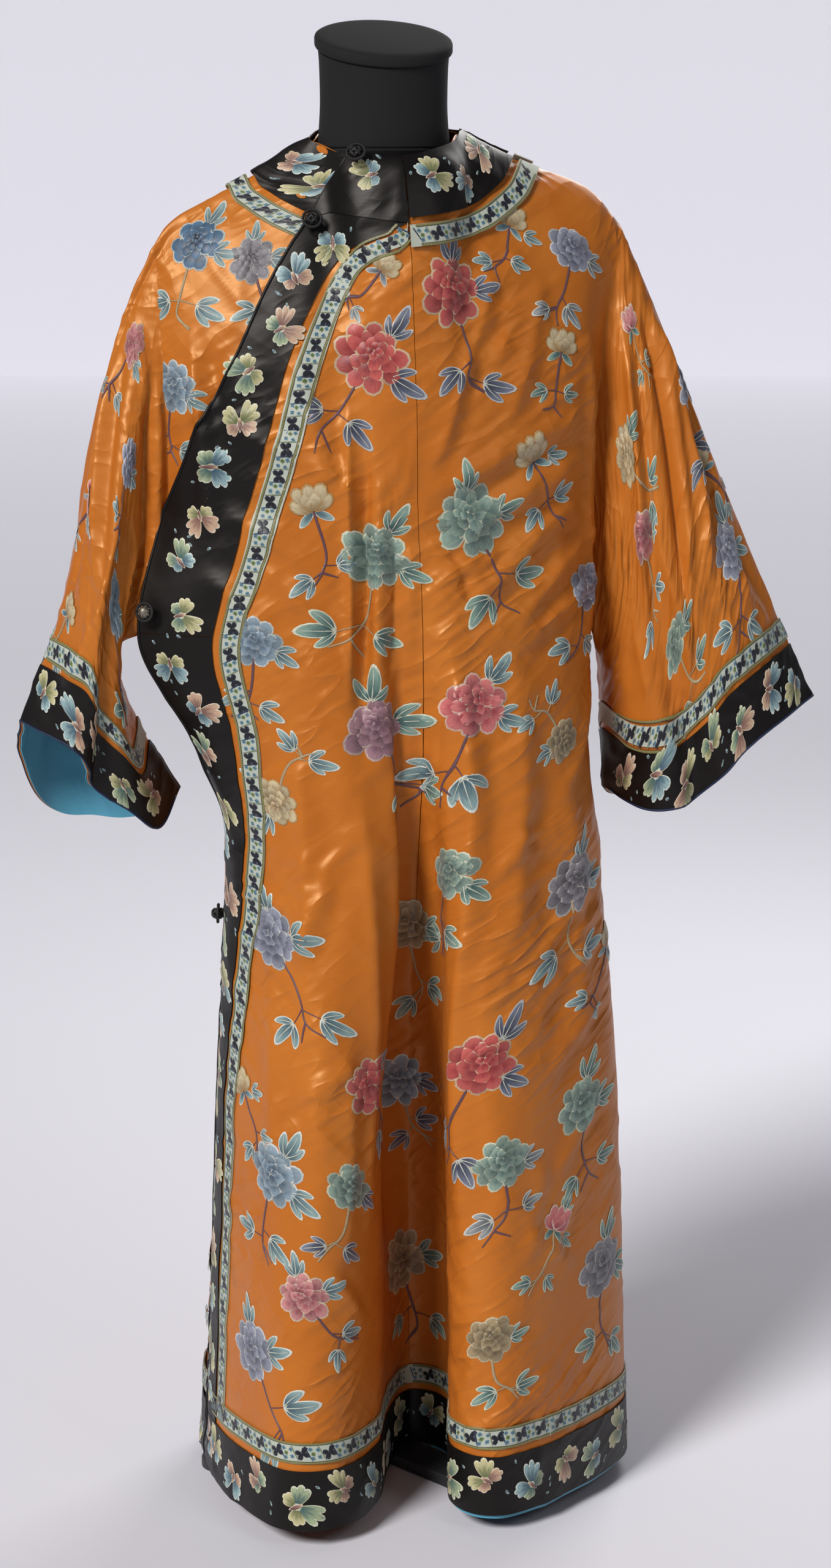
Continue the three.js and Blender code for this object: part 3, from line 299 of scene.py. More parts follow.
def front(u: np.ndarray, w: np.ndarray) -> np.ndarray:
    """Point of the front."""
    u, w = np.broadcast_arrays(np.asarray(u, float), np.asarray(w, float))
    return drape(u, w, False)


def back(u: np.ndarray, w: np.ndarray) -> np.ndarray:
    """Point of the back."""
    u, w = np.broadcast_arrays(np.asarray(u, float), np.asarray(w, float))
    return drape(u, w, True)


Surface = Callable[[np.ndarray, np.ndarray], np.ndarray]


def normal_of(surface: Surface, u: np.ndarray, w: np.ndarray, side: float) -> np.ndarray:
    """Outward unit normal; side is +1 where u x w points out."""
    e = 0.01
    a = surface(np.minimum(LAST, u + e), w) - surface(np.maximum(0, u - e), w)
    b = surface(u, np.minimum(2, w + e)) - surface(u, np.maximum(0, w - e))
    return unit(np.cross(a, b)) * side


def front_normal(u: np.ndarray, w: np.ndarray) -> np.ndarray:
    """Outward normal of the front."""
    u, w = np.broadcast_arrays(np.asarray(u, float), np.asarray(w, float))
    return normal_of(front, u, w, -1)


def back_normal(u: np.ndarray, w: np.ndarray) -> np.ndarray:
    """Outward normal of the back."""
    u, w = np.broadcast_arrays(np.asarray(u, float), np.asarray(w, float))
    return normal_of(back, u, w, 1)


def edge_station(w: np.ndarray, table: np.ndarray) -> np.ndarray:
    """Station where the front meets the closing border's edge."""
    low, high = np.zeros_like(w), np.full_like(w, CENTRE - NECK_MARGIN)
    for _ in range(34):
        middle = (low + high) / 2
        p = front(middle, w)
        below = p[..., 0] < at_height(PLACKET_Z, table, np.clip(p[..., 2], CHEST_Z, PLACKET_Z[0]))
        low, high = np.where(below, middle, low), np.where(below, high, middle)
    return high


def closing_station(w: np.ndarray) -> np.ndarray:
    """Station of the outer front's closing edge."""
    return np.where(w >= 1, 0.0, edge_station(np.minimum(w, 1.0), PLACKET_OUTER))


def reach_front(w: np.ndarray, start: np.ndarray, distance: np.ndarray) -> np.ndarray:
    """Station reached by going a distance round the front, never past the centre seam."""
    stations = np.linspace(0, CENTRE - NECK_MARGIN, 500)
    p = front(stations[None, :], w[:, None])
    length = np.concatenate([np.zeros((len(w), 1)),
                             np.cumsum(np.linalg.norm(np.diff(p, axis=1), axis=-1), axis=1)],
                            axis=1)
    out = np.empty_like(w)
    for k in range(len(w)):
        want = np.interp(start[k], stations, length[k]) + distance[k]
        out[k] = np.interp(want, length[k], stations)
    return out


@dataclass(frozen=True)
class BorderLines:
    """Stations of the closing and side border at each fall: its two edges, then its ribbon's."""
    w: np.ndarray
    start: np.ndarray
    inner: np.ndarray
    ribbon_outer: np.ndarray
    ribbon_inner: np.ndarray

    @classmethod
    def at(cls, w: np.ndarray) -> "BorderLines":
        """Works the lines out for these falls."""
        chest = np.array([1.0])
        edge = edge_station(chest, PLACKET_INNER)
        steps = front(np.linspace(0, edge[0], 41), np.full(41, 1.0))
        chest_border = float(np.linalg.norm(np.diff(steps, axis=0), axis=1).sum())
        start = closing_station(w)
        slant = np.where(w < 1, SLANT, SLANT + (1 - SLANT) * smooth((w - 1) / 0.15))
        low = chest_border + (BAND_WIDTH - chest_border) * smooth((w - 1) / 0.28)
        inner = np.where(w < 1, edge_station(np.minimum(w, 1), PLACKET_INNER),
                         reach_front(w, np.zeros_like(w), low))
        ribbon_outer = np.maximum(reach_front(w, inner, BAND_GAP * slant), inner + 0.01)
        ribbon_inner = np.maximum(reach_front(w, ribbon_outer, RIBBON_WIDTH * slant),
                                  ribbon_outer + 0.01)
        return cls(w, start, inner, ribbon_outer, ribbon_inner)


def armhole(cut: SleeveCut, s: np.ndarray, face: str) -> np.ndarray:
    """Points of the armhole line."""
    w = s * UNDERARM_W
    station = np.full_like(w, cut.station)
    p = (front if face == "front" else back)(station, w)
    tuck = UNDERLAP * smooth(w / 0.12) if cut.sign < 0 else np.zeros_like(w)
    return p - front_normal(station, np.maximum(w, 0.02)) * tuck[..., None]


def sleeve_point(cut: SleeveCut, t: np.ndarray, s: np.ndarray, face: str) -> np.ndarray:
    """Point of a sleeve: t 0 armhole .. 1 cuff, s 0 outer fold .. 1 underarm."""
    t, s = np.broadcast_arrays(np.asarray(t, float), np.asarray(s, float))
    outer, inner, rim = (np.array(v, float) for v in (cut.outer, cut.inner, getattr(cut, face)))
    start = armhole(cut, s, face)
    ends = armhole(cut, np.array([0.0, 1.0]), face)[:, 2]
    down = (ends[0] - start[..., 2]) / (ends[0] - ends[1])

    def chord(k: np.ndarray) -> np.ndarray:
        a = curve_across(outer, k * (len(outer) - 1))
        b = curve_across(inner, k * (len(inner) - 1))
        return a + (b - a) * down[..., None]

    shape_start = start - chord(np.zeros_like(t))
    shape_end = curve_across(rim, down * (len(rim) - 1)) - chord(np.ones_like(t))
    bulge = cut.bulge_front if face == "front" else cut.bulge_back
    swell = bulge * np.sin(np.pi * t) * np.clip(4 * down * (1 - down), 0, None) ** 0.75
    p = chord(t) + shape_start * ((1 - t) ** 1.6)[..., None] + shape_end * (t ** 1.25)[..., None]
    p[..., 1] += swell
    return p


def from_cuff(cut: SleeveCut, s: np.ndarray, face: str, distance: float) -> np.ndarray:
    """Sleeve parameter t that lies a length short of the cuff, for each line s."""
    ts = np.linspace(0, 1, 121)
    p = sleeve_point(cut, ts[None, :], s[:, None], face)
    run = np.linalg.norm(np.diff(p, axis=1), axis=-1)
    left = np.concatenate([np.cumsum(run[:, ::-1], axis=1)[:, ::-1], np.zeros((len(s), 1))], axis=1)
    return np.array([np.interp(-distance, -left[k], ts) for k in range(len(s))])


# ---------- creases ----------
@dataclass(frozen=True)
class Crease:
    """One soft ridge (or trough, if deep is negative) between two places of a cloth, as x and z."""
    x0: float
    z0: float
    x1: float
    z1: float
    width: float
    deep: float
    bow: float = 0.0


class ClothMap:
    """A cloth surface with flat coordinates, its creases, and the way back from flat to surface."""

    def __init__(self, name: str, surface: Surface, us: np.ndarray, ws: np.ndarray,
                 outward: Sequence[float],
                 creases: Sequence[Crease] = (), crumple: float = 0.0, seed: int = 1,
                 fade: float = 24.0,
                 origin: tuple[float, float] = (0.5, 0.5)) -> None:
        """Measures the surface on a fine grid.

        Args:
            name: the map's name, kept on it.
            surface: the smooth surface, points for arrays of u and w.
            us, ws: grid lines.
            outward: rough direction of the outside.
            creases: listed creases.
            crumple: height of the small uneven crumples.
            seed: seed of the crumples' places.
            fade: distance over which the creases die out at the grid's ends.
            origin: share of the two grid directions where the flat coordinates are zero.
        """
        self.name, self.surface, self.us, self.ws, self.fade = name, surface, us, ws, fade
        grid = surface(us[None, :], ws[:, None])
        self.grid = grid
        du = np.gradient(grid, axis=1)
        dw = np.gradient(grid, axis=0)
        n = unit(np.cross(du, dw))
        self.side = 1.0 if (n * np.array(outward)).sum(-1).mean() > 0 else -1.0
        self.normals = n * self.side
        run = np.linalg.norm(np.diff(grid, axis=1), axis=-1)
        x = np.concatenate([np.zeros((len(ws), 1)), np.cumsum(run, axis=1)], axis=1)
        drop = np.linalg.norm(np.diff(grid, axis=0), axis=-1)
        y = -np.concatenate([np.zeros((1, len(us))), np.cumsum(drop, axis=0)], axis=0)
        i, j = int(origin[0] * (len(us) - 1)), int(origin[1] * (len(ws) - 1))
        self.x = -(x - x[:, i:i + 1]) * self.side
        self.y = y - y[j:j + 1, :]
        self.crumple, self.seed = crumple, seed
        self.marks = [self._flat_crease(c) for c in creases]
        self.relief = self._height(self.x, self.y)
        raised = grid + self.normals * self.relief[..., None]
        tilt = unit(np.cross(np.gradient(raised, axis=1), np.gradient(raised, axis=0))) * self.side
        self.raised_normals = tilt

    # sampling -----------------------------------------------------------------
    def _cells(self, u: np.ndarray, w: np.ndarray) -> tuple:
        """Cell indices and shares of places on the grid."""
        a = np.interp(u, self.us, np.arange(len(self.us)))
        b = np.interp(w, self.ws, np.arange(len(self.ws)))
        i = np.clip(a.astype(int), 0, len(self.us) - 2)
        j = np.clip(b.astype(int), 0, len(self.ws) - 2)
        return i, j, a - i, b - j

    def sample(self, table: np.ndarray, u: np.ndarray, w: np.ndarray) -> np.ndarray:
        """A grid table's value between its points."""
        i, j, s, t = self._cells(u, w)
        if table.ndim == 3:
            s, t = s[..., None], t[..., None]
        return ((table[j, i] * (1 - s) + table[j, i + 1] * s) * (1 - t)
                + (table[j + 1, i] * (1 - s) + table[j + 1, i + 1] * s) * t)

    def flat(self, u: np.ndarray, w: np.ndarray) -> np.ndarray:
        """Flat coordinates of places."""
        return np.stack([self.sample(self.x, u, w), self.sample(self.y, u, w)], -1)

    def locate(self, x: float, z: float) -> tuple[float, float]:
        """Grid place whose point has this x and z, the outermost one."""
        d = np.hypot(self.grid[..., 0] - x, self.grid[..., 2] - z)
        near = d < d.min() + 6.0
        depth = np.where(near, (self.grid * self.normals.mean((0, 1))).sum(-1), -1e9)
        score = d - 0.05 * np.where(near, depth, -1e6)
        j, i = np.unravel_index(int(np.argmin(score)), d.shape)
        return float(self.us[i]), float(self.ws[j])

    def spot(self, x: float, z: float) -> np.ndarray:
        """Flat coordinates of the place with this x and z."""
        u, w = self.locate(x, z)
        return self.flat(np.array(u), np.array(w))

    def place(self, flat: np.ndarray) -> tuple[np.ndarray, np.ndarray]:
        """Surface parameters of flat points, by Newton steps from the nearest grid points."""
        from mathutils.kdtree import KDTree
        if not hasattr(self, "_tree"):
            across, down = max(1, len(self.us) // 70), max(1, len(self.ws) // 85)
            xs, ys = self.x[::down, ::across], self.y[::down, ::across]
            self._coarse = (np.broadcast_to(self.us[None, ::across], xs.shape).ravel(),
                            np.broadcast_to(self.ws[::down, None], xs.shape).ravel())
            self._tree = KDTree(xs.size)
            for k, (a, b) in enumerate(zip(xs.ravel(), ys.ravel())):
                self._tree.insert((a, b, 0.0), k)
            self._tree.balance()
        picks = np.array([self._tree.find((a, b, 0.0))[1] for a, b in flat])
        u, w = self._coarse[0][picks].copy(), self._coarse[1][picks].copy()
        eu, ew = (self.us[-1] - self.us[0]) * 0.002, (self.ws[-1] - self.ws[0]) * 0.002
        for _ in range(8):
            here = self.flat(u, w)
            fu = (self.flat(np.minimum(u + eu, self.us[-1]), w)
                  - self.flat(np.maximum(u - eu, self.us[0]), w))
            fw = (self.flat(u, np.minimum(w + ew, self.ws[-1]))
                  - self.flat(u, np.maximum(w - ew, self.ws[0])))
            fu, fw = fu / (2 * eu), fw / (2 * ew)
            det = fu[:, 0] * fw[:, 1] - fu[:, 1] * fw[:, 0]
            det = np.where(np.abs(det) < 1e-6, 1e-6, det)
            off = flat - here
            u = u + np.clip((off[:, 0] * fw[:, 1] - off[:, 1] * fw[:, 0]) / det, -60 * eu, 60 * eu)
            w = w + np.clip((fu[:, 0] * off[:, 1] - fu[:, 1] * off[:, 0]) / det, -60 * ew, 60 * ew)
            u = np.clip(u, self.us[0], self.us[-1])
            w = np.clip(w, self.ws[0], self.ws[-1])
        return u, w

    # creases ------------------------------------------------------------------
    def _flat_crease(self, crease: Crease) -> tuple:
        """Turns a crease's two places into flat ones."""
        return self.spot(crease.x0, crease.z0), self.spot(crease.x1, crease.z1), crease

    def _height(self, x: np.ndarray, y: np.ndarray) -> np.ndarray:
        """Height of creases and crumples at flat coordinates."""
        total = np.zeros_like(x)
        for a, b, crease in self.marks:
            along = b - a
            length = float(np.hypot(*along)) or 1.0
            along = along / length
            across = np.array([-along[1], along[0]])
            near = ((np.abs(x - (a[0] + b[0]) / 2) < length / 2 + 4 * crease.width)
                    & (np.abs(y - (a[1] + b[1]) / 2) < length / 2 + 4 * crease.width
                       + abs(crease.bow)))
            px, py = x[near] - a[0], y[near] - a[1]
            s = (px * along[0] + py * along[1]) / length
            d = px * across[0] + py * across[1] - crease.bow * 4 * s * (1 - s)
            taper = smooth(s / 0.25) * smooth((1 - s) / 0.3)
            q = d / crease.width
            ridge = np.exp(-np.sqrt(q * q
                                    + 0.06) * 1.7) * 1.5 - 0.45 * np.exp(-((q - 1.5) / 0.9) ** 2)
            total[near] += crease.deep * taper * ridge
        edge = np.minimum(x - x.min(1, keepdims=True), x.max(1, keepdims=True) - x)
        total *= smooth(edge / self.fade) * smooth((y[:1] - y) / self.fade)
        if self.crumple:
            total += self.crumple * crumples(self.grid, self.seed)
        return total

    def height(self, u: np.ndarray, w: np.ndarray) -> np.ndarray:
        """Height of the creases at places."""
        return self.sample(self.relief, u, w)

    def points(self, u: np.ndarray, w: np.ndarray) -> np.ndarray:
        """Creased surface points."""
        u, w = np.broadcast_arrays(np.asarray(u, float), np.asarray(w, float))
        base = self.surface(u, w)
        return base + self.sample(self.normals, u, w) * self.height(u, w)[..., None]

    def lifted(self, u: np.ndarray, w: np.ndarray, lift: np.ndarray) -> np.ndarray:
        """Creased surface points moved out along the creased normal."""
        return self.points(u, w) + self.sample(self.raised_normals, u, w) * np.asarray(lift)[...,
                                                                                             None]


def value_noise(p: np.ndarray, cell: float, seed: int) -> np.ndarray:
    """Smooth uneven heights of about -1 to 1 at points."""
    table = np.random.default_rng(seed).uniform(-1, 1, (32, 32, 32))
    q = p / cell
    low = np.floor(q).astype(int)
    share = smooth(q - low)
    total = np.zeros(p.shape[:-1])
    for corner in np.ndindex(2, 2, 2):
        at = (low + np.array(corner)) % 32
        part = np.prod(np.where(np.array(corner) > 0, share, 1 - share), axis=-1)
        total += table[at[..., 0], at[..., 1], at[..., 2]] * part
    return total


def crumples(p: np.ndarray, seed: int) -> np.ndarray:
    """Small uneven ridges, mostly across the cloth, in two slanting sets and uneven patches."""
    bend = value_noise(p, 75, seed) * 16
    total = np.zeros(p.shape[:-1])
    for k, (lean, cell,
            deep) in enumerate(((0.5, 17.0, 1.0), (-0.75, 25.0, 0.8), (1.35, 34.0, 0.7))):
        c, s = math.cos(lean), math.sin(lean)
        along = p[..., 0] * c + p[..., 2] * s
        across = -p[..., 0] * s + p[..., 2] * c + bend
        q = np.stack([along * 0.33, p[..., 1] * 0.55, across], -1)
        patch = smooth(0.35 + 1.1 * value_noise(p, 110, seed + 5 + k))
        total += (0.6 - 2.2
                  * np.minimum(np.abs(value_noise(q, cell, seed + 1 + k)), 0.45)) * deep * patch
    return total


# ---------- meshes ----------
class Cloth:
    """Collects grids of points that may share lines, and makes a closed thin shell of them."""

    def __init__(self) -> None:
        """Starts empty."""
        self.parts: list[tuple] = []

    def add(self, points: np.ndarray, uv: np.ndarray, flip: bool,
            lift: np.ndarray | None = None) -> "Cloth":
        """Adds a grid.

        Args:
            points: rows x columns x 3, in millimetres.
            uv: rows x columns x 2, flat coordinates.
            flip: turns the faces over.
            lift: height of the creases at each point.
        Returns:
            This cloth.
        """
        self.parts.append((points, uv, flip, np.zeros(points.shape[:2]) if lift is None else lift))
        return self

    def build(self, name: str, thickness: float, shift: float = 0.0,
              under: Callable[[np.ndarray], np.ndarray] | None = None) -> bpy.types.Object:
        """Makes the shell.

        Args:
            name: the object's name.
            thickness: wall thickness.
            shift: distance from the given points to the wall's middle, outwards.
            under: outward directions for points, where the piece leans as another does.
        Returns:
            The new object.
        """
        points, quads, uvs, lifts, count = [], [], [], [], 0
        for grid, uv, flip, lift in self.parts:
            rows, cols = grid.shape[:2]
            index = np.arange(rows * cols).reshape(rows, cols) + count
            q = np.stack([index[:-1, :-1], index[:-1, 1:], index[1:, 1:], index[1:, :-1]],
                         -1).reshape(-1, 4)
            quads.append(q[:, ::-1] if flip else q)
            points.append(grid.reshape(-1, 3))
            uvs.append(uv.reshape(-1, 2))
            lifts.append(lift.reshape(-1))
            count += rows * cols
        points, quads, uvs, lifts = (np.concatenate(v) for v in (points, quads, uvs, lifts))
        _, first, back_to = np.unique(np.round(points / 0.05).astype(np.int64), axis=0,
                                      return_index=True, return_inverse=True)
        back_to = back_to.reshape(-1)
        corners = back_to[quads]
        whole = np.array([len(set(q)) >= 3 for q in corners])
        corners, loops = corners[whole], quads[whole]
        merged, lifts = points[first], lifts[first]
        faces, face_loops = [], []
        for q, l in zip(corners, loops):
            keep = [k for k in range(4) if q[k] != q[k - 1]]
            faces.append([int(q[k]) for k in keep])
            face_loops.append([int(l[k]) for k in keep])
        normals = np.zeros_like(merged)
        a = merged[corners[:, 2]] - merged[corners[:, 0]]
        b = merged[corners[:, 3]] - merged[corners[:, 1]]
        area = np.cross(a, b)
        for k in range(4):
            np.add.at(normals, corners[:, k], area)
        normals = unit(normals)
        lean = normals if under is None else under(merged)
        outer = merged + lean * (shift + lifts + thickness / 2)[:, None]
        inner = merged + lean * (shift + lifts - thickness / 2)[:, None]
        n = len(merged)
        seen = {}
        for f in faces:
            for k in range(len(f)):
                seen[(f[k - 1], f[k])] = True
        rim = [(p, q) for p, q in seen if (q, p) not in seen]
        all_faces = faces + [[n + v for v in reversed(f)] for f in faces]
        all_loops = face_loops + [list(reversed(f)) for f in face_loops]
        any_loop = {int(v): int(l) for f, fl in zip(faces, face_loops) for v, l in zip(f, fl)}
        for p, q in rim:
            all_faces.append([q, p, n + p, n + q])
            all_loops.append([any_loop[q], any_loop[p], any_loop[p], any_loop[q]])
        mesh = bpy.data.meshes.new(name)
        mesh.from_pydata((np.concatenate([outer, inner]) * MM).tolist(), [], all_faces)
        layer = mesh.uv_layers.new(name="flat")
        flat_loops = np.concatenate([np.array(l) for l in all_loops])
        layer.data.foreach_set("uv", (uvs[flat_loops] * MM).astype(np.float32).ravel())
        mesh.polygons.foreach_set("use_smooth", np.ones(len(mesh.polygons), bool))
        mesh.update()
        crease_rim(mesh, len(faces) * 2)
        obj = bpy.data.objects.new(name, mesh)
        bpy.context.scene.collection.objects.link(obj)
        obj["cloth_area"] = float(np.linalg.norm(area, axis=1).sum() / 2 * MM * MM)
        return obj


def crease_rim(mesh: bpy.types.Mesh, first: int) -> None:
    """Marks the edges round the rim faces sharp, so that the cut edges stay crisp."""
    rim_edges = set()
    for polygon in mesh.polygons[first:]:
        rim_edges.update(polygon.edge_keys)
    for edge in mesh.edges:
        if tuple(sorted(edge.vertices)) in rim_edges:
            edge.use_edge_sharp = True


def new_mesh(name: str, points: np.ndarray, faces: Iterable[Sequence[int]],
             smooth_faces: bool = True,
             uv: np.ndarray | None = None, tint: np.ndarray | None = None) -> bpy.types.Object:
    """Makes an object from points in millimetres.

    Args:
        name: the object's name.
        points: vertices.
        faces: vertex indices of each face.
        smooth_faces: shades the faces smoothly.
        uv: a flat coordinate for each vertex.
        tint: a colour for each vertex.
    Returns:
        The new object.
    """
    mesh = bpy.data.meshes.new(name)
    mesh.from_pydata((np.asarray(points) * MM).tolist(), [], [list(map(int, f)) for f in faces])
    if smooth_faces:
        mesh.polygons.foreach_set("use_smooth", np.ones(len(mesh.polygons), bool))
    if uv is not None:
        index = np.empty(len(mesh.loops), np.int32)
        mesh.loops.foreach_get("vertex_index", index)
        layer = mesh.uv_layers.new(name="flat")
        layer.data.foreach_set("uv", (uv[index] * MM).astype(np.float32).ravel())
    if tint is not None:
        colours = np.concatenate([tint, np.ones((len(tint), 1))], axis=1)
        layer = mesh.color_attributes.new(name="tint", type="FLOAT_COLOR", domain="POINT")
        layer.data.foreach_set("color", colours.astype(np.float32).ravel())
    mesh.update()
    obj = bpy.data.objects.new(name, mesh)
    bpy.context.scene.collection.objects.link(obj)
    return obj


def tube(path: np.ndarray, radius: float, sides: int = 8, closed: bool = False) -> tuple[np.ndarray,
                                                                                         list]:
    """Points and faces of a round tube along a path."""
    n = len(path)
    ahead = np.roll(path, -1,
                    0) if closed else np.concatenate([path[1:], 2 * path[-1:] - path[-2:-1]])
    behind = np.roll(path, 1,
                     0) if closed else np.concatenate([2 * path[:1] - path[1:2], path[:-1]])
    tangent = unit(ahead - behind)
    guide = np.array([0.0, 0.0, 1.0]) if abs(tangent[0][2]) < 0.9 else np.array([0.0, 1.0, 0.0])
    side = unit(np.cross(tangent[0], guide))
    rings = []
    for k in range(n):
        side = unit(side - tangent[k] * float(side @ tangent[k]))
        other = np.cross(tangent[k], side)
        turn = np.arange(sides) / sides * 2 * math.pi
        rings.append(path[k] + radius
                     * (np.cos(turn)[:, None] * side + np.sin(turn)[:, None] * other))
    points = np.concatenate(rings)
    faces = []
    for k in range(n if closed else n - 1):
        for j in range(sides):
            a, b = k * sides + j, k * sides + (j + 1) % sides
            c, d = ((k + 1) % n) * sides + (j + 1) % sides, ((k + 1) % n) * sides + j
            faces.append((a, b, c, d))
    if not closed:
        faces.append(tuple(range(sides))[::-1])
        faces.append(tuple(range((n - 1) * sides, n * sides)))
    return points, faces


# ---------- shader nodes ----------
class Sock:
    """A node output or a plain number that takes part in sums."""

    def __init__(self, tree: "Nodes", value: object) -> None:
        """Keeps the tree and the socket or number."""
        self.tree, self.value = tree, value

    def _math(self, kind: str, *others: object, clamp: bool = False) -> "Sock":
        """A Math node of this value and others."""
        return self.tree.math(kind, self, *others, clamp=clamp)

    def __add__(self, other: object) -> "Sock":
        """Sum."""
        return self._math("ADD", other)

    def __radd__(self, other: object) -> "Sock":
        """Sum with a number first."""
        return self._math("ADD", other)

    def __sub__(self, other: object) -> "Sock":
        """Difference."""
        return self._math("SUBTRACT", other)

    def __rsub__(self, other: object) -> "Sock":
        """A number less this value."""
        return self.tree.math("SUBTRACT", other, self)

    def __mul__(self, other: object) -> "Sock":
        """Product."""
        return self._math("MULTIPLY", other)

    def __rmul__(self, other: object) -> "Sock":
        """Product with a number first."""
        return self._math("MULTIPLY", other)

    def __truediv__(self, other: object) -> "Sock":
        """Quotient."""
        return self._math("DIVIDE", other)

    def __rtruediv__(self, other: object) -> "Sock":
        """A number over this value."""
        return self.tree.math("DIVIDE", other, self)


class Nodes:
    """Makes the nodes of one material."""

    def __init__(self, name: str) -> None:
        """Starts a material with a Principled surface."""
        self.material = bpy.data.materials.new(name)
        self.material.use_nodes = True
        self.tree = self.material.node_tree
        self.tree.nodes.clear()
        output = self.tree.nodes.new("ShaderNodeOutputMaterial")
        self.surface = self.tree.nodes.new("ShaderNodeBsdfPrincipled")
        self.tree.links.new(self.surface.outputs[0], output.inputs["Surface"])

    def node(self, kind: str, settings: dict | None = None,
             inputs: dict | None = None) -> bpy.types.Node:
        """Makes a node.

        Args:
            kind: the node's type.
            settings: its properties, set first.
            inputs: socket names or indices with numbers, colours or Socks.
        Returns:
            The node.
        """
        made = self.tree.nodes.new(kind)
        for key, value in (settings or {}).items():
            setattr(made, key, value)
        for key, value in (inputs or {}).items():
            self.feed(made.inputs[key], value)
        return made

    def feed(self, socket: bpy.types.NodeSocket, value: object) -> None:
        """Links a Sock or sets a plain value."""
        if isinstance(value, Sock):
            value = value.value
        if isinstance(value, bpy.types.NodeSocket):
            self.tree.links.new(value, socket)
        else:
            socket.default_value = value

    def math(self, kind: str, *values: object, clamp: bool = False) -> Sock:
        """A Math node's result."""
        made = self.node("ShaderNodeMath", {"operation": kind, "use_clamp": clamp},
                         dict(enumerate(values)))
        return Sock(self, made.outputs[0])

    def mix(self, share: object, a: object, b: object) -> Sock:
        """Colour a going over into b."""
        made = self.node("ShaderNodeMix", {"data_type": "RGBA"}, {0: share, 6: a, 7: b})
        return Sock(self, made.outputs[2])

    def noise(self, where: object, scale: float, detail: float = 2.0) -> Sock:
        """Noise from 0 to 1."""
        made = self.node("ShaderNodeTexNoise", None,
                         {"Vector": where, "Scale": scale, "Detail": detail})
        return Sock(self, made.outputs[0])

    def stretched(self, where: object, scale: Sequence[float]) -> Sock:
        """Coordinates times a scale for each axis."""
        made = self.node("ShaderNodeVectorMath", {"operation": "MULTIPLY"},
                         {0: where, 1: tuple(scale)})
        return Sock(self, made.outputs[0])

    def leaning(self, where: object, angle: float, scale: Sequence[float]) -> Sock:
        """Coordinates turned by an angle and then divided by a size for each axis."""
        made = self.node("ShaderNodeMapping", {"vector_type": "TEXTURE"},
                         {"Vector": where, "Rotation": (0, 0, angle), "Scale": tuple(scale)})
        return Sock(self, made.outputs[0])

    def ridges(self, noise: Sock) -> Sock:
        """Turns even noise into sharp lines on a flat ground."""
        return self.math("POWER", 1 - self.math("ABSOLUTE", noise * 4 - 2, clamp=True), 1.6)

    def flat(self) -> Sock:
        """The cloth's own flat coordinates, in metres."""
        return Sock(self, self.node("ShaderNodeUVMap", {"uv_map": "flat"}).outputs[0])

    def place(self) -> Sock:
        """The object's own coordinates, in metres."""
        return Sock(self, self.node("ShaderNodeTexCoord").outputs["Object"])

    def tint(self) -> Sock:
        """The colour kept on the points."""
        return Sock(self, self.node("ShaderNodeVertexColor", {"layer_name": "tint"}).outputs[0])

    def bump(self, height: Sock, strength: float, distance: float) -> None:
        """Feeds the surface's normal from a height."""
        made = self.node("ShaderNodeBump", None,
                         {"Height": height, "Strength": strength, "Distance": distance})
        self.feed(self.surface.inputs["Normal"], made.outputs[0])

    def set(self, **values: object) -> "Nodes":
        """Sets inputs of the surface by name, with _ for a space."""
        for key, value in values.items():
            self.feed(self.surface.inputs[key.replace("_", " ")], value)
        return self


def srgb(code: str, alpha: float = 1.0) -> tuple[float, float, float, float]:
    """Linear colour of a six-digit code."""
    parts = [int(code[i:i + 2], 16) / 255 for i in (0, 2, 4)]
    linear = [v / 12.92 if v <= 0.04045 else ((v + 0.055) / 1.055) ** 2.4 for v in parts]
    return (*linear, alpha)


@dataclass(frozen=True)
class Satin:
    """Silk satin: fine threads, a soft sheen and slight unevenness of colour."""
    name: str
    low: str
    high: str
    roughness: float = 0.4
    sheen: float = 0.0
    gloss: str = "ffd9a0"
    thread: float = 0.00032
    wrinkle: float = 0.0

    def make(self) -> bpy.types.Material:
        """Builds the material."""
        n = Nodes(self.name)
        flat = n.flat()
        patch = n.noise(flat, 6.0, 1) * 3 - 1.0
        soft = n.ridges(n.noise(n.leaning(flat, 0.55, (0.11, 0.034, 1)), 1.0, 2))
        other = n.ridges(n.noise(n.leaning(flat, -0.8, (0.09, 0.03, 1)), 1.0, 1))
        broad = n.noise(n.stretched(flat, (14, 5, 1)), 1.0, 3)
        fine = n.noise(n.stretched(flat, (1 / self.thread / 14, 1 / self.thread, 1)), 1.0, 1)
        slub = n.noise(n.stretched(flat, (60, 900, 1)), 1.0, 2)
        n.set(Base_Color=n.mix(broad * 0.8 + slub * 0.2, srgb(self.low), srgb(self.high)),
              Roughness=self.roughness + 0.1 * slub, Sheen_Weight=self.sheen, Sheen_Roughness=0.4,
              Anisotropic=0.3, Specular_IOR_Level=0.6, Specular_Tint=srgb(self.gloss))
        weave = (fine + slub) * (0.000015 / max(self.wrinkle, 0.00006))
        n.bump((soft + other * 0.3) * n.math("MAXIMUM", patch, 0.08) + weave, 1.0,
               max(self.wrinkle, 0.00006))
        return n.material


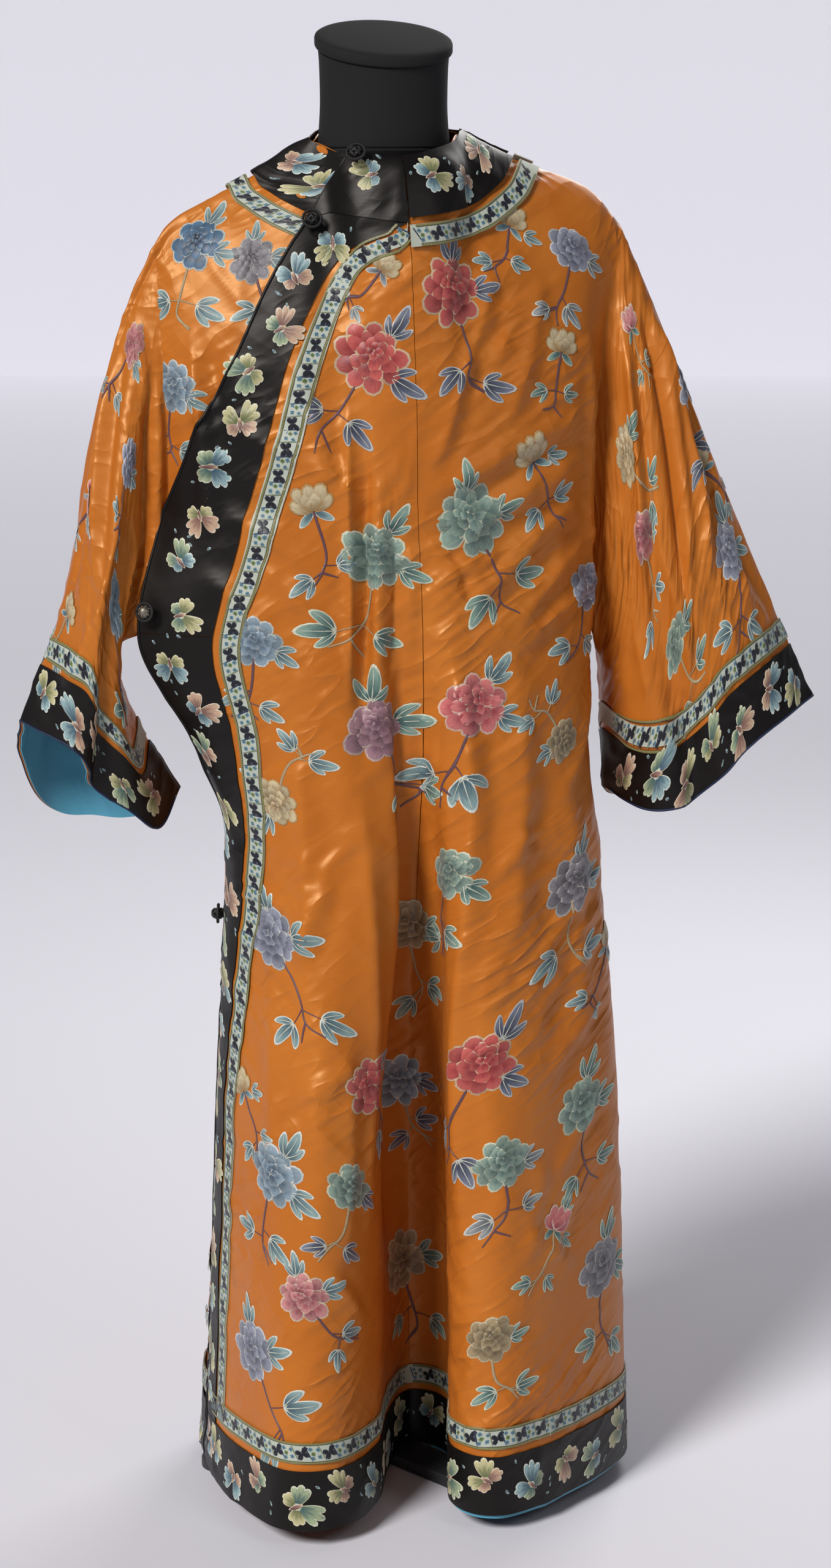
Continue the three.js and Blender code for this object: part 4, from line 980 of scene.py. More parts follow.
@dataclass(frozen=True)
class Thread:
    """Embroidery silk: the points' own colour with fine ribs along the stitches."""
    name: str
    pitch: float = 0.0009
    roughness: float = 0.42

    def make(self) -> bpy.types.Material:
        """Builds the material."""
        n = Nodes(self.name)
        flat = n.flat()
        rib = n.noise(n.stretched(flat, (1 / self.pitch, 90, 1)), 1.0, 1)
        n.set(Base_Color=n.mix(rib * 0.68, n.tint(), srgb("17120d")), Roughness=self.roughness,
              Sheen_Weight=0.15, Specular_IOR_Level=0.35)
        n.bump(rib, 0.5, 0.0003)
        return n.material


@dataclass(frozen=True)
class Plain:
    """A plain finish with a fine grain."""
    name: str
    colour: str
    roughness: float
    metallic: float = 0.0
    grain: float = 900.0
    depth: float = 0.00005
    sheen: float = 0.0

    def make(self) -> bpy.types.Material:
        """Builds the material."""
        n = Nodes(self.name)
        grain = n.noise(n.place(), self.grain, 2)
        n.set(Base_Color=srgb(self.colour), Roughness=self.roughness + 0.1 * grain,
              Metallic=self.metallic,
              Sheen_Weight=self.sheen)
        n.bump(grain, 0.4, self.depth)
        return n.material


class Finish(Enum):
    """Finishes of the pieces, with the record's material slot of each."""
    ORANGE = (Satin("orange_satin", "a35213", "c4762c", 0.34, wrinkle=0.0034), "satin")
    BLACK = (Satin("black_satin", "060505", "100d0c", 0.42, 0.0, "b8b4b0", wrinkle=0.0012),
             "border")
    RIBBON = (Satin("ribbon_ground", "9aa297", "bcc1b2", 0.55, 0.0, "ffffff"), "ribbon")
    LINING = (Satin("turquoise_lining", "3f87a3", "5fb0cb", 0.45, 0.0, "ffffff", wrinkle=0.001),
              "lining")
    PIPING = (Satin("navy_piping", "101a33", "1a2747", 0.45, 0.0, "c0c8d8"), "border")
    STITCH = (Plain("stitch_thread", "8c8358", 0.6, 0.0, 1500.0, 0.0001), "ribbon")
    THREAD = (Thread("embroidery_silk"), "satin")
    CORD = (Plain("black_cord", "100d0d", 0.55, 0.0, 1500.0, 0.0002), "cord")
    METAL = (Plain("silver_ball", "8f887c", 0.38, 1.0, 500.0, 0.0003), "button")
    JERSEY = (Plain("form_jersey", "08080a", 0.85, 0.0, 2200.0, 0.00008), "form")
    STAND = (Plain("stand_paint", "2c2d30", 0.5, 0.0, 700.0, 0.00004), "stand")
    FLOOR = (Plain("floor", "dadae2", 0.85, 0.0, 40.0, 0.00002), None)

    def dress(self, obj: bpy.types.Object) -> bpy.types.Object:
        """Gives an object this finish."""
        made = bpy.data.materials.get(self.value[0].name) or self.value[0].make()
        obj.data.materials.clear()
        obj.data.materials.append(made)
        return obj


# ---------- crease tables --------------------------
CRUMPLE_FRONT, CRUMPLE_BACK, CRUMPLE_SLEEVE = 2.5, 2.3, 2.2  # heights of the small crumples
FRONT_CREASES = (
    Crease(-11, 1000, -10, 170, 28, -19.0, 0), Crease(34, 860, 38, 220, 15, 8.0, 3),
    Crease(-56, 760, -58, 260, 15, 7.0, -3),
    Crease(192, 1190, 188, 800, 13, 11.0, 4), Crease(-200, 1180, -186, 960, 12, 8.0, 4),
    Crease(-20, 1010, -24, 830, 10, -6.0, 3), Crease(20, 1000, 60, 900, 9, -4.0, 4),
    Crease(200, 980, 90, 880, 11, 5.5, -8), Crease(196, 930, 100, 860, 9, 4.0, -5),
    Crease(205, 880, 130, 700, 13, 5.0, 8), Crease(110, 700, 60, 640, 10, 4.0, 4),
    Crease(180, 640, 110, 560, 12, 4.5, 6), Crease(200, 520, 120, 430, 12, 4.5, -6),
    Crease(190, 420, 130, 340, 10, 4.0, 5), Crease(90, 300, 160, 240, 10, 4.0, 4),
    Crease(-90, 660, -130, 560, 11, 4.0, 5), Crease(-70, 480, -130, 440, 10, 3.6, 4),
    Crease(-110, 280, -60, 200, 10, 3.6, 4), Crease(-150, 960, -80, 880, 11, 4.5, 5),
    Crease(-60, 1128, -66, 800, 9, 9.0, 4), Crease(-43, 1070, -50, 740, 9, -8.0),
    Crease(196, 1094, 2, 1010, 13, 6.5, -10), Crease(190, 1050, 20, 962, 14, 6.0, -8),
    Crease(186, 1010, 40, 900, 16, 4.5, -10), Crease(89, 966, 24, 940, 9, 4.0, 4),
    Crease(-180, 1090, -40, 1010, 12, 5.0, 8), Crease(-190, 1010, -70, 930, 14, 5.0, 8),
    Crease(-200, 950, -110, 850, 15, 4.5, 6), Crease(-110, 1180, -66, 1010, 12, 4.0, -6),
    Crease(90, 1240, 40, 1110, 12, 4.0, 5), Crease(140, 1230, 90, 1080, 14, 3.5, 8),
    Crease(60, 1180, 10, 1030, 11, 4.0, 6), Crease(30, 880, 40, 700, 12, 4.5, 4),
    Crease(100, 840, 90, 560, 17, 5.0, -6), Crease(150, 760, 170, 420, 20, 5.0, 8),
    Crease(70, 620, 60, 380, 15, 4.0, -5), Crease(-110, 800, -118, 520, 15, 5.0, 6),
    Crease(-140, 620, -150, 300, 18, 4.5, -6), Crease(-80, 520, -88, 260, 16, 4.0, 5),
    Crease(120, 380, 90, 250, 12, 3.0, 6), Crease(170, 330, 120, 250, 11, 3.0, -5),
    Crease(60, 340, 110, 300, 10, 2.6, 4), Crease(-120, 420, -70, 380, 10, 2.8, -4),
    Crease(150, 560, 110, 500, 12, 3.0, 4), Crease(-60, 700, -100, 640, 11, 3.0, -5),
    Crease(30, 1240, 80, 1190, 9, 2.6, 3), Crease(-20, 1210, -90, 1150, 9, 2.6, 4),
)
BACK_CREASES = (
    Crease(-30, 1180, -60, 860, 14, 5.0, 8), Crease(60, 1160, 90, 820, 15, 4.5, -8),
    Crease(-180, 1090, -60, 990, 14, 5.0, 8), Crease(190, 1090, 70, 990, 14, 5.0, -8),
    Crease(-190, 1000, -90, 900, 15, 4.0, 8), Crease(190, 1000, 100, 900, 15, 4.0, -8),
    Crease(-120, 800, -130, 420, 20, 5.0, 8), Crease(20, 820, 10, 380, 20, 5.0, -8),
    Crease(140, 780, 160, 360, 20, 4.5, 8), Crease(-60, 460, -90, 240, 17, 4.0, 6),
    Crease(80, 420, 60, 200, 17, 4.0, -6),
)
SLEEVE_CREASES = {
    ("right", "front"): (
        Crease(-262, 1180, -300, 930, 14, 9.0, 6), Crease(-240, 1140, -262, 890, 12, -13.0, 4),
        Crease(-286, 1130, -322, 900, 11, -8.0, 4), Crease(-226, 1160, -232, 960, 11, 7.0, 3),
        Crease(-268, 1010, -310, 860, 12, 5.0, -5), Crease(-300, 900, -330, 830, 11, 4.0, 4),
        Crease(-250, 980, -262, 860, 10, 4.0, 3), Crease(-250, 1180, -240, 1080, 10, 4.0, 3)),
    ("right", "back"): (
        Crease(-262, 1160, -300, 930, 15, 5.0, 6), Crease(-244, 1060, -262, 820, 14, 5.0, -6),
        Crease(-290, 920, -300, 780, 14, 4.0, 5)),
    ("left", "front"): (
        Crease(256, 1200, 286, 880, 13, -12.0, 6), Crease(290, 1180, 344, 920, 13, -9.0, 6),
        Crease(268, 1200, 318, 900, 13, 9.0, 6), Crease(238, 1190, 252, 860, 12, 11.0, -6),
        Crease(300, 1060, 370, 860, 14, 5.0, 6), Crease(262, 960, 300, 800, 14, 5.0, 6),
        Crease(330, 940, 392, 860, 12, 4.0, 4), Crease(240, 880, 256, 790, 12, 4.0, 4)),
    ("left", "back"): (
        Crease(262, 1180, 330, 900, 15, 5.0, 6), Crease(240, 1040, 280, 820, 14, 5.0, -6),
        Crease(320, 920, 350, 800, 14, 4.0, 5)),
}


# ---------- the robe's cloth ----------
def inner_front(u: np.ndarray, w: np.ndarray) -> np.ndarray:
    """Point of the inner front, tucked under the outer one."""
    u, w = np.broadcast_arrays(np.asarray(u, float), np.asarray(w, float))
    sunk = UNDERLAP * np.maximum(smooth(w / 0.12), smooth((u - NECK_R) / 0.5))
    return front(u, w) - front_normal(u, np.maximum(w, 0.02)) * sunk[..., None]


@dataclass
class RobeMaps:
    """Fine maps of every stretch of the robe's cloth."""
    front: ClothMap = None
    inner: ClothMap = None
    back: ClothMap = None
    sleeves: dict = field(default_factory=dict)

    @classmethod
    def make(cls) -> "RobeMaps":
        """Measures all stretches."""
        us = np.linspace(0, LAST, 421)
        ws = np.concatenate([np.linspace(0, 1, 150, endpoint=False), np.linspace(1, 2, 361)])
        maps = cls()
        maps.front = ClothMap("front", front, us, ws, (0, -1, 0), FRONT_CREASES, CRUMPLE_FRONT, 11,
                              origin=(0.54, 0.3))
        maps.inner = ClothMap("inner", inner_front, np.linspace(0, CENTRE, 226), ws, (0, -1, 0),
                              FRONT_CREASES,
                              CRUMPLE_FRONT, 11, origin=(0.99, 0.3))
        maps.back = ClothMap("back", back, us, ws, (0, 1, 0), BACK_CREASES, CRUMPLE_BACK, 23,
                             origin=(0.54, 0.3))
        lines = np.linspace(0, 1, 151)
        for name, cut in SLEEVES.items():
            for face in ("front", "back"):
                def surface(s: np.ndarray, t: np.ndarray, cut: SleeveCut = cut,
                            face: str = face) -> np.ndarray:
                    """Point of this face of the sleeve."""
                    return sleeve_point(cut, t, s, face)
                maps.sleeves[name, face] = ClothMap(
                    f"sleeve_{name}_{face}", surface, lines, np.linspace(0, 1, 261),
                    (0, -1 if face == "front" else 1, 0), SLEEVE_CREASES[name, face],
                    CRUMPLE_SLEEVE, 31)
        return maps


@dataclass
class Robe:
    """The robe's cloth pieces: bodies, outer front, sleeves and their trims."""
    maps: RobeMaps
    cell: float = 4.9
    wall: float = 1.1
    trim_wall: float = 1.0
    slit_z: float = 590.0
    pieces: dict = field(default_factory=dict)

    def rows(self) -> np.ndarray:
        """Falls of the rows of all body pieces."""
        arm = np.linspace(1, UNDERARM_W, int((CHEST_Z - UNDERARM_Z) / self.cell))
        low = np.linspace(UNDERARM_W, 2, int((UNDERARM_Z - HEM_Z) / self.cell))
        return np.concatenate([np.linspace(0, 1, 74, endpoint=False), arm[:-1], low])

    def seam_shift(self, p: np.ndarray, surface: Surface, w: np.ndarray, station: float, edge: int,
                   open_from: float) -> np.ndarray:
        """Draws an edge column back from its seam where the side is open."""
        last = 0 if edge > 0 else -1
        u = np.full_like(w, station)
        ahead = unit(surface(u + edge * 0.05, w) - surface(u, w)) * (SEAM / 2 + EDGE_TURN)
        p[:, last] += ahead * (w > open_from)[:, None]
        return p

    def right_body(self) -> bpy.types.Object:
        """Inner front, right back and the right sleeve's cap."""
        ws = self.rows()
        us = np.linspace(0, LAST_INNER, 53)
        reach = np.maximum(INNER_REACH, np.minimum(INNER_TOP, closing_station(ws) + 0.9))
        stations = us[None, :] * (reach / INNER_TOP)[:, None]
        w = np.broadcast_to(ws[:, None], stations.shape)
        inner = self.seam_shift(inner_front(stations, w), front, ws, 0, 1, fall_of(self.slit_z))
        covered = smooth((stations - closing_station(ws)[:, None]) / COVER_BLEND) * smooth(w / 0.25)
        inner -= front_normal(stations,
                              np.maximum(w, 0.02)) * (UNDERLAP_LOW - UNDERLAP) * covered[..., None]
        ub = np.concatenate([us, np.linspace(LAST_INNER, CENTRE, 10)[1:]])
        stations_b = np.broadcast_to(ub[None, :], (len(ws), len(ub)))
        wb = np.broadcast_to(ws[:, None], stations_b.shape)
        behind = self.seam_shift(back(stations_b, wb), back, ws, 0, 1, fall_of(self.slit_z))
        behind = self.seam_shift(behind, back, ws, CENTRE, -1, -1)
        near = np.exp(-stations_b * 1.2) * UNDERLAP * smooth(wb / 0.12)
        lean = front_normal(np.zeros_like(ws), np.maximum(ws, 0.02))
        behind -= lean[:, None, :] * near[..., None]
        cloth = Cloth()
        cloth.add(inner, self.maps.inner.flat(stations, w), True,
                  self.maps.inner.height(stations, w))
        cloth.add(behind, self.maps.back.flat(stations_b, wb), False,
                  self.maps.back.height(stations_b, wb))
        self.add_cap(cloth, "right", inner[:, 0], behind[:, 0], ws)
        return self.keep(cloth.build("robe_right_body", self.wall), Finish.ORANGE, "right_body")

    def left_body(self) -> bpy.types.Object:
        """Left front, left back and the left sleeve's cap."""
        ws = self.rows()
        us = np.linspace(CENTRE, LAST, 73)
        stations = np.broadcast_to(us[None, :], (len(ws), len(us)))
        w = np.broadcast_to(ws[:, None], stations.shape)
        before = front(stations, w)
        turn = np.full_like(ws, SEAM)
        middle = np.full_like(ws, CENTRE)
        before[:, 0] += unit(front(middle + 0.05, ws) - front(middle, ws)) * turn[:, None]
        behind = self.seam_shift(back(stations, w), back, ws, CENTRE, 1, -1)
        cloth = Cloth()
        cloth.add(before, self.maps.front.flat(stations, w), True,
                  self.maps.front.height(stations, w))
        cloth.add(behind, self.maps.back.flat(stations, w), False,
                  self.maps.back.height(stations, w))
        self.add_cap(cloth, "left", before[:, -1], behind[:, -1], ws)
        return self.keep(cloth.build("robe_left_body", self.wall), Finish.ORANGE, "left_body")

    def add_cap(self, cloth: Cloth, name: str, front_edge: np.ndarray, back_edge: np.ndarray,
                ws: np.ndarray) -> None:
        """Adds the stretch between an armhole and the sleeve seam."""
        cut = SLEEVES[name]
        arm = ws <= UNDERARM_W + 1e-9
        s = ws[arm] / UNDERARM_W
        t = np.linspace(0, SLEEVE_SEAM, 17)
        for face, edge in (("front", front_edge), ("back", back_edge)):
            tt, ss = np.meshgrid(t, s, indexing="ij")
            grid = sleeve_point(cut, tt, ss, face)
            grid[0] = edge[arm]
            chart = self.maps.sleeves[name, face]
            flip = (face == "front") == (cut.sign < 0)
            cloth.add(grid, chart.flat(ss, tt), flip, chart.height(ss, tt))

    def front_overlap(self) -> bpy.types.Object:
        """The outer front, from the slanting closing to the centre seam."""
        ws = self.rows()
        grid_u = np.linspace(0, 1, 106)
        start = closing_station(ws)
        stations = start[:, None] + (CENTRE - start)[:, None] * grid_u[None, :]
        w = np.broadcast_to(ws[:, None], stations.shape)
        points = front(stations, w)
        turn = np.full_like(ws, SEAM)
        middle = np.full_like(ws, CENTRE)
        points[:, -1] += unit(front(middle - 0.05, ws) - front(middle, ws)) * turn[:, None]
        cloth = Cloth().add(points, self.maps.front.flat(stations, w), True,
                            self.maps.front.height(stations, w))
        return self.keep(cloth.build("robe_front_overlap", self.wall), Finish.ORANGE,
                         "front_overlap")

    def sleeve_lines(self, name: str, face: str, s: np.ndarray,
                     distances: Sequence[float]) -> np.ndarray:
        """Sleeve parameters of lines a length short of the cuff."""
        cut = SLEEVES[name]
        start = SLEEVE_SEAM + SLEEVE_GAP + cut.under_seam * smooth((s - 0.5) / 0.3)
        return np.stack([np.maximum(from_cuff(cut, s, face, d), start + 0.03) for d in distances])

    def sleeve_cloth(self, name: str, distances: Sequence[float] | None, rows: int) -> Cloth:
        """Grids of a sleeve, or of a stretch of it near the cuff.

        Args:
            name: right or left.
            distances: lengths above the cuff of the stretch's edges, or None for all of the sleeve.
            rows: number of rows along the sleeve.
        Returns:
            Cloth with the front and the back.
        """
        cut, cloth = SLEEVES[name], Cloth()
        s = self.rows()[self.rows() <= UNDERARM_W + 1e-9] / UNDERARM_W
        for face in ("front", "back"):
            if distances is None:
                first = np.full_like(s, SLEEVE_SEAM + 0.001)
                last = np.ones_like(s)
            else:
                first, last = self.sleeve_lines(name, face, s, distances)
            share = np.linspace(0, 1, rows)[:, None]
            t = first[None, :] + (last - first)[None, :] * share
            ss = np.broadcast_to(s[None, :], t.shape)
            chart = self.maps.sleeves[name, face]
            flip = (face == "front") == (cut.sign < 0)
            cloth.add(sleeve_point(cut, t, ss, face), chart.flat(ss, t), flip, chart.height(ss, t))
        return cloth

    def sleeves(self) -> None:
        """Both sleeves with their cuffs."""
        for name in SLEEVES:
            sleeve = self.sleeve_cloth(name, None, 72).build(f"robe_sleeve_{name}", self.wall)
            self.keep(sleeve, Finish.ORANGE, f"sleeve_{name}")
            for piece, distances, rows, finish, shift in (
                    ("cuff_band", (BAND_WIDTH, 0), 13, Finish.BLACK, OVER),
                    ("cuff_ribbon", (RIBBON_TOP, RIBBON_FOOT), 6, Finish.RIBBON, OVER),
                    ("cuff_lining", (RIBBON_TOP, 0), 15, Finish.LINING, -OVER)):
                made = self.sleeve_cloth(name, distances, rows).build(f"{piece}_{name}_cloth",
                                                                      self.trim_wall, shift)
                self.keep(made, finish, f"{piece}_{name}")

    def strip(self, name: str, node: str, ws: np.ndarray, left: np.ndarray, right: np.ndarray,
              columns: int,
              finish: Finish, shift: float = OVER, chart: ClothMap | None = None,
              drop: float = 0.0) -> bpy.types.Object:
        """A trim between two lines of stations on a map.

        Args:
            name, node: the object's name and the node it stands for.
            ws: falls of the rows.
            left, right: stations of its two edges at each row.
            columns: number of columns.
            finish: its finish.
            shift: distance out from the cloth's middle.
            chart: the map, the front's if None.
            drop: how far the last row hangs below.
        Returns:
            The new object.
        """
        chart = chart or self.maps.front
        surface = front if chart is self.maps.front else back
        share = np.linspace(0, 1, columns)[None, :]
        stations = left[:, None] + (right - left)[:, None] * share
        w = np.broadcast_to(ws[:, None], stations.shape)
        points = surface(stations, w)
        if drop:
            points[-1, :, 2] -= drop
        cloth = Cloth().add(points, chart.flat(stations, w), surface is front,
                            chart.height(stations, w))
        return self.keep(cloth.build(name, self.trim_wall, shift), finish, node)

    def trims(self) -> None:
        """Borders, ribbons and the strip of lining on the body."""
        rows = self.rows()
        hem = [fall_of(HEM_Z + d) for d in (RIBBON_TOP, RIBBON_FOOT, BAND_WIDTH, 0)]
        yoke_line = YOKE_ROW + YOKE_SEAM
        for part, low, high in (("placket", yoke_line, UNDERARM_W - 0.0006),
                                ("side", UNDERARM_W, hem[2])):
            end = {"band": high, "ribbon": min(high, hem[0])}
            for kind in ("band", "ribbon"):
                inside = rows[(rows > low + 0.002) & (rows < end[kind] - 0.001)]
                ws = np.concatenate([[low], inside, [end[kind]]])
                lines = BorderLines.at(ws)
                edges = (lines.start, lines.inner) if kind == "band" else (lines.ribbon_outer,
                                                                           lines.ribbon_inner)
                self.strip(f"{part}_{kind}_cloth", f"{part}_{kind}", ws, *edges,
                           14 if kind == "band" else 6,
                           Finish.BLACK if kind == "band" else Finish.RIBBON)
        for kind, ws, finish in (("band", np.linspace(hem[2] + 0.0006, hem[3], 13), Finish.BLACK),
                                 ("ribbon", np.linspace(hem[0] + 0.0006, hem[1], 6),
                                  Finish.RIBBON)):
            lines = BorderLines.at(ws)
            first = np.zeros_like(ws) if kind == "band" else lines.ribbon_outer
            ends = {"overlap": (first, np.full_like(ws, CENTRE - 0.004), 120, self.maps.front),
                    "left": (np.full_like(ws, CENTRE + 0.004), np.full_like(ws, LAST), 90,
                             self.maps.front),
                    "back_right": (np.full_like(ws, 0.02), np.full_like(ws, CENTRE - 0.03), 60,
                                   self.maps.back),
                    "back_left": (np.full_like(ws, CENTRE + 0.03), np.full_like(ws, LAST - 0.02),
                                  60,
                                  self.maps.back)}
            for where, (left, right, columns, chart) in ends.items():
                self.strip(f"hem_{kind}_{where}_cloth", f"hem_{kind}_{where}", ws, left, right,
                           columns, finish,
                           chart=chart)
        ws = np.linspace(fall_of(HEM_Z + HEM_LINING_HEIGHT), 2, 8)
        self.strip("hem_lining_left_cloth", "hem_lining_left", ws, np.full_like(ws, CENTRE + 0.5),
                   np.full_like(ws, LAST), 90, Finish.LINING, -OVER, drop=HEM_LINING_DROP)

    def keep(self, obj: bpy.types.Object, finish: Finish, node: str) -> bpy.types.Object:
        """Dresses a cloth piece, lets it stand for its node and remembers it."""
        finish.dress(obj)
        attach(obj, "root")
        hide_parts(node)
        self.pieces[node] = obj
        return obj


LAST_INNER = 6.0


# ---------- yoke round the neck ----------
@dataclass
class Yoke:
    """Black yoke and its ribbon round the neck, laid over the robe."""
    robe: Robe
    band: tuple = (1.5, YOKE_WIDTH * 0.33, YOKE_WIDTH * 0.67, YOKE_WIDTH)
    ribbon: tuple = (YOKE_WIDTH + BAND_GAP, YOKE_WIDTH + BAND_GAP + RIBBON_WIDTH / 2,
                     YOKE_WIDTH + BAND_GAP + RIBBON_WIDTH)
    right: tuple = (5, 5.12, 5.26, 5.42, 5.6)
    under: tuple = (5.8, 6.0, 6.2)
    behind: tuple = (5.75, 5.9, 6.08, 6.3, 6.6, 7, 7.5)
    left: tuple = (8, 8.3, 8.55, 8.74, 8.88)
    maps: dict = field(default_factory=dict)

    def along_fold(self, start: float, distance: float) -> float:
        """Station reached along the shoulder fold away from the neck."""
        u = np.linspace(start, start + (-4 if start <= NECK_R else 4), 401)
        p = top_point(u, False)
        run = np.concatenate([[0], np.cumsum(np.linalg.norm(np.diff(p, axis=0), axis=1))])
        return float(np.interp(distance, run, u))

    def walk(self, surface: Surface, u: float, heading: np.ndarray,
             distance: float) -> tuple[float, float]:
        """Goes a distance over a surface from the neck edge along a heading."""
        steps = max(1, math.ceil(distance / 4))
        at, e, ahead = [u, 0.0], 0.004, unit(heading)
        for _ in range(steps):
            eu = -e if at[0] + e > LAST else e
            trio = surface(np.array([at[0], at[0] + eu, at[0]]),
                           np.array([at[1], at[1], at[1] + e]))
            pu, pw = (trio[1] - trio[0]) / eu, (trio[2] - trio[0]) / e
            uu, ww, uw = pu @ pu, pw @ pw, pu @ pw
            det = uu * ww - uw * uw
            du = (ww * (pu @ ahead) - uw * (pw @ ahead)) / det
            dw = (uu * (pw @ ahead) - uw * (pu @ ahead)) / det
            actual = pu * du + pw * dw
            scale = distance / steps / max(float(np.linalg.norm(actual)), 1e-9)
            at = [min(max(at[0] + du * scale, 0), LAST - 0.005), min(max(at[1] + dw * scale, 0), 2)]
            ahead = unit(actual)
        return at[0], at[1]

    def ring(self, face: str, stations: Sequence[float], distances: Sequence[float]) -> np.ndarray:
        """Rows of points, a row for each station and a column for each distance from the neck."""
        surface, outward = (front, front_normal) if face == "front" else (back, back_normal)
        rows = []
        for u in stations:
            p = surface(np.array(float(u)), np.array(0.0))
            row = []
            for d in distances:
                wide = min(max((NECK_L - u) / (NECK_L - NECK_R), 0),
                           1) if d > YOKE_WIDTH * 0.5 else 0
                far = d + YOKE_EXTRA * wide
                if u <= NECK_R + 1e-6 or u >= NECK_L - 1e-6:
                    q = top_point(np.array(self.along_fold(round(u), far)), False)
                    row.append(q + np.array([0, 0, CHEST_LIFT]))
                    continue
                a, b = self.walk(surface, u, np.array((p[0] * 1.15, p[1] * 0.9, -22), float), far)
                lift = CHEST_LIFT
                if face == "front" and u < CENTRE:
                    tucked = float(np.maximum(smooth(np.array(b / 0.12)),
                                              smooth(np.array((u - NECK_R) / 0.5))))
                    lift += tucked * (OVER - CHEST_LIFT - UNDERLAP)
                row.append(surface(np.array(a), np.array(b))
                           + outward(np.array(a), np.array(max(b, 0.02))) * lift)
            rows.append(row)
        return np.array(rows)

    def chart(self, name: str, coarse: np.ndarray, crumple: float,
              cells: tuple[int, int]) -> ClothMap:
        """Fine map of a ring stretch: u runs round the neck, w away from it."""
        a, b = coarse.shape[:2]
        run = np.linalg.norm(np.diff(coarse.mean(1), axis=0), axis=1)
        knots = np.concatenate([[0], np.cumsum(run)])
        even = np.interp(np.linspace(0, knots[-1], cells[0]), knots, np.arange(a))
        lines = np.stack([curve_across(coarse[:, k], even) for k in range(b)], 1)
        share = np.linspace(0, b - 1, cells[1])
        grid = np.stack([curve_across(lines[k], share) for k in range(len(lines))], 0)
        us, ws = np.arange(cells[0], dtype=float), np.arange(cells[1], dtype=float)
        table = np.swapaxes(grid, 0, 1)

        def surface(u: np.ndarray, w: np.ndarray) -> np.ndarray:
            """Point of the ring's own fine grid."""
            i, j = np.clip(np.floor(u).astype(int), 0,
                           cells[0] - 2), np.clip(np.floor(w).astype(int), 0, cells[1] - 2)
            s, t = (u - i)[..., None], (w - j)[..., None]
            return ((table[j, i] * (1 - s) + table[j, i + 1] * s) * (1 - t)
                    + (table[j + 1, i] * (1 - s) + table[j + 1, i + 1] * s) * t)
        made = ClothMap(name, surface, us, ws, (0, 0, 1), (), crumple, 77)
        self.maps[name] = made
        return made

    def lay(self, name: str, node: str, chart: ClothMap, finish: Finish) -> None:
        """Makes the piece of a ring map."""
        u, w = np.meshgrid(chart.us, chart.ws)
        cloth = Cloth().add(chart.surface(u, w), chart.flat(u, w), chart.side < 0,
                            chart.height(u, w))
        self.robe.keep(cloth.build(name, self.robe.trim_wall), finish, node)

    def build(self) -> None:
        """Makes yoke, ribbon and the yoke's stretch on the outer front."""
        front_round = (CENTRE + 0.004, 7.35, 7.7, *self.left, NECK_L - 0.01)
        for kind, distances, finish in (("yoke", self.band, Finish.BLACK),
                                        ("yoke_ribbon", self.ribbon, Finish.RIBBON)):
            lead = self.ring("front", (*self.right, *self.under), distances)[::-1]
            rest = self.ring("back", (*self.right, *self.behind, *self.left, NECK_L), distances)
            coarse = np.concatenate([lead[:-1], rest])
            cells = (150, 14) if kind == "yoke" else (150, 6)
            self.lay(f"{kind}_back_cloth", f"{kind}_back",
                     self.chart(f"{kind}_back", coarse, 0.9, cells), finish)
            coarse = self.ring("front", front_round, distances)
            cells = (54, 14) if kind == "yoke" else (54, 6)
            self.lay(f"{kind}_front_cloth", f"{kind}_front",
                     self.chart(f"{kind}_front", coarse, 0.9, cells), finish)
        ws = np.linspace(0, YOKE_ROW + YOKE_LAP, 30)
        left, right = closing_station(ws), np.full_like(ws, CENTRE - 0.005)
        self.robe.strip("yoke_overlap_cloth", "yoke_overlap", ws, left, right, 24, Finish.BLACK,
                        OVER + 1.2)


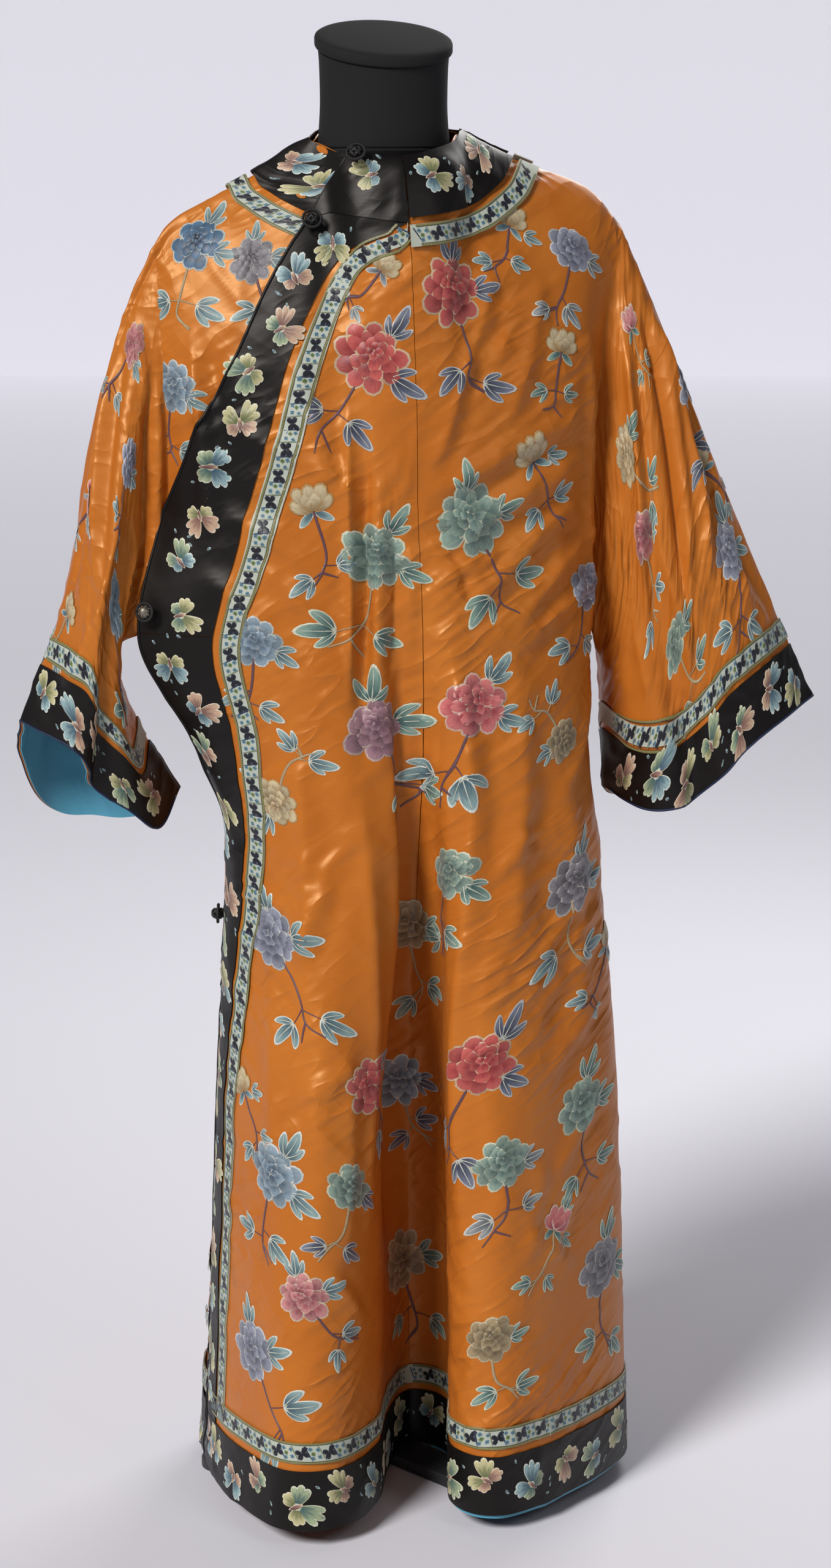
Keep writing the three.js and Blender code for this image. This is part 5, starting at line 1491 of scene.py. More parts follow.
# ---------- running stitches ----------
@dataclass
class RunningStitch:
    """A node group that lays small stitches along a path."""
    spacing: float = 0.0036
    length: float = 0.0011
    thickness: float = 0.00028
    seed: int = 9
    tree: bpy.types.NodeTree = None
    keys: dict = field(default_factory=dict)

    def node(self, kind: str, inputs: dict, settings: dict | None = None) -> bpy.types.Node:
        """Makes a node of the group and feeds its inputs.

        Args:
            kind: the node's type.
            inputs: socket names or indices with sockets or plain values.
            settings: properties, set first.
        Returns:
            The node.
        """
        made = self.tree.nodes.new(kind)
        for key, value in (settings or {}).items():
            setattr(made, key, value)
        for key, value in inputs.items():
            if isinstance(value, bpy.types.NodeSocket):
                self.tree.links.new(value, made.inputs[key])
            else:
                made.inputs[key].default_value = value
        return made

    def make(self) -> "RunningStitch":
        """Builds the group with its named inputs."""
        self.tree = bpy.data.node_groups.new("running_stitch", "GeometryNodeTree")
        for label, kind in (("Path", "Geometry"), ("Spacing", "Float"), ("Length", "Float"),
                            ("Thickness", "Float"),
                            ("Seed", "Int"), ("Material", "Material")):
            item = self.tree.interface.new_socket(label, in_out="INPUT",
                                                  socket_type=f"NodeSocket{kind}")
            self.keys[label] = item.identifier
        self.tree.interface.new_socket("Stitches", in_out="OUTPUT",
                                       socket_type="NodeSocketGeometry")
        given = self.node("NodeGroupInput", {}).outputs
        curve = self.node("GeometryNodeMeshToCurve", {"Mesh": given["Path"]}).outputs[0]
        dots = self.node("GeometryNodeCurveToPoints", {"Curve": curve, "Length": given["Spacing"]},
                         {"mode": "LENGTH"}).outputs
        uneven = self.node("FunctionNodeRandomValue", {2: 0.8, 3: 1.15, "Seed": given["Seed"]},
                           {"data_type": "FLOAT"}).outputs[1]
        long = self.node("ShaderNodeMath", {0: given["Length"], 1: uneven},
                         {"operation": "MULTIPLY"}).outputs[0]
        size = self.node("ShaderNodeCombineXYZ",
                         {"X": given["Thickness"], "Y": given["Thickness"], "Z": long}).outputs[0]
        bead = self.node("GeometryNodeMeshUVSphere",
                         {"Segments": 5, "Rings": 4, "Radius": 1.0}).outputs[0]
        laid = self.node("GeometryNodeInstanceOnPoints",
                         {"Points": dots["Points"], "Instance": bead,
                                                          "Rotation": dots["Rotation"],
                          "Scale": size}).outputs[0]
        real = self.node("GeometryNodeRealizeInstances", {"Geometry": laid}).outputs[0]
        done = self.node("GeometryNodeSetMaterial",
                         {"Geometry": real, "Material": given["Material"]}).outputs[0]
        self.node("NodeGroupOutput", {"Stitches": done})
        return self

    def lay(self, name: str, rows: Sequence[np.ndarray], finish: Finish) -> bpy.types.Object:
        """Lays stitches along rows of points and keeps them as a plain mesh."""
        path = bpy.data.meshes.new(name)
        edges, start = [], 0
        for row in rows:
            edges += [(start + i, start + i + 1) for i in range(len(row) - 1)]
            start += len(row)
        path.from_pydata((np.concatenate(rows) / 1000).tolist(), edges, [])
        obj = bpy.data.objects.new(name, path)
        bpy.context.scene.collection.objects.link(obj)
        finish.dress(obj)
        modifier = obj.modifiers.new("stitches", "NODES")
        modifier.node_group = self.tree
        for label, value in (("Spacing", self.spacing), ("Length", self.length),
                             ("Thickness", self.thickness),
                             ("Seed", self.seed), ("Material", obj.data.materials[0])):
            modifier[self.keys[label]] = value
        graph = bpy.context.evaluated_depsgraph_get()
        made = bpy.data.meshes.new_from_object(obj.evaluated_get(graph))
        obj.modifiers.remove(modifier)
        obj.data = made
        finish.dress(obj)
        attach(obj, "root")
        return obj


# ---------- embroidery ----------
@dataclass(frozen=True)
class Silk:
    """Three colours of a stitched petal: its core, body and outline."""
    core: str
    body: str
    edge: str


class Silks(Enum):
    """Silk families of the flowers, leaves and wings."""
    PINK = Silk("c62a3e", "dd6a62", "e9cda6")
    ROSE = Silk("c8506a", "e6a09c", "f1dcc0")
    HOT = Silk("d8405a", "ee8a86", "f4d2bc")
    TEAL = Silk("5f8584", "a0b8a8", "e0e2c4")
    CREAM = Silk("cfa66e", "e4d3aa", "c59a5e")
    MAUVE = Silk("8d6078", "ba8f9a", "dcc0b4")
    BLUE = Silk("5f7f9c", "a3b9c6", "e2e6e0")
    NAVY = Silk("1f2c4c", "5f86a8", "dfe6e0")
    LILAC = Silk("6f7490", "a6aabb", "dddddb")
    GREY = Silk("6a646e", "98949a", "cdc9c2")
    BROWN = Silk("8a7456", "bba67e", "dccfae")
    LEAF_BLUE = Silk("4c7488", "9ab8b8", "eceee2")
    LEAF_TEAL = Silk("3f7074", "93b3a4", "e8e9d0")
    LEAF_NIGHT = Silk("3a4260", "80869a", "d3d3ce")
    LEAF_GREY = Silk("6a727e", "a6adaf", "e4e4da")
    WING_YELLOW = Silk("7f9058", "d6cf9c", "efe9c6")
    WING_BLUE = Silk("3f6f8c", "a3c3c6", "e2ebe2")
    WING_PEACH = Silk("a5706a", "dcb89a", "f0dfc6")
    WING_GREEN = Silk("3f7a80", "b4c49c", "e8ebcf")


STEM = "6d4a52"
STEM_LIGHT = "b9a27c"
VEIN = "dfe3d0"
DISK_TURNS = 14
SMALL_PATCH = 10.0  # shorter patches get a coarser mesh
# share of the petal core's colour kept: partly the core's darker thread, partly painted shade at
# the petal's foot where it lies under others
CORE_THREAD_AND_PAINTED_SHADE = 0.55
DISK_RINGS = ((0.0, 0.0), (0.45, 0.0), (0.8, 0.0), (0.87, 0.9),
              (1.0, 1.0))  # radius share, outline share


def turned(points: np.ndarray, angle: float, at: Sequence[float] = (0, 0)) -> np.ndarray:
    """Flat points turned about the origin and then moved."""
    c, s = math.cos(angle), math.sin(angle)
    return points @ np.array([[c, s], [-s, c]]) + np.asarray(at, float)


def petal_outline(length: float, width: float, scallops: float = 0.0, lobes: int = 3,
                  point: float = 1.0,
                  widest: float = 0.25) -> np.ndarray:
    """Outline of a petal that starts at the origin and points up.

    Args:
        length, width: its size.
        scallops: depth of the waves at its far end, as a share of the length.
        lobes: number of waves.
        point: over 1 sharpens both ends.
        widest: shifts the widest place outwards.
    Returns:
        Points round it.
    """
    k = np.arange(DISK_TURNS) / DISK_TURNS * 2 * math.pi
    far = (1 - np.cos(k)) / 2
    x = np.sign(np.sin(k)) * np.abs(np.sin(k)) ** point * width / 2 * (1 + widest * (2 * far - 1))
    y = length * far + scallops * length * np.cos(lobes
                                                  * (k - math.pi)) * smooth((far - 0.45) / 0.4)
    return np.stack([x, y], -1)


class Stitchwork:
    """Raised stitched patches on one map of cloth, gathered into one mesh."""

    def __init__(self, chart: ClothMap, seed: int, lift: float = 0.75) -> None:
        """Starts empty on a map; lift is the height of the cloth's outer face over its middle."""
        self.chart, self.lift = chart, lift
        self.random = np.random.default_rng(seed)
        self.flat, self.heights, self.tints, self.threads, self.faces = [], [], [], [], []
        self.count = 0

    def add(self, flat: np.ndarray, heights: np.ndarray, tints: np.ndarray, threads: np.ndarray,
            faces: Sequence[Sequence[int]]) -> None:
        """Adds points and faces."""
        self.flat.append(flat)
        self.heights.append(heights)
        self.tints.append(tints)
        self.threads.append(threads)
        self.faces += [tuple(v + self.count for v in f) for f in faces]
        self.count += len(flat)

    def disk(self, outline: np.ndarray, silk: Silk, angle: float, at: Sequence[float],
             layer: float = 0.0,
             puff: float = 0.9, shade: float = 0.0) -> None:
        """A padded patch with an outline of another colour.

        Args:
            outline: flat outline that starts at the origin and points up.
            silk: its colours.
            angle, at: where it points and stands on the cloth's flat.
            layer: height of its edge over the cloth.
            puff: extra height of its middle.
            shade: darkens it, as painted shade of a petal that lies under others.
        """
        small = np.ptp(outline[:, 1]) < SMALL_PATCH
        outline, rings = (outline[::2], DISK_RINGS[::2]) if small else (outline, DISK_RINGS)
        middle = outline.mean(0)
        top = outline[:, 1].max()
        core, body, edge = (np.array(srgb(c)[:3]) for c in (silk.core, silk.body, silk.edge))
        # core darkened further: darker core thread and painted shade at the petal's foot
        core = core * CORE_THREAD_AND_PAINTED_SHADE
        points, heights, tints = [middle[None]], [layer + puff], []
        tints.append((core * 0.75 + body * 0.25)[None])
        for share, rim in rings[1:]:
            ring = middle + (outline - middle) * share
            blend = smooth(ring[:, 1:2] / top / 0.9)
            colour = core * (1 - blend) + body * blend
            tints.append(colour * (1 - rim) + edge * rim)
            points.append(ring)
            heights.append(layer + puff * (1 - share ** 2.4))
        flat = np.concatenate(points)
        height = np.concatenate([[heights[0]], np.repeat(heights[1:], len(outline))])
        # painted shade: the whole patch is darkened by shade
        tint = np.concatenate(tints) * (1 - shade)
        n = len(outline)
        faces = [(0, 1 + i, 1 + (i + 1) % n) for i in range(n)]
        for r in range(len(rings) - 2):
            a, b = 1 + r * n, 1 + (r + 1) * n
            faces += [(a + i, b + i, b + (i + 1) % n, a + (i + 1) % n) for i in range(n)]
        spin = sum(float(outline[i - 1][0] * outline[i][1] - outline[i][0] * outline[i - 1][1])
                   for i in range(n))
        if spin < 0:
            faces = [f[::-1] for f in faces]
        self.add(turned(flat, angle, at), height, tint, flat, faces)

    def line(self, path: np.ndarray, width: float, code: str, layer: float = 0.0,
             puff: float = 0.6) -> None:
        """A padded stitched line along flat points, tapering at its far end, with painted highlight
        along its crown and painted shade along its sides.
        """
        ahead = np.gradient(path, axis=0)
        side = np.stack([-ahead[:, 1], ahead[:, 0]], -1)
        side /= np.maximum(np.linalg.norm(side, axis=1, keepdims=True), 1e-9)
        n = len(path)
        taper = (width / 2 * (1 - 0.45 * np.linspace(0, 1, n) ** 2))[:, None]
        rows = [path + side * taper * k for k in (1, 0.55, 0, -0.55, -1)]
        lifts = [layer, layer + puff * 0.75, layer + puff, layer + puff * 0.75, layer]
        colour = np.array(srgb(code)[:3])
        run = np.concatenate([[0], np.cumsum(np.linalg.norm(np.diff(path, axis=0), axis=1))])
        flat = np.concatenate(rows)
        # painted highlight along the line's raised crown (1.15) and painted shade along its low
        # sides (0.75)
        tints = np.concatenate([np.tile(colour * k, (n, 1)) for k in (0.75, 1.0, 1.15, 1.0, 0.75)])
        threads = np.concatenate([np.stack([run, np.full(n, k * width)], -1)
                                  for k in (1, 0.5, 0, -0.5, -1)])
        faces = [(r * n + i, (r + 1) * n + i, (r + 1) * n + i + 1, r * n + i + 1)
                 for r in range(4) for i in range(n - 1)]
        self.add(flat, np.repeat(lifts, n), tints, threads, faces)

    def leaf(self, at: Sequence[float], angle: float, size: float, silk: Silk,
             layer: float = 0.0) -> None:
        """A leaf of three pointed lobes with pale veins."""
        rnd = self.random
        for side, part, lean in ((-1, rnd.uniform(0.62, 0.78), 0.62),
                                 (1, rnd.uniform(0.62, 0.78), 0.62), (0, 1, 0)):
            turn = angle - side * (lean + rnd.uniform(-0.12, 0.12))
            length = size * part
            outline = petal_outline(length, length * 0.36, 0, 3, 1.15, -0.05)
            outline[:,
                    0] += np.sin(outline[:, 1] / length * math.pi) * length * 0.07 * (side or 0.5)
            self.disk(outline, silk, turn, at, layer + (0.25 if side == 0 else 0), 0.75)
            vein = np.stack([np.sin(np.linspace(0.1, 0.8, 7) * math.pi) * length * 0.05
                             * (side or 0.5),
                             np.linspace(0.06, 0.86, 7) * length], -1)
            self.line(turned(vein, turn, at), 0.9, VEIN, layer + 0.9, 0.25)

    def peony(self, at: Sequence[float], radius: float, silk: Silk, open_way: float = 0.0,
              tilt: float = 0.8) -> None:
        """An open peony of three rings of scalloped petals round a folded heart.

        Args:
            at: its centre on the flat.
            radius: its reach.
            silk: its colours.
            open_way: the direction in which the heart shows.
            tilt: shortens it along that direction.
        """
        rnd, at = self.random, np.asarray(at, float)
        for ring, (count, out, length,
                   width) in enumerate(((9, 0.30, 0.68, 0.56), (8, 0.16, 0.56, 0.46),
                                                            (6, 0.06, 0.42, 0.36),
                                        (4, 0.0, 0.25, 0.24))):
            start = rnd.uniform(0, 2 * math.pi)
            shift = turned(np.array([[0, ring * 0.07 * radius]]), open_way)[0]
            for k in range(count):
                turn = start + (k + rnd.uniform(-0.16, 0.16)) * 2 * math.pi / count
                squeeze = 1 - (1 - tilt) * abs(math.cos(turn - open_way))
                foot = turned(np.array([[0, out * radius * squeeze]]), turn)[0]
                outline = petal_outline(length * radius * squeeze * rnd.uniform(0.9, 1.12),
                                        width * radius * rnd.uniform(0.85, 1.05), 0.07, 3, 0.86,
                                        0.3)
                # painted shade: some petals darkened as if they lay under the others
                self.disk(outline, silk, turn, at + shift + foot, ring * 0.5 + 0.05 * (k % 2), 1.15,
                          0.15 * (k % 3))

    def bud(self, at: Sequence[float], radius: float, silk: Silk, angle: float, leaf: Silk) -> None:
        """A half-open bud seen from the side, in its sepals."""
        for side in (-1, 1):
            sepal = petal_outline(radius * 0.9, radius * 0.34, 0, 3, 1.2, 0)
            self.disk(sepal, leaf, angle + side * 2.2, at, 0.0, 0.6)
        for ring, (lean,
                   size) in enumerate(((1.05, 0.95), (-1.05, 0.95), (0.55, 1.15), (-0.55, 1.15),
                                       (0.0, 1.05),
                                             (0.28, 0.8), (-0.28, 0.75), (0.0, 0.55))):
            outline = petal_outline(radius * size, radius * 0.62, 0.06, 3, 0.85, 0.35)
            # painted shade: some petals darkened as if they lay under the others
            self.disk(outline, silk, angle + lean, at, 0.2 + ring * 0.14, 0.75, 0.05 * (ring % 3))

    def stem(self, start: Sequence[float], bends: Sequence[tuple[float, float]], width: float = 2.6,
             code: str = STEM) -> np.ndarray:
        """A stem from a place through turns of (direction, length); returns its corner places."""
        places = [np.asarray(start, float)]
        for angle, length in bends:
            places.append(places[-1] + turned(np.array([[0, length]]), angle)[0])
        corners = np.array(places)
        fine = curve_across(corners, np.linspace(0, len(corners) - 1, 8 * (len(corners) - 1) + 1))
        self.line(fine, width, code)
        return corners

    def spray(self, at: Sequence[float], radius: float, silk: Silk, leaf: Silk, way: float,
              leaves: int,
              flower: str = "open") -> None:
        """A flower with a forked stem below it and leaves along it.

        Args:
            at: the flower's centre.
            radius: its reach.
            silk, leaf: colours of petals and leaves.
            way: direction in which its stem leaves it.
            leaves: number of leaves.
            flower: open or bud.
        """
        rnd = self.random
        code = STEM if rnd.uniform() < 0.7 else STEM_LIGHT
        bends = ((way, radius * 1.5), (way + rnd.uniform(-0.7, 0.7), radius * 0.75),
                 (way + rnd.uniform(-1.1, 1.1), radius * 0.6))
        corners = self.stem(at, bends, 2.8, code)
        fork = corners[2]
        self.stem(fork, ((way + rnd.choice((-1, 1)) * rnd.uniform(0.7, 1.1), radius * 0.6),), 2.4,
                  code)
        for k in range(leaves):
            root = corners[1] + (corners[2] - corners[1]) * rnd.uniform(0, 1)
            lean = way + (1 if k % 2 else -1) * rnd.uniform(0.8, 1.5)
            if k >= 2:
                root = np.asarray(at, float) + turned(np.array([[0, radius * 0.72]]),
                                                      way + 1.5 * (k - 1.1))[0]
                lean = way + 1.5 * (k - 1.1) + rnd.uniform(-0.3, 0.3)
                self.leaf(root, lean, radius * rnd.uniform(0.85, 1.05), leaf)
                continue
            tip = self.stem(root, ((lean, radius * rnd.uniform(0.3, 0.6)),), 1.5, code)[-1]
            self.leaf(tip, lean + rnd.uniform(-0.3, 0.3), radius * rnd.uniform(0.85, 1.15), leaf)
        if flower == "open":
            self.peony(at, radius, silk, way + math.pi, rnd.uniform(0.72, 0.95))
        else:
            self.bud(at, radius * 0.9, silk, way + math.pi, leaf)

    def butterfly(self, at: Sequence[float], angle: float, size: float, silk: Silk, second: Silk,
                  fold: float = 1.0) -> None:
        """A butterfly of padded wing pieces with small gaps, a ringed body and curled feelers.

        Args:
            at, angle: its place and the way its head points.
            size: half its span.
            silk, second: colours of the fore and hind wings.
            fold: under 1 narrows the far wing, as seen from the side.
        """
        at = np.asarray(at, float)
        for side, wide in ((-1, fold), (1, 1.0)):
            for lean, length, width, colour in ((0.5, 0.98, 0.3, silk), (0.84, 1.0, 0.3, silk),
                                                (1.2, 0.86, 0.28, silk), (1.72, 0.62, 0.28, second),
                                                (2.1, 0.66, 0.28, second),
                                                (2.5, 0.55, 0.24, second)):
                turn = angle - side * lean * (0.72 + 0.28 * wide)
                outline = petal_outline(size * length * wide, size * width, 0.03, 2, 0.8, 0.42)
                foot = turned(np.array([[0, size * 0.07]]), turn, at)[0]
                self.disk(outline, colour, turn, foot, 0, 0.7)
            curl = np.linspace(0, 1, 9)
            feeler = np.stack([side * size * (0.05 + 0.30 * curl ** 1.6),
                               size * (0.22 + 0.42 * curl)], -1)
            feeler[-2:, 1] -= size * np.array([0.02, 0.09])
            self.line(turned(feeler, angle, at), 0.9, "c9be86", 0, 0.3)
        body = petal_outline(size * 0.62, size * 0.17, 0, 3, 1.0, 0.2) - np.array([0, size * 0.34])
        self.disk(body, Silks.WING_PEACH.value, angle, at, 0.5, 0.7)

    def build(self, name: str) -> bpy.types.Object:
        """Makes the mesh on the map's creased surface."""
        flat = np.concatenate(self.flat)
        u, w = self.chart.place(flat)
        height = np.concatenate(self.heights) + self.lift
        points = self.chart.lifted(u, w, height)
        obj = new_mesh(name, points, self.faces, True, np.concatenate(self.threads),
                       np.concatenate(self.tints))
        Finish.THREAD.dress(obj)
        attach(obj, "root")
        return obj


@dataclass(frozen=True)
class Spray:
    """One flower spray: where it stands, its size, silks, stem direction and leaves."""
    x: float
    z: float
    radius: float
    silk: Silks
    leaf: Silks
    way: float
    leaves: int
    flower: str = "open"


FRONT_SPRAYS = (
    Spray(44, 1212, 38, Silks.PINK, Silks.LEAF_NIGHT, -2.9, 4),
    Spray(-39, 1150, 38, Silks.PINK, Silks.LEAF_NIGHT, 2.6, 4),
    Spray(-27, 1232, 20, Silks.CREAM, Silks.LEAF_GREY, 2.4, 2, "bud"),
    Spray(-95, 1005, 27, Silks.CREAM, Silks.LEAF_BLUE, -2.9, 2, "bud"),
    Spray(-37, 962, 38, Silks.TEAL, Silks.LEAF_TEAL, 2.9, 4),
    Spray(57, 994, 38, Silks.TEAL, Silks.LEAF_TEAL, -2.7, 4),
    Spray(126, 1048, 27, Silks.CREAM, Silks.LEAF_BLUE, -2.7, 3, "bud"),
    Spray(186, 918, 30, Silks.LILAC, Silks.LEAF_BLUE, 2.9, 3),
    Spray(-152, 880, 30, Silks.BLUE, Silks.LEAF_BLUE, 3.0, 3),
    Spray(-38, 797, 38, Silks.MAUVE, Silks.LEAF_TEAL, -2.7, 4),
    Spray(57, 818, 36, Silks.HOT, Silks.LEAF_BLUE, 2.9, 4),
    Spray(152, 774, 25, Silks.BROWN, Silks.LEAF_BLUE, 0.7, 3),
    Spray(-132, 726, 27, Silks.CREAM, Silks.LEAF_BLUE, -0.5, 4),
    Spray(31, 655, 33, Silks.TEAL, Silks.LEAF_TEAL, 2.9, 3),
    Spray(159, 632, 35, Silks.GREY, Silks.LEAF_BLUE, -2.9, 4),
    Spray(-138, 593, 36, Silks.LILAC, Silks.LEAF_BLUE, -2.8, 4),
    Spray(3, 590, 32, Silks.BROWN, Silks.LEAF_TEAL, -2.9, 3),
    Spray(53, 470, 38, Silks.PINK, Silks.LEAF_NIGHT, 2.9, 4),
    Spray(-54, 449, 34, Silks.PINK, Silks.LEAF_NIGHT, -2.4, 3),
    Spray(-167, 437, 22, Silks.CREAM, Silks.LEAF_BLUE, -2.7, 3, "bud"),
    Spray(167, 408, 34, Silks.TEAL, Silks.LEAF_TEAL, -2.9, 4),
    Spray(72, 372, 31, Silks.TEAL, Silks.LEAF_GREY, -2.9, 3),
    Spray(-78, 356, 30, Silks.TEAL, Silks.LEAF_NIGHT, 2.8, 3),
    Spray(-148, 366, 34, Silks.BLUE, Silks.LEAF_BLUE, 2.7, 4),
    Spray(-127, 251, 28, Silks.ROSE, Silks.LEAF_BLUE, -2.6, 4),
    Spray(132, 293, 24, Silks.HOT, Silks.LEAF_TEAL, 2.8, 4, "bud"),
    Spray(4, 224, 36, Silks.BROWN, Silks.LEAF_TEAL, -2.8, 3),
    Spray(192, 234, 37, Silks.GREY, Silks.LEAF_TEAL, -3.0, 4),
    Spray(57, 196, 27, Silks.BROWN, Silks.LEAF_TEAL, -2.9, 3),
    Spray(-168, 182, 36, Silks.LILAC, Silks.LEAF_BLUE, -2.7, 4),
    Spray(3, 420, 30, Silks.BLUE, Silks.LEAF_NIGHT, -2.9, 3),
    Spray(178, 1250, 30, Silks.LILAC, Silks.LEAF_GREY, 2.7, 3),
    Spray(112, 1272, 24, Silks.CREAM, Silks.LEAF_BLUE, 2.7, 3, "bud"),
    Spray(205, 560, 24, Silks.CREAM, Silks.LEAF_BLUE, 2.9, 3, "bud"),
    Spray(160, 1150, 24, Silks.CREAM, Silks.LEAF_TEAL, 2.9, 2, "bud"),
)
INNER_SPRAYS = (
    Spray(-190, 1256, 33, Silks.NAVY, Silks.LEAF_BLUE, 3.0, 4),
    Spray(-140, 1240, 26, Silks.GREY, Silks.LEAF_BLUE, -2.8, 4),
    Spray(-214, 1120, 28, Silks.BLUE, Silks.LEAF_BLUE, 2.9, 3),
)
BACK_SPRAYS = (
    Spray(-60, 1180, 38, Silks.TEAL, Silks.LEAF_TEAL, 2.9, 4),
    Spray(70, 1160, 38, Silks.MAUVE, Silks.LEAF_BLUE, -2.8, 4),
    Spray(-150, 1120, 27, Silks.CREAM, Silks.LEAF_BLUE, -2.7, 3, "bud"),
    Spray(160, 1130, 30, Silks.LILAC, Silks.LEAF_BLUE, 2.9, 3),
    Spray(0, 1010, 38, Silks.PINK, Silks.LEAF_NIGHT, 2.7, 4),
    Spray(-120, 980, 34, Silks.BLUE, Silks.LEAF_BLUE, 2.9, 4),
    Spray(120, 970, 30, Silks.CREAM, Silks.LEAF_TEAL, -2.8, 4),
    Spray(-50, 850, 36, Silks.HOT, Silks.LEAF_TEAL, -2.9, 4),
    Spray(70, 830, 36, Silks.TEAL, Silks.LEAF_TEAL, 2.9, 4),
    Spray(-150, 800, 30, Silks.MAUVE, Silks.LEAF_BLUE, 2.9, 3),
    Spray(165, 800, 27, Silks.ROSE, Silks.LEAF_BLUE, -2.8, 3, "bud"),
    Spray(0, 690, 36, Silks.LILAC, Silks.LEAF_BLUE, 2.9, 4),
    Spray(-100, 640, 34, Silks.PINK, Silks.LEAF_NIGHT, -2.9, 4),
    Spray(110, 650, 34, Silks.GREY, Silks.LEAF_TEAL, 2.8, 4),
    Spray(-40, 520, 34, Silks.CREAM, Silks.LEAF_TEAL, 2.9, 4),
    Spray(60, 500, 36, Silks.ROSE, Silks.LEAF_BLUE, -2.7, 4),
    Spray(-150, 480, 30, Silks.BLUE, Silks.LEAF_BLUE, 2.9, 3),
    Spray(160, 480, 32, Silks.TEAL, Silks.LEAF_TEAL, 2.9, 3),
    Spray(0, 360, 36, Silks.MAUVE, Silks.LEAF_BLUE, 2.9, 4),
    Spray(-110, 330, 34, Silks.TEAL, Silks.LEAF_TEAL, -2.9, 4),
    Spray(110, 330, 30, Silks.HOT, Silks.LEAF_TEAL, -2.8, 4),
    Spray(-50, 210, 30, Silks.LILAC, Silks.LEAF_BLUE, 2.9, 3),
    Spray(70, 210, 34, Silks.BROWN, Silks.LEAF_TEAL, 2.9, 3),
    Spray(-170, 210, 30, Silks.ROSE, Silks.LEAF_BLUE, -2.9, 3),
    Spray(180, 210, 32, Silks.BLUE, Silks.LEAF_BLUE, 2.9, 3),
)
SLEEVE_SPRAYS = {
    ("right", "front"): (
        Spray(-250, 1160, 24, Silks.ROSE, Silks.LEAF_BLUE, 2.9, 3),
        Spray(-262, 1050, 26, Silks.LILAC, Silks.LEAF_BLUE, -2.9, 3),
        Spray(-296, 1010, 22, Silks.HOT, Silks.LEAF_GREY, 2.7, 3, "bud"),
        Spray(-280, 915, 28, Silks.BLUE, Silks.LEAF_TEAL, -2.8, 3),
        Spray(-320, 900, 20, Silks.CREAM, Silks.LEAF_BLUE, 2.9, 2, "bud")),
    ("right", "back"): (
        Spray(-255, 1130, 26, Silks.TEAL, Silks.LEAF_TEAL, 2.9, 3),
        Spray(-275, 1000, 28, Silks.PINK, Silks.LEAF_NIGHT, -2.9, 3),
        Spray(-300, 880, 26, Silks.LILAC, Silks.LEAF_BLUE, 2.9, 3)),
    ("left", "front"): (
        Spray(236, 1046, 28, Silks.CREAM, Silks.LEAF_TEAL, -2.9, 3),
        Spray(300, 1110, 28, Silks.LILAC, Silks.LEAF_NIGHT, 2.9, 3),
        Spray(246, 1170, 20, Silks.ROSE, Silks.LEAF_TEAL, 2.8, 2, "bud"),
        Spray(250, 968, 26, Silks.ROSE, Silks.LEAF_BLUE, 2.9, 3),
        Spray(340, 950, 30, Silks.LILAC, Silks.LEAF_BLUE, 2.8, 4),
        Spray(280, 860, 28, Silks.TEAL, Silks.LEAF_TEAL, -2.9, 3),
        Spray(325, 1030, 20, Silks.CREAM, Silks.LEAF_BLUE, -2.8, 2, "bud")),
    ("left", "back"): (
        Spray(262, 1120, 28, Silks.BLUE, Silks.LEAF_BLUE, 2.9, 3),
        Spray(290, 990, 30, Silks.MAUVE, Silks.LEAF_TEAL, -2.9, 4),
        Spray(330, 880, 28, Silks.ROSE, Silks.LEAF_BLUE, 2.9, 3),
        Spray(250, 900, 24, Silks.CREAM, Silks.LEAF_TEAL, 2.9, 2)),
}


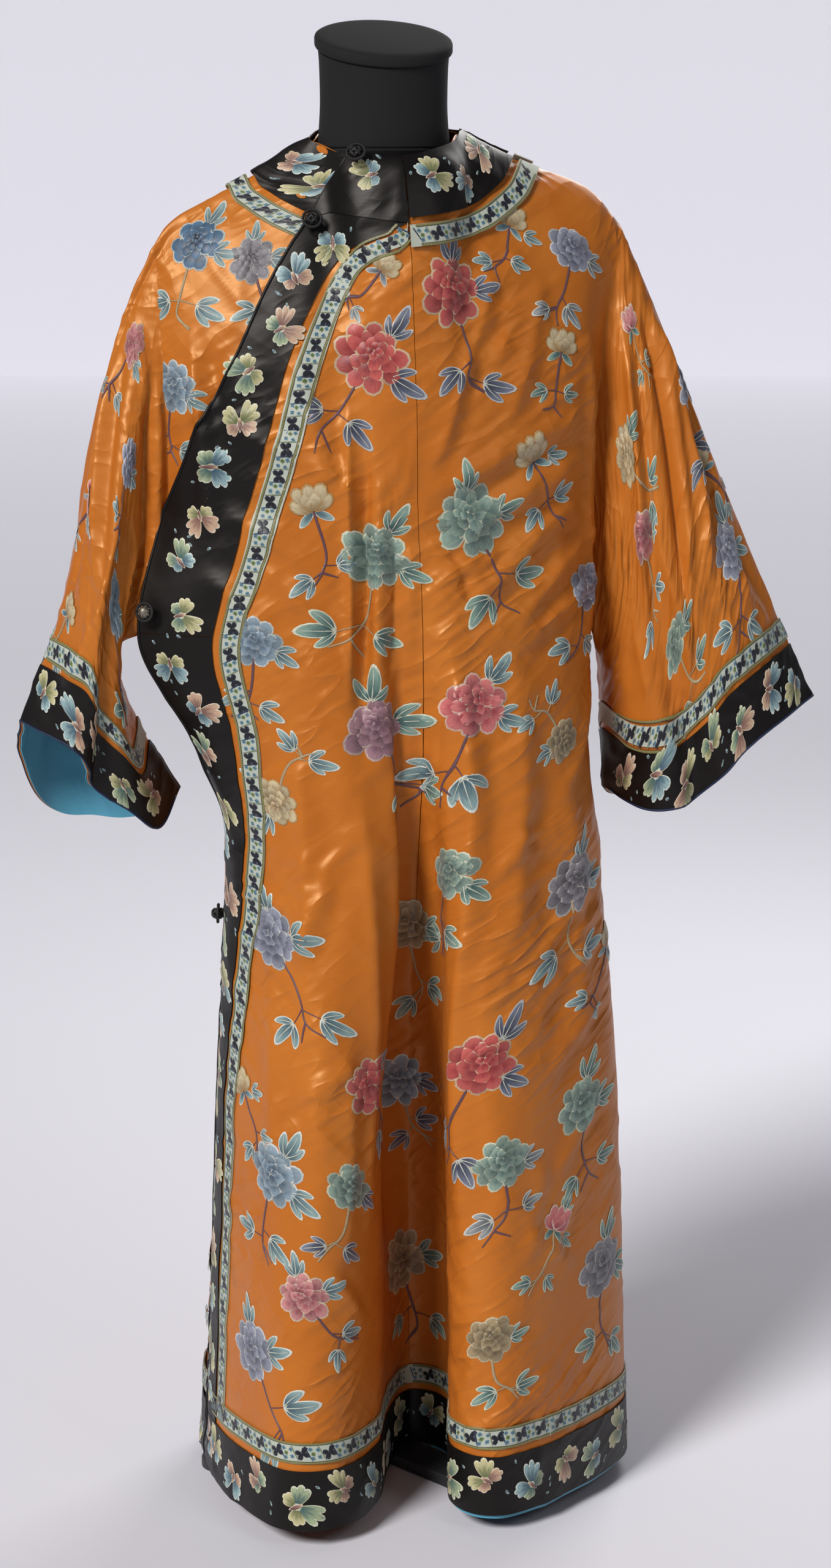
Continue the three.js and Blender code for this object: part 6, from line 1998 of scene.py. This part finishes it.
@dataclass
class Embroidery:
    """All stitched work on the robe."""
    robe: Robe
    yoke: "Yoke"
    stitch: RunningStitch
    band_step: float = 50.0
    made: dict = field(default_factory=dict)

    def sprays(self, name: str, chart: ClothMap, table: Sequence[Spray],
               seed: int) -> bpy.types.Object:
        """Flower sprays of one map."""
        work = Stitchwork(chart, seed)
        for item in table:
            work.spray(chart.spot(item.x, item.z), item.radius, item.silk.value, item.leaf.value,
                       item.way,
                       item.leaves, item.flower)
        return work.build(name)

    def along(self, chart: ClothMap, us: np.ndarray, ws: np.ndarray, step: float,
              start: float) -> list:
        """Flat places and directions at even steps along a line of map places."""
        flat = chart.flat(us, ws)
        run = np.concatenate([[0], np.cumsum(np.linalg.norm(np.diff(flat, axis=0), axis=1))])
        out = []
        for d in np.arange(start, run[-1] - start * 0.6, step):
            here = np.array([np.interp(d, run, flat[:, k]) for k in (0, 1)])
            there = np.array([np.interp(d + 4, run, flat[:, k]) for k in (0, 1)])
            ahead = there - here
            out.append((here, math.atan2(-ahead[0], ahead[1])))
        return out

    def band(self, name: str, chart: ClothMap, us: np.ndarray, ws: np.ndarray, width: float,
             lift: float,
             seed: int) -> bpy.types.Object:
        """Butterflies along the middle line of a black band."""
        work = Stitchwork(chart, seed, lift)
        silks = (Silks.WING_YELLOW, Silks.WING_BLUE, Silks.WING_PEACH, Silks.WING_GREEN)
        rnd = work.random
        for k, (at,
                way) in enumerate(self.along(chart, us, ws, self.band_step, self.band_step * 0.45)):
            side = (1 if k % 2 else -1) * width * 0.1
            spot = at + turned(np.array([[side, 0]]), way)[0]
            turn = way + rnd.uniform(-1.2, 1.2) + (math.pi if k % 3 else 0)
            work.butterfly(spot, turn, width * rnd.uniform(0.36, 0.43), silks[k % 4].value,
                           silks[(k + 1 + k // 4) % 4].value, rnd.uniform(0.65, 1.0))
            for _ in range(2):
                away = turned(np.array([[rnd.uniform(-0.36, 0.36) * width,
                                         rnd.choice((-0.42, 0.42)) * self.band_step]]),
                              way, at)[0]
                work.disk(petal_outline(5, 2.6, 0, 3, 1.1, 0), Silks.WING_BLUE.value,
                          rnd.uniform(0, 6), away, 0, 0.4)
        return work.build(name)

    def ribbon(self, name: str, chart: ClothMap, us: np.ndarray, ws: np.ndarray, width: float,
               lift: float,
               seed: int) -> bpy.types.Object:
        """Woven pattern of a ribbon: edge stripes, slanting bars, dark wings and pale florets."""
        work = Stitchwork(chart, seed, lift)
        flat = chart.flat(us, ws)
        run = np.concatenate([[0], np.cumsum(np.linalg.norm(np.diff(flat, axis=0), axis=1))])
        fine = np.stack([np.interp(np.arange(0.5, run[-1] - 0.5, 5.0), run, flat[:, k])
                         for k in (0, 1)], -1)
        ahead = np.gradient(fine, axis=0)
        side = unit(np.stack([-ahead[:, 1], ahead[:, 0]], -1))
        for off, wide, code in ((0.5, 2.2, "8c8a55"), (-0.5, 2.2, "8c8a55"), (0.385, 0.5, "2b2b30"),
                                (-0.385, 0.5, "2b2b30")):
            inset = abs(off) * width - wide / 2 if abs(off) == 0.5 else abs(off) * width
            work.line(fine + side * math.copysign(inset, off), wide, code, 0.03, 0.08)
        dark, blue, green, rim = (Silk("12141f", "1d2436", "2f3c56"),
                                  Silk("2d6f8c", "6fa0b8", "cfd9cf"),
                                  Silk("3d6b3a", "7f9a55", "c9cf9a"), "31405a")
        for k, (at, way) in enumerate(self.along(chart, us, ws, 13.0, 6.5)):
            if k % 2:
                for lean, long in ((0.45, 8.6), (-0.75, 7.4), (2.4, 6.6), (3.75, 7.0)):
                    work.disk(petal_outline(long, 5.0, 0.08, 3, 0.85, 0.3), dark, way + lean + 0.5,
                              at, 0.05, 0.2)
            else:
                for j, (x,
                        y) in enumerate(((-3.6, 2.6), (3.2, 3.4), (0.2, -2.4), (-4.4, -4.6),
                                         (4.6, -3.2))):
                    spot = turned(np.array([[x, y]]), way, at)[0]
                    for q in range(4):
                        work.disk(petal_outline(2.3, 2.1, 0, 3, 0.8, 0.3),
                                  green if j % 3 == 2 else blue,
                                  way + q * math.pi / 2 + j, spot, 0.05, 0.15)
            bar = np.array([[-0.34 * width, -9.5], [0.34 * width, -4.0]])
            work.line(turned(np.linspace(bar[0], bar[1], 5), way, at), 1.5,
                      "8a9478" if k % 2 else rim, 0.03, 0.1)
        rows = [chart.lifted(*chart.place(fine + side * off * (width - 2.4)),
                             np.full(len(fine), lift + 0.2))
                for off in (-0.5, 0.5)]
        self.stitch.lay(name.replace("ribbon_pattern", "stitches"), rows, Finish.STITCH)
        return work.build(name)

    def build(self) -> dict:
        """Makes all of it and returns which pieces lie on which cloth nodes."""
        maps, charts, over = self.robe.maps, self.yoke.maps, OVER + 0.7
        made = {"front": self.sprays("embroidery_front", maps.front, FRONT_SPRAYS, 3),
                "inner": self.sprays("embroidery_shoulder", maps.inner, INNER_SPRAYS, 4),
                "back": self.sprays("embroidery_back", maps.back, BACK_SPRAYS, 5)}
        for k, (key, table) in enumerate(SLEEVE_SPRAYS.items()):
            made[key] = self.sprays(f"embroidery_sleeve_{key[0]}_{key[1]}", maps.sleeves[key],
                                    table, 11 + k)
        ws = np.linspace(YOKE_ROW + 0.03, 2 - 0.008, 260)
        lines = BorderLines.at(ws)
        middle = (lines.start + lines.inner) / 2 + 0.04 * (ws > 1)
        made["side_band"] = self.band("butterflies_closing", maps.front, middle, ws, BAND_WIDTH,
                                      over, 21)
        above = np.linspace(0.015, YOKE_ROW - 0.02, 60)
        inward = closing_station(above) * 0.55 + CENTRE * 0.45
        made["yoke_overlap"] = self.band("butterflies_yoke_overlap", maps.front, inward, above,
                                         BAND_WIDTH,
                                         OVER + 1.9, 25)
        ribbon = (lines.ribbon_outer + lines.ribbon_inner) / 2
        low = ws < fall_of(HEM_Z + RIBBON_FOOT)
        made["side_ribbon"] = self.ribbon("ribbon_pattern_closing", maps.front, ribbon[low],
                                          ws[low], RIBBON_WIDTH,
                                          over, 22)
        for where, chart, first, last in (("front_right", maps.front, 0.9, CENTRE - 0.1),
                                          ("front_left", maps.front, CENTRE + 0.1, LAST - 0.05),
                                          ("back_right", maps.back, 0.1, CENTRE - 0.1),
                                          ("back_left", maps.back, CENTRE + 0.1, LAST - 0.1)):
            us = np.linspace(first, last, 240)
            band_w = np.full_like(us, fall_of(HEM_Z + BAND_WIDTH / 2))
            made["hem", where] = self.band(f"butterflies_hem_{where}", chart, us, band_w,
                                           BAND_WIDTH, over, 31)
            strip_w = np.full_like(us, fall_of(HEM_Z + RIBBON_FOOT + RIBBON_WIDTH / 2))
            made["hem_ribbon", where] = self.ribbon(f"ribbon_pattern_hem_{where}", chart, us,
                                                    strip_w,
                                                    RIBBON_WIDTH, over, 41)
        s = np.linspace(0.02, 0.98, 200)
        for key, chart in maps.sleeves.items():
            for kind, distance, maker, width in (("butterflies", BAND_WIDTH / 2, self.band,
                                                  BAND_WIDTH),
                                                 ("ribbon_pattern", RIBBON_FOOT + RIBBON_WIDTH / 2,
                                                  self.ribbon,
                                                  RIBBON_WIDTH)):
                t = self.robe.sleeve_lines(key[0], key[1], s, (distance,))[0]
                made[kind, key] = maker(f"{kind}_cuff_{key[0]}_{key[1]}", chart, s, t, width, over,
                                        51)
        for name, chart in charts.items():
            us = np.linspace(chart.us[2], chart.us[-3], 200)
            half = np.full_like(us, chart.ws[-1] * 0.5)
            if "ribbon" in name:
                made[name] = self.ribbon(f"ribbon_pattern_{name}", chart, us, half, RIBBON_WIDTH,
                                         0.8, 61)
            else:
                made[name] = self.band(f"butterflies_{name}", chart, us, half, YOKE_WIDTH, 0.8, 62)
        self.made = made
        return made


@dataclass
class Piping:
    """Narrow plain binding along the closing edge and the sleeve ends."""
    robe: Robe
    radius: float = 1.1
    lift: float = OVER + 0.4

    def lay(self, name: str, path: np.ndarray, finish: Finish, radius: float) -> None:
        """Makes one round binding along points."""
        obj = finish.dress(new_mesh(name, *tube(path, radius, 8)))
        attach(obj, "root")

    def build(self) -> None:
        """Makes all bindings."""
        ws = np.linspace(0.03, fall_of(HEM_Z + 4), 420)
        edge = self.robe.maps.front.lifted(closing_station(ws), ws, np.full_like(ws, self.lift))
        self.lay("piping_closing", edge, Finish.BLACK, self.radius * 1.5)
        s = np.linspace(0.01, 0.99, 160)
        for (name, face), chart in self.robe.maps.sleeves.items():
            t = self.robe.sleeve_lines(name, face, s, (1.2,))[0]
            edge = chart.lifted(s, t, np.full_like(s, self.lift))
            self.lay(f"piping_cuff_{name}_{face}", edge, Finish.PIPING, self.radius)


# ---------- dress form, stand and fasteners ----------
FORM_RINGS = ((640, 128, 84, 88), (700, 150, 96, 102), (790, 156, 98, 104), (880, 134, 88, 88),
              (960, 122, 84, 78), (1050, 138, 100, 82), (1130, 152, 98, 86), (1200, 166, 68, 70),
              (1250, 172, 46, 48), (1274, 156, 34, 36), (1292, 126, 28, 30), (1308, 96, 32, 32),
              (1324, 74, 44, 40), (1346, 64, 55, 49))


def rings_object(name: str, rows: Sequence[np.ndarray]) -> bpy.types.Object:
    """Closed solid through rings of points, lowest first, with both ends capped."""
    count = len(rows[0])
    faces = []
    for k in range(len(rows) - 1):
        for i in range(count):
            j = (i + 1) % count
            faces.append((k * count + i, k * count + j, (k + 1) * count + j, (k + 1) * count + i))
    faces.append(tuple(range(count))[::-1])
    faces.append(tuple(range((len(rows) - 1) * count, len(rows) * count)))
    return new_mesh(name, np.concatenate(rows), faces)


@dataclass
class DressForm:
    """The limbless form, its neck and cap, and the stand."""
    sides: int = 72
    neck_a: float = 65.0
    neck_b: float = 55.0
    neck_bottom: float = 1346.3
    neck_top: float = 1440.0
    tilt: float = 0.34
    pole: float = 15.0
    pole_top: float = 639.7
    legs: int = 3
    leg_length: float = 196.0
    leg_width: float = 44.0
    leg_height: float = 12.0
    hub: float = 34.0
    collar: tuple = (24.0, 19.0, 60.0)

    def turn(self) -> np.ndarray:
        """Angles round a ring."""
        return np.arange(self.sides) / self.sides * 2 * math.pi

    def torso(self) -> bpy.types.Object:
        """The jersey-covered body."""
        table = np.array(FORM_RINGS, float)
        k = np.linspace(0, len(table) - 1, 110)
        z, a, f, b = curve_across(table, k).T
        rows = []
        for i in range(len(k)):
            y = np.where(np.sin(self.turn()) < 0, f[i], b[i]) * np.sin(self.turn())
            rows.append(np.stack([a[i] * np.cos(self.turn()), y, np.full(self.sides, z[i])], -1))
        return rings_object("form_torso_skin", rows)

    def neck_ring(self, z: float, scale: float, tilt: float) -> np.ndarray:
        """Points round the neck."""
        y = self.neck_b * scale * np.sin(self.turn())
        return np.stack([self.neck_a * scale * np.cos(self.turn()), y, z + y * tilt], -1)

    def neck(self) -> bpy.types.Object:
        """The neck stump."""
        table = np.array([(self.neck_bottom, 1, 0), (1368, 0.975, 0.09), (1390, 0.96, 0.2),
                          (self.neck_top - 18, 0.97, self.tilt * 0.8),
                          (self.neck_top, 0.99, self.tilt)])
        k = np.linspace(0, len(table) - 1, 30)
        return rings_object("form_neck_skin",
                            [self.neck_ring(*row) for row in curve_across(table, k)])

    def cap(self) -> bpy.types.Object:
        """The tilted cap with a rounded rim."""
        low = self.neck_top + 0.3
        rows = [(low, 0.9), (low, 1.01), (low + 0.8, 1.03), (low + 2, 1.04), (low + 8, 1.04),
                (low + 9.6, 1.03),
                (low + 10.8, 1.0), (low + 11.6, 0.94), (low + 12, 0.86)]
        return rings_object("form_cap_skin", [self.neck_ring(z, s, self.tilt) for z, s in rows])

    def round_bar(self, name: str, rows: Sequence[tuple[float, float]]) -> bpy.types.Object:
        """A turned piece through radius and height pairs."""
        return rings_object(name, [np.stack([r * np.cos(self.turn()), r * np.sin(self.turn()),
                                             np.full(self.sides, z)], -1) for r, z in rows])

    def base(self) -> bpy.types.Object:
        """The three-legged foot with eased edges."""
        half, points = self.leg_width / 2, []
        for k in range(self.legs):
            angle = math.pi + k * 2 * math.pi / self.legs
            along = np.array([math.cos(angle), math.sin(angle)])
            across = np.array([-along[1], along[0]])
            points += [along * self.hub - across * half]
            for j in range(13):
                bend = -math.pi / 2 + j * math.pi / 12
                points.append(along * (self.leg_length - half + half * math.cos(bend))
                              + across * half * math.sin(bend))
            points += [along * self.hub + across * half]
        outline = np.array(points)
        inward = unit(-outline)
        rows = []
        for z, inset in ((0, 1.2), (0.6, 0.3), (1.4, 0), (self.leg_height - 2.4, 0),
                         (self.leg_height - 1, 0.6),
                         (self.leg_height - 0.25, 1.6), (self.leg_height, 3)):
            ring = outline + inward * inset
            rows.append(np.column_stack([ring, np.full(len(ring), z)]))
        return rings_object("stand_base_plate", rows)

    def build(self) -> None:
        """Makes the form and the stand."""
        foot, collar, top = self.collar
        low = self.leg_height + 0.3
        made = {
            "form_torso": (self.torso(), Finish.JERSEY), "form_neck": (self.neck(), Finish.JERSEY),
            "form_cap": (self.cap(), Finish.JERSEY),
            "stand_pole": (self.round_bar("stand_pole_tube", ((13.6, top + 0.3), (15, top + 1.6),
                                                              (15, self.pole_top - 1),
                                                              (14, self.pole_top))),
                           Finish.STAND),
            "stand_base": (self.base(), Finish.STAND),
            "stand_collar": (self.round_bar("stand_collar_cone", (
                (foot - 1, low), (foot, low + 1.2), (foot - 0.6, low + 3), (collar + 0.4, top - 3),
                (collar, top - 1), (collar - 1.2, top))), Finish.STAND)}
        for node, (obj, finish) in made.items():
            finish.dress(obj)
            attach(obj, "root")
            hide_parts(node)


@dataclass
class Fasteners:
    """Knot balls with their cord loops, and the silver ball at the underarm."""
    chart: ClothMap
    radius: float = 6.5
    cord: float = 1.7
    air: float = 3.4
    along_side: float = 6.0
    side_z: float = 596.0

    def knot(self, centre: np.ndarray, turns: int = 5, phase: float = 0.0) -> tuple[np.ndarray,
                                                                                    list]:
        """A ball of cord: a closed path that winds round a sphere."""
        k = np.arange(220) / 220 * 2 * math.pi
        lean = 0.92 * np.sin(k * turns)
        turn = k * 2 + phase + 0.35 * np.sin(k * turns * 2)
        r = (self.radius - self.cord * 0.55) * (1 + 0.05 * np.cos(k * turns * 2))
        path = np.stack([r * np.cos(turn) * np.cos(lean), r * np.sin(turn) * np.cos(lean),
                         r * np.sin(lean)], -1)
        return tube(path + centre, self.cord * 0.78, 8, True)

    def ball(self, centre: np.ndarray, radius: float) -> tuple[np.ndarray, list]:
        """A plain sphere, the knot's core."""
        rows, sides = 20, 28
        lean = np.linspace(-math.pi / 2 + 0.12, math.pi / 2 - 0.12, rows)
        turn = np.arange(sides) / sides * 2 * math.pi
        points = np.concatenate([np.stack([radius * math.cos(a) * np.cos(turn),
                                           radius * math.cos(a) * np.sin(turn),
                                           np.full(sides, radius * math.sin(a))], -1)
                                 for a in lean])
        faces = [(k * sides + i, k * sides + (i + 1) % sides, (k + 1) * sides + (i + 1) % sides,
                  (k + 1) * sides + i)
                 for k in range(rows - 1) for i in range(sides)]
        faces.append(tuple(range(sides))[::-1])
        faces.append(tuple(range((rows - 1) * sides, rows * sides)))
        return points + centre, faces

    def filigree(self, centre: np.ndarray) -> tuple[np.ndarray, list]:
        """Wire rings over the silver ball."""
        points, faces = self.ball(centre, self.radius - 0.5)
        points, faces = [points], list(faces)
        golden = math.pi * (3 - math.sqrt(5))
        for k in range(26):
            z = 1 - 2 * (k + 0.5) / 26
            out = np.array([math.cos(golden * k) * math.sqrt(1 - z * z),
                            math.sin(golden * k) * math.sqrt(1 - z * z), z])
            side = unit(np.cross(out, (0.3, 0.5, 0.8)))
            up = np.cross(out, side)
            bend = np.arange(12) / 12 * 2 * math.pi
            path = centre + out * (self.radius - 0.35) + 1.15 * (np.cos(bend)[:, None] * side
                                                                 + np.sin(bend)[:, None] * up)
            p, f = tube(path, 0.28, 5, True)
            base = sum(len(q) for q in points)
            points.append(p)
            faces += [tuple(v + base for v in face) for face in f]
        return np.concatenate(points), faces

    def loop(self, centre: np.ndarray, out: np.ndarray) -> tuple[np.ndarray, list]:
        """The twisted cord loop round a ball, with its two ends sewn down."""
        side = unit(np.cross(out, (0, 0, 1.0)))
        up = np.cross(side, out)
        turn = np.linspace(0, 2 * math.pi, 60, endpoint=False)
        r = self.radius + self.cord + 0.5
        path = centre + r * (np.cos(turn)[:, None] * side + np.sin(turn)[:, None] * up)
        points, faces = [], []
        for phase in (0.0, math.pi):
            twist = turn * 14 + phase
            offset = 0.72 * (np.cos(twist)[:,
                                           None] * (np.cos(turn)[:, None] * side
                                                    + np.sin(turn)[:, None] * up)
                             + np.sin(twist)[:, None] * out)
            p, f = tube(path + offset, self.cord * 0.58, 6, True)
            base = sum(len(q) for q in points)
            points.append(p)
            faces += [tuple(v + base for v in face) for face in f]
        return np.concatenate(points), faces

    def build(self) -> None:
        """Makes the four fasteners."""
        for name, x, z in (("neck", -40, 1334), ("collar", -84, 1274), ("underarm", -242, 905)):
            u, w = self.find(x, z)
            out = front_normal(u, np.maximum(w, 0.02))
            self.fasten(name, front(u, w) + out * (CHEST_LIFT + TRIM / 2 + self.air), out)
        w = np.array([fall_of(self.side_z)])
        u = reach_front(w, np.zeros(1), np.array([self.along_side]))
        out = front_normal(u, w)[0]
        self.fasten("side", front(u, w)[0] + out * (OVER + TRIM / 2), out)

    def find(self, x: float, z: float) -> tuple[np.ndarray, np.ndarray]:
        """Station and fall of the front point with this x and z."""
        u, w = np.array(3.0), np.array(0.6)
        e = 0.004
        for _ in range(60):
            p, pu, pw = front(u, w), front(u + e, w), front(u, w + e)
            a, b, c, d = (pu[0] - p[0]) / e, (pw[0] - p[0]) / e, (pu[2] - p[2]) / e, (pw[2]
                                                                                      - p[2]) / e
            det = a * d - b * c
            dx, dz = x - p[0], z - p[2]
            u = np.clip(u + np.clip((d * dx - b * dz) / det, -0.6, 0.6), 0, LAST - 0.01)
            w = np.clip(w + np.clip((a * dz - c * dx) / det, -0.12, 0.12), 0, 1.9)
        return u, w

    def fasten(self, name: str, p: np.ndarray, out: np.ndarray) -> None:
        """Makes one ball and its loop."""
        centre = p + out * (self.radius + 0.3)
        if name == "underarm":
            ball = new_mesh("button_underarm_ball", *self.filigree(centre))
            Finish.METAL.dress(ball)
        else:
            core, core_faces = self.ball(centre, self.radius - self.cord)
            wound, wound_faces = self.knot(centre, 5, hash_turn(name))
            faces = core_faces + [tuple(v + len(core) for v in f) for f in wound_faces]
            ball = new_mesh(f"button_{name}_knot", np.concatenate([core, wound]), faces)
            Finish.CORD.dress(ball)
        loop = new_mesh(f"loop_{name}_cord", *self.loop(centre, out))
        Finish.CORD.dress(loop)
        for obj, node in ((ball, f"button_{name}"), (loop, f"loop_{name}")):
            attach(obj, "root")
            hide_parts(node)


@dataclass(frozen=True)
class Cut:
    """Flat size of a cloth piece in metres: its longest runs, folds opened out, and its area."""
    width: float
    length: float
    area: float


BODY_CLOTHS = ("right_body", "left_body", "front_overlap")


def declare_cloth(robe: Robe) -> None:
    """Works out for every cloth piece whether it is a trim and which piece it rests on, and keeps
    neither.
    """
    for node, obj in robe.pieces.items():
        trim = node not in BODY_CLOTHS and not node.startswith("sleeve")
        rests = ["form_torso_skin"] if node in BODY_CLOTHS else ["robe_left_body" if "left" in node
                                                                 else "robe_right_body"]
        if node in ("side_band", "side_ribbon", "placket_band", "placket_ribbon",
                    "hem_band_overlap",
                    "hem_ribbon_overlap", "yoke_overlap"):
            rests = ["robe_front_overlap"]
        if node.startswith("cuff"):
            rests = ["robe_sleeve_left" if "left" in node else "robe_sleeve_right"]


def count_triangles() -> tuple[int, int]:
    """Triangles of all pieces and of the largest one."""
    each = [sum(len(p.vertices) - 2 for p in o.data.polygons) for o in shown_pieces()
            if o.type == "MESH"]
    return sum(each), max(each)


def hash_turn(name: str) -> float:
    """A fixed angle for a name, so that the knots are turned differently."""
    return sum(map(ord, name)) % 7 * 0.9


# ---------- studio ----------
@dataclass(frozen=True)
class Studio:
    """Camera, pale floor and soft light."""
    height: float = 1360.0
    distance: float = 3300.0
    azimuth: float = -13.0
    pitch: float = 11.07
    sideways: float = 30.9
    lens: float = 76.33
    wall_distance: float = 15800.0
    wall_half: float = 15000.0
    wall_top: float = 9000.0
    floor_half: float = 24000.0

    def camera(self) -> None:
        """Places the fitted camera."""
        turn = math.radians(self.azimuth)
        back_way = Vector((math.sin(turn), -math.cos(turn), 0))
        right_way = Vector((math.cos(turn), math.sin(turn), 0))
        data = bpy.data.cameras.new("camera")
        data.sensor_fit, data.sensor_width, data.lens = "AUTO", 36.0, self.lens
        data.clip_end = 60.0
        obj = bpy.data.objects.new("camera", data)
        obj.location = (back_way * self.distance + right_way * self.sideways
                        + Vector((0, 0, self.height))) * MM
        obj.rotation_euler = (math.radians(90 - self.pitch), 0, turn)
        bpy.context.scene.collection.objects.link(obj)
        bpy.context.scene.camera = obj

    def sheet(self, name: str, corners: Sequence[Sequence[float]]) -> None:
        """A large pale stage surface."""
        obj = new_mesh(name, np.array(corners, float), [(0, 1, 2, 3)], False)
        Finish.FLOOR.dress(obj)
        obj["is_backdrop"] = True

    def backdrop(self) -> None:
        """Floor and a far wall behind the object, square to the camera."""
        turn = math.radians(self.azimuth)
        away = np.array([-math.sin(turn), math.cos(turn)]) * self.wall_distance
        along = np.array([math.cos(turn), math.sin(turn)]) * self.wall_half
        low, half = -0.5, self.floor_half
        self.sheet("studio_floor",
                   ((-half, -half, low), (half, -half, low), (half, half, low), (-half, half, low)))
        a, b = away - along, away + along
        self.sheet("studio_wall", ((*a, low), (*b, low), (*b, self.wall_top), (*a, self.wall_top)))

    def light(self, name: str, at: Sequence[float], look: Sequence[float], size: float,
              power: float,
              colour: Sequence[float]) -> None:
        """A square soft light aimed at a point."""
        data = bpy.data.lights.new(name, "AREA")
        data.size, data.energy, data.color = size * MM, power, tuple(colour)
        obj = bpy.data.objects.new(name, data)
        obj.location = Vector(at) * MM
        obj.rotation_euler = (Vector(look) - Vector(at)).to_track_quat("-Z", "Y").to_euler()
        bpy.context.scene.collection.objects.link(obj)

    def main_light(self, way: Sequence[float], strength: float, spread: float,
                   colour: Sequence[float]) -> None:
        """A broad distant light that comes from a direction."""
        data = bpy.data.lights.new("key", "SUN")
        data.energy, data.angle, data.color = strength, math.radians(spread), tuple(colour)
        obj = bpy.data.objects.new("key", data)
        obj.location = Vector(way).normalized() * 6
        obj.rotation_euler = Vector(way).to_track_quat("Z", "Y").to_euler()
        bpy.context.scene.collection.objects.link(obj)

    def build(self) -> None:
        """Sets up camera, backdrop, lights and the pale surroundings."""
        self.camera()
        self.backdrop()
        self.main_light((-0.64, -0.56, 0.66), 3.3, 18.0, (1.0, 0.975, 0.955))
        self.light("fill", (1700, -3000, 2900), (0, 0, 900), 1200, 12, (0.96, 0.98, 1.0))
        self.light("rim", (1500, 1900, 2600), (0, 0, 800), 1200, 36, (1.0, 0.98, 0.96))
        world = bpy.data.worlds.new("surroundings")
        world.use_nodes = True
        shade = world.node_tree.nodes["Background"]
        shade.inputs[0].default_value = srgb("e0e0ea")
        shade.inputs[1].default_value = 0.12
        bpy.context.scene.world = world
        bpy.context.scene.view_settings.view_transform = "Standard"


def main() -> None:
    """Builds and dresses every piece in order."""
    logging.basicConfig(level=logging.INFO, format="%(message)s")
    maps = RobeMaps.make()
    LOG.info("maps measured")
    robe = Robe(maps)
    robe.right_body()
    LOG.info("right body")
    robe.left_body()
    LOG.info("left body")
    robe.front_overlap()
    LOG.info("outer front")
    robe.sleeves()
    LOG.info("sleeves and cuffs")
    robe.trims()
    LOG.info("borders, ribbons and lining")
    yoke = Yoke(robe)
    yoke.build()
    LOG.info("yoke")
    Embroidery(robe, yoke, RunningStitch().make()).build()
    Piping(robe).build()
    LOG.info("embroidery")
    DressForm().build()
    LOG.info("dress form and stand")
    Fasteners(maps.front).build()
    LOG.info("knots and loops")
    declare_cloth(robe)
    Studio().build()
    LOG.info("studio")
    LOG.info("triangles in all and in the largest piece: %s %s", *count_triangles())


if __name__ == "__main__":
    main()
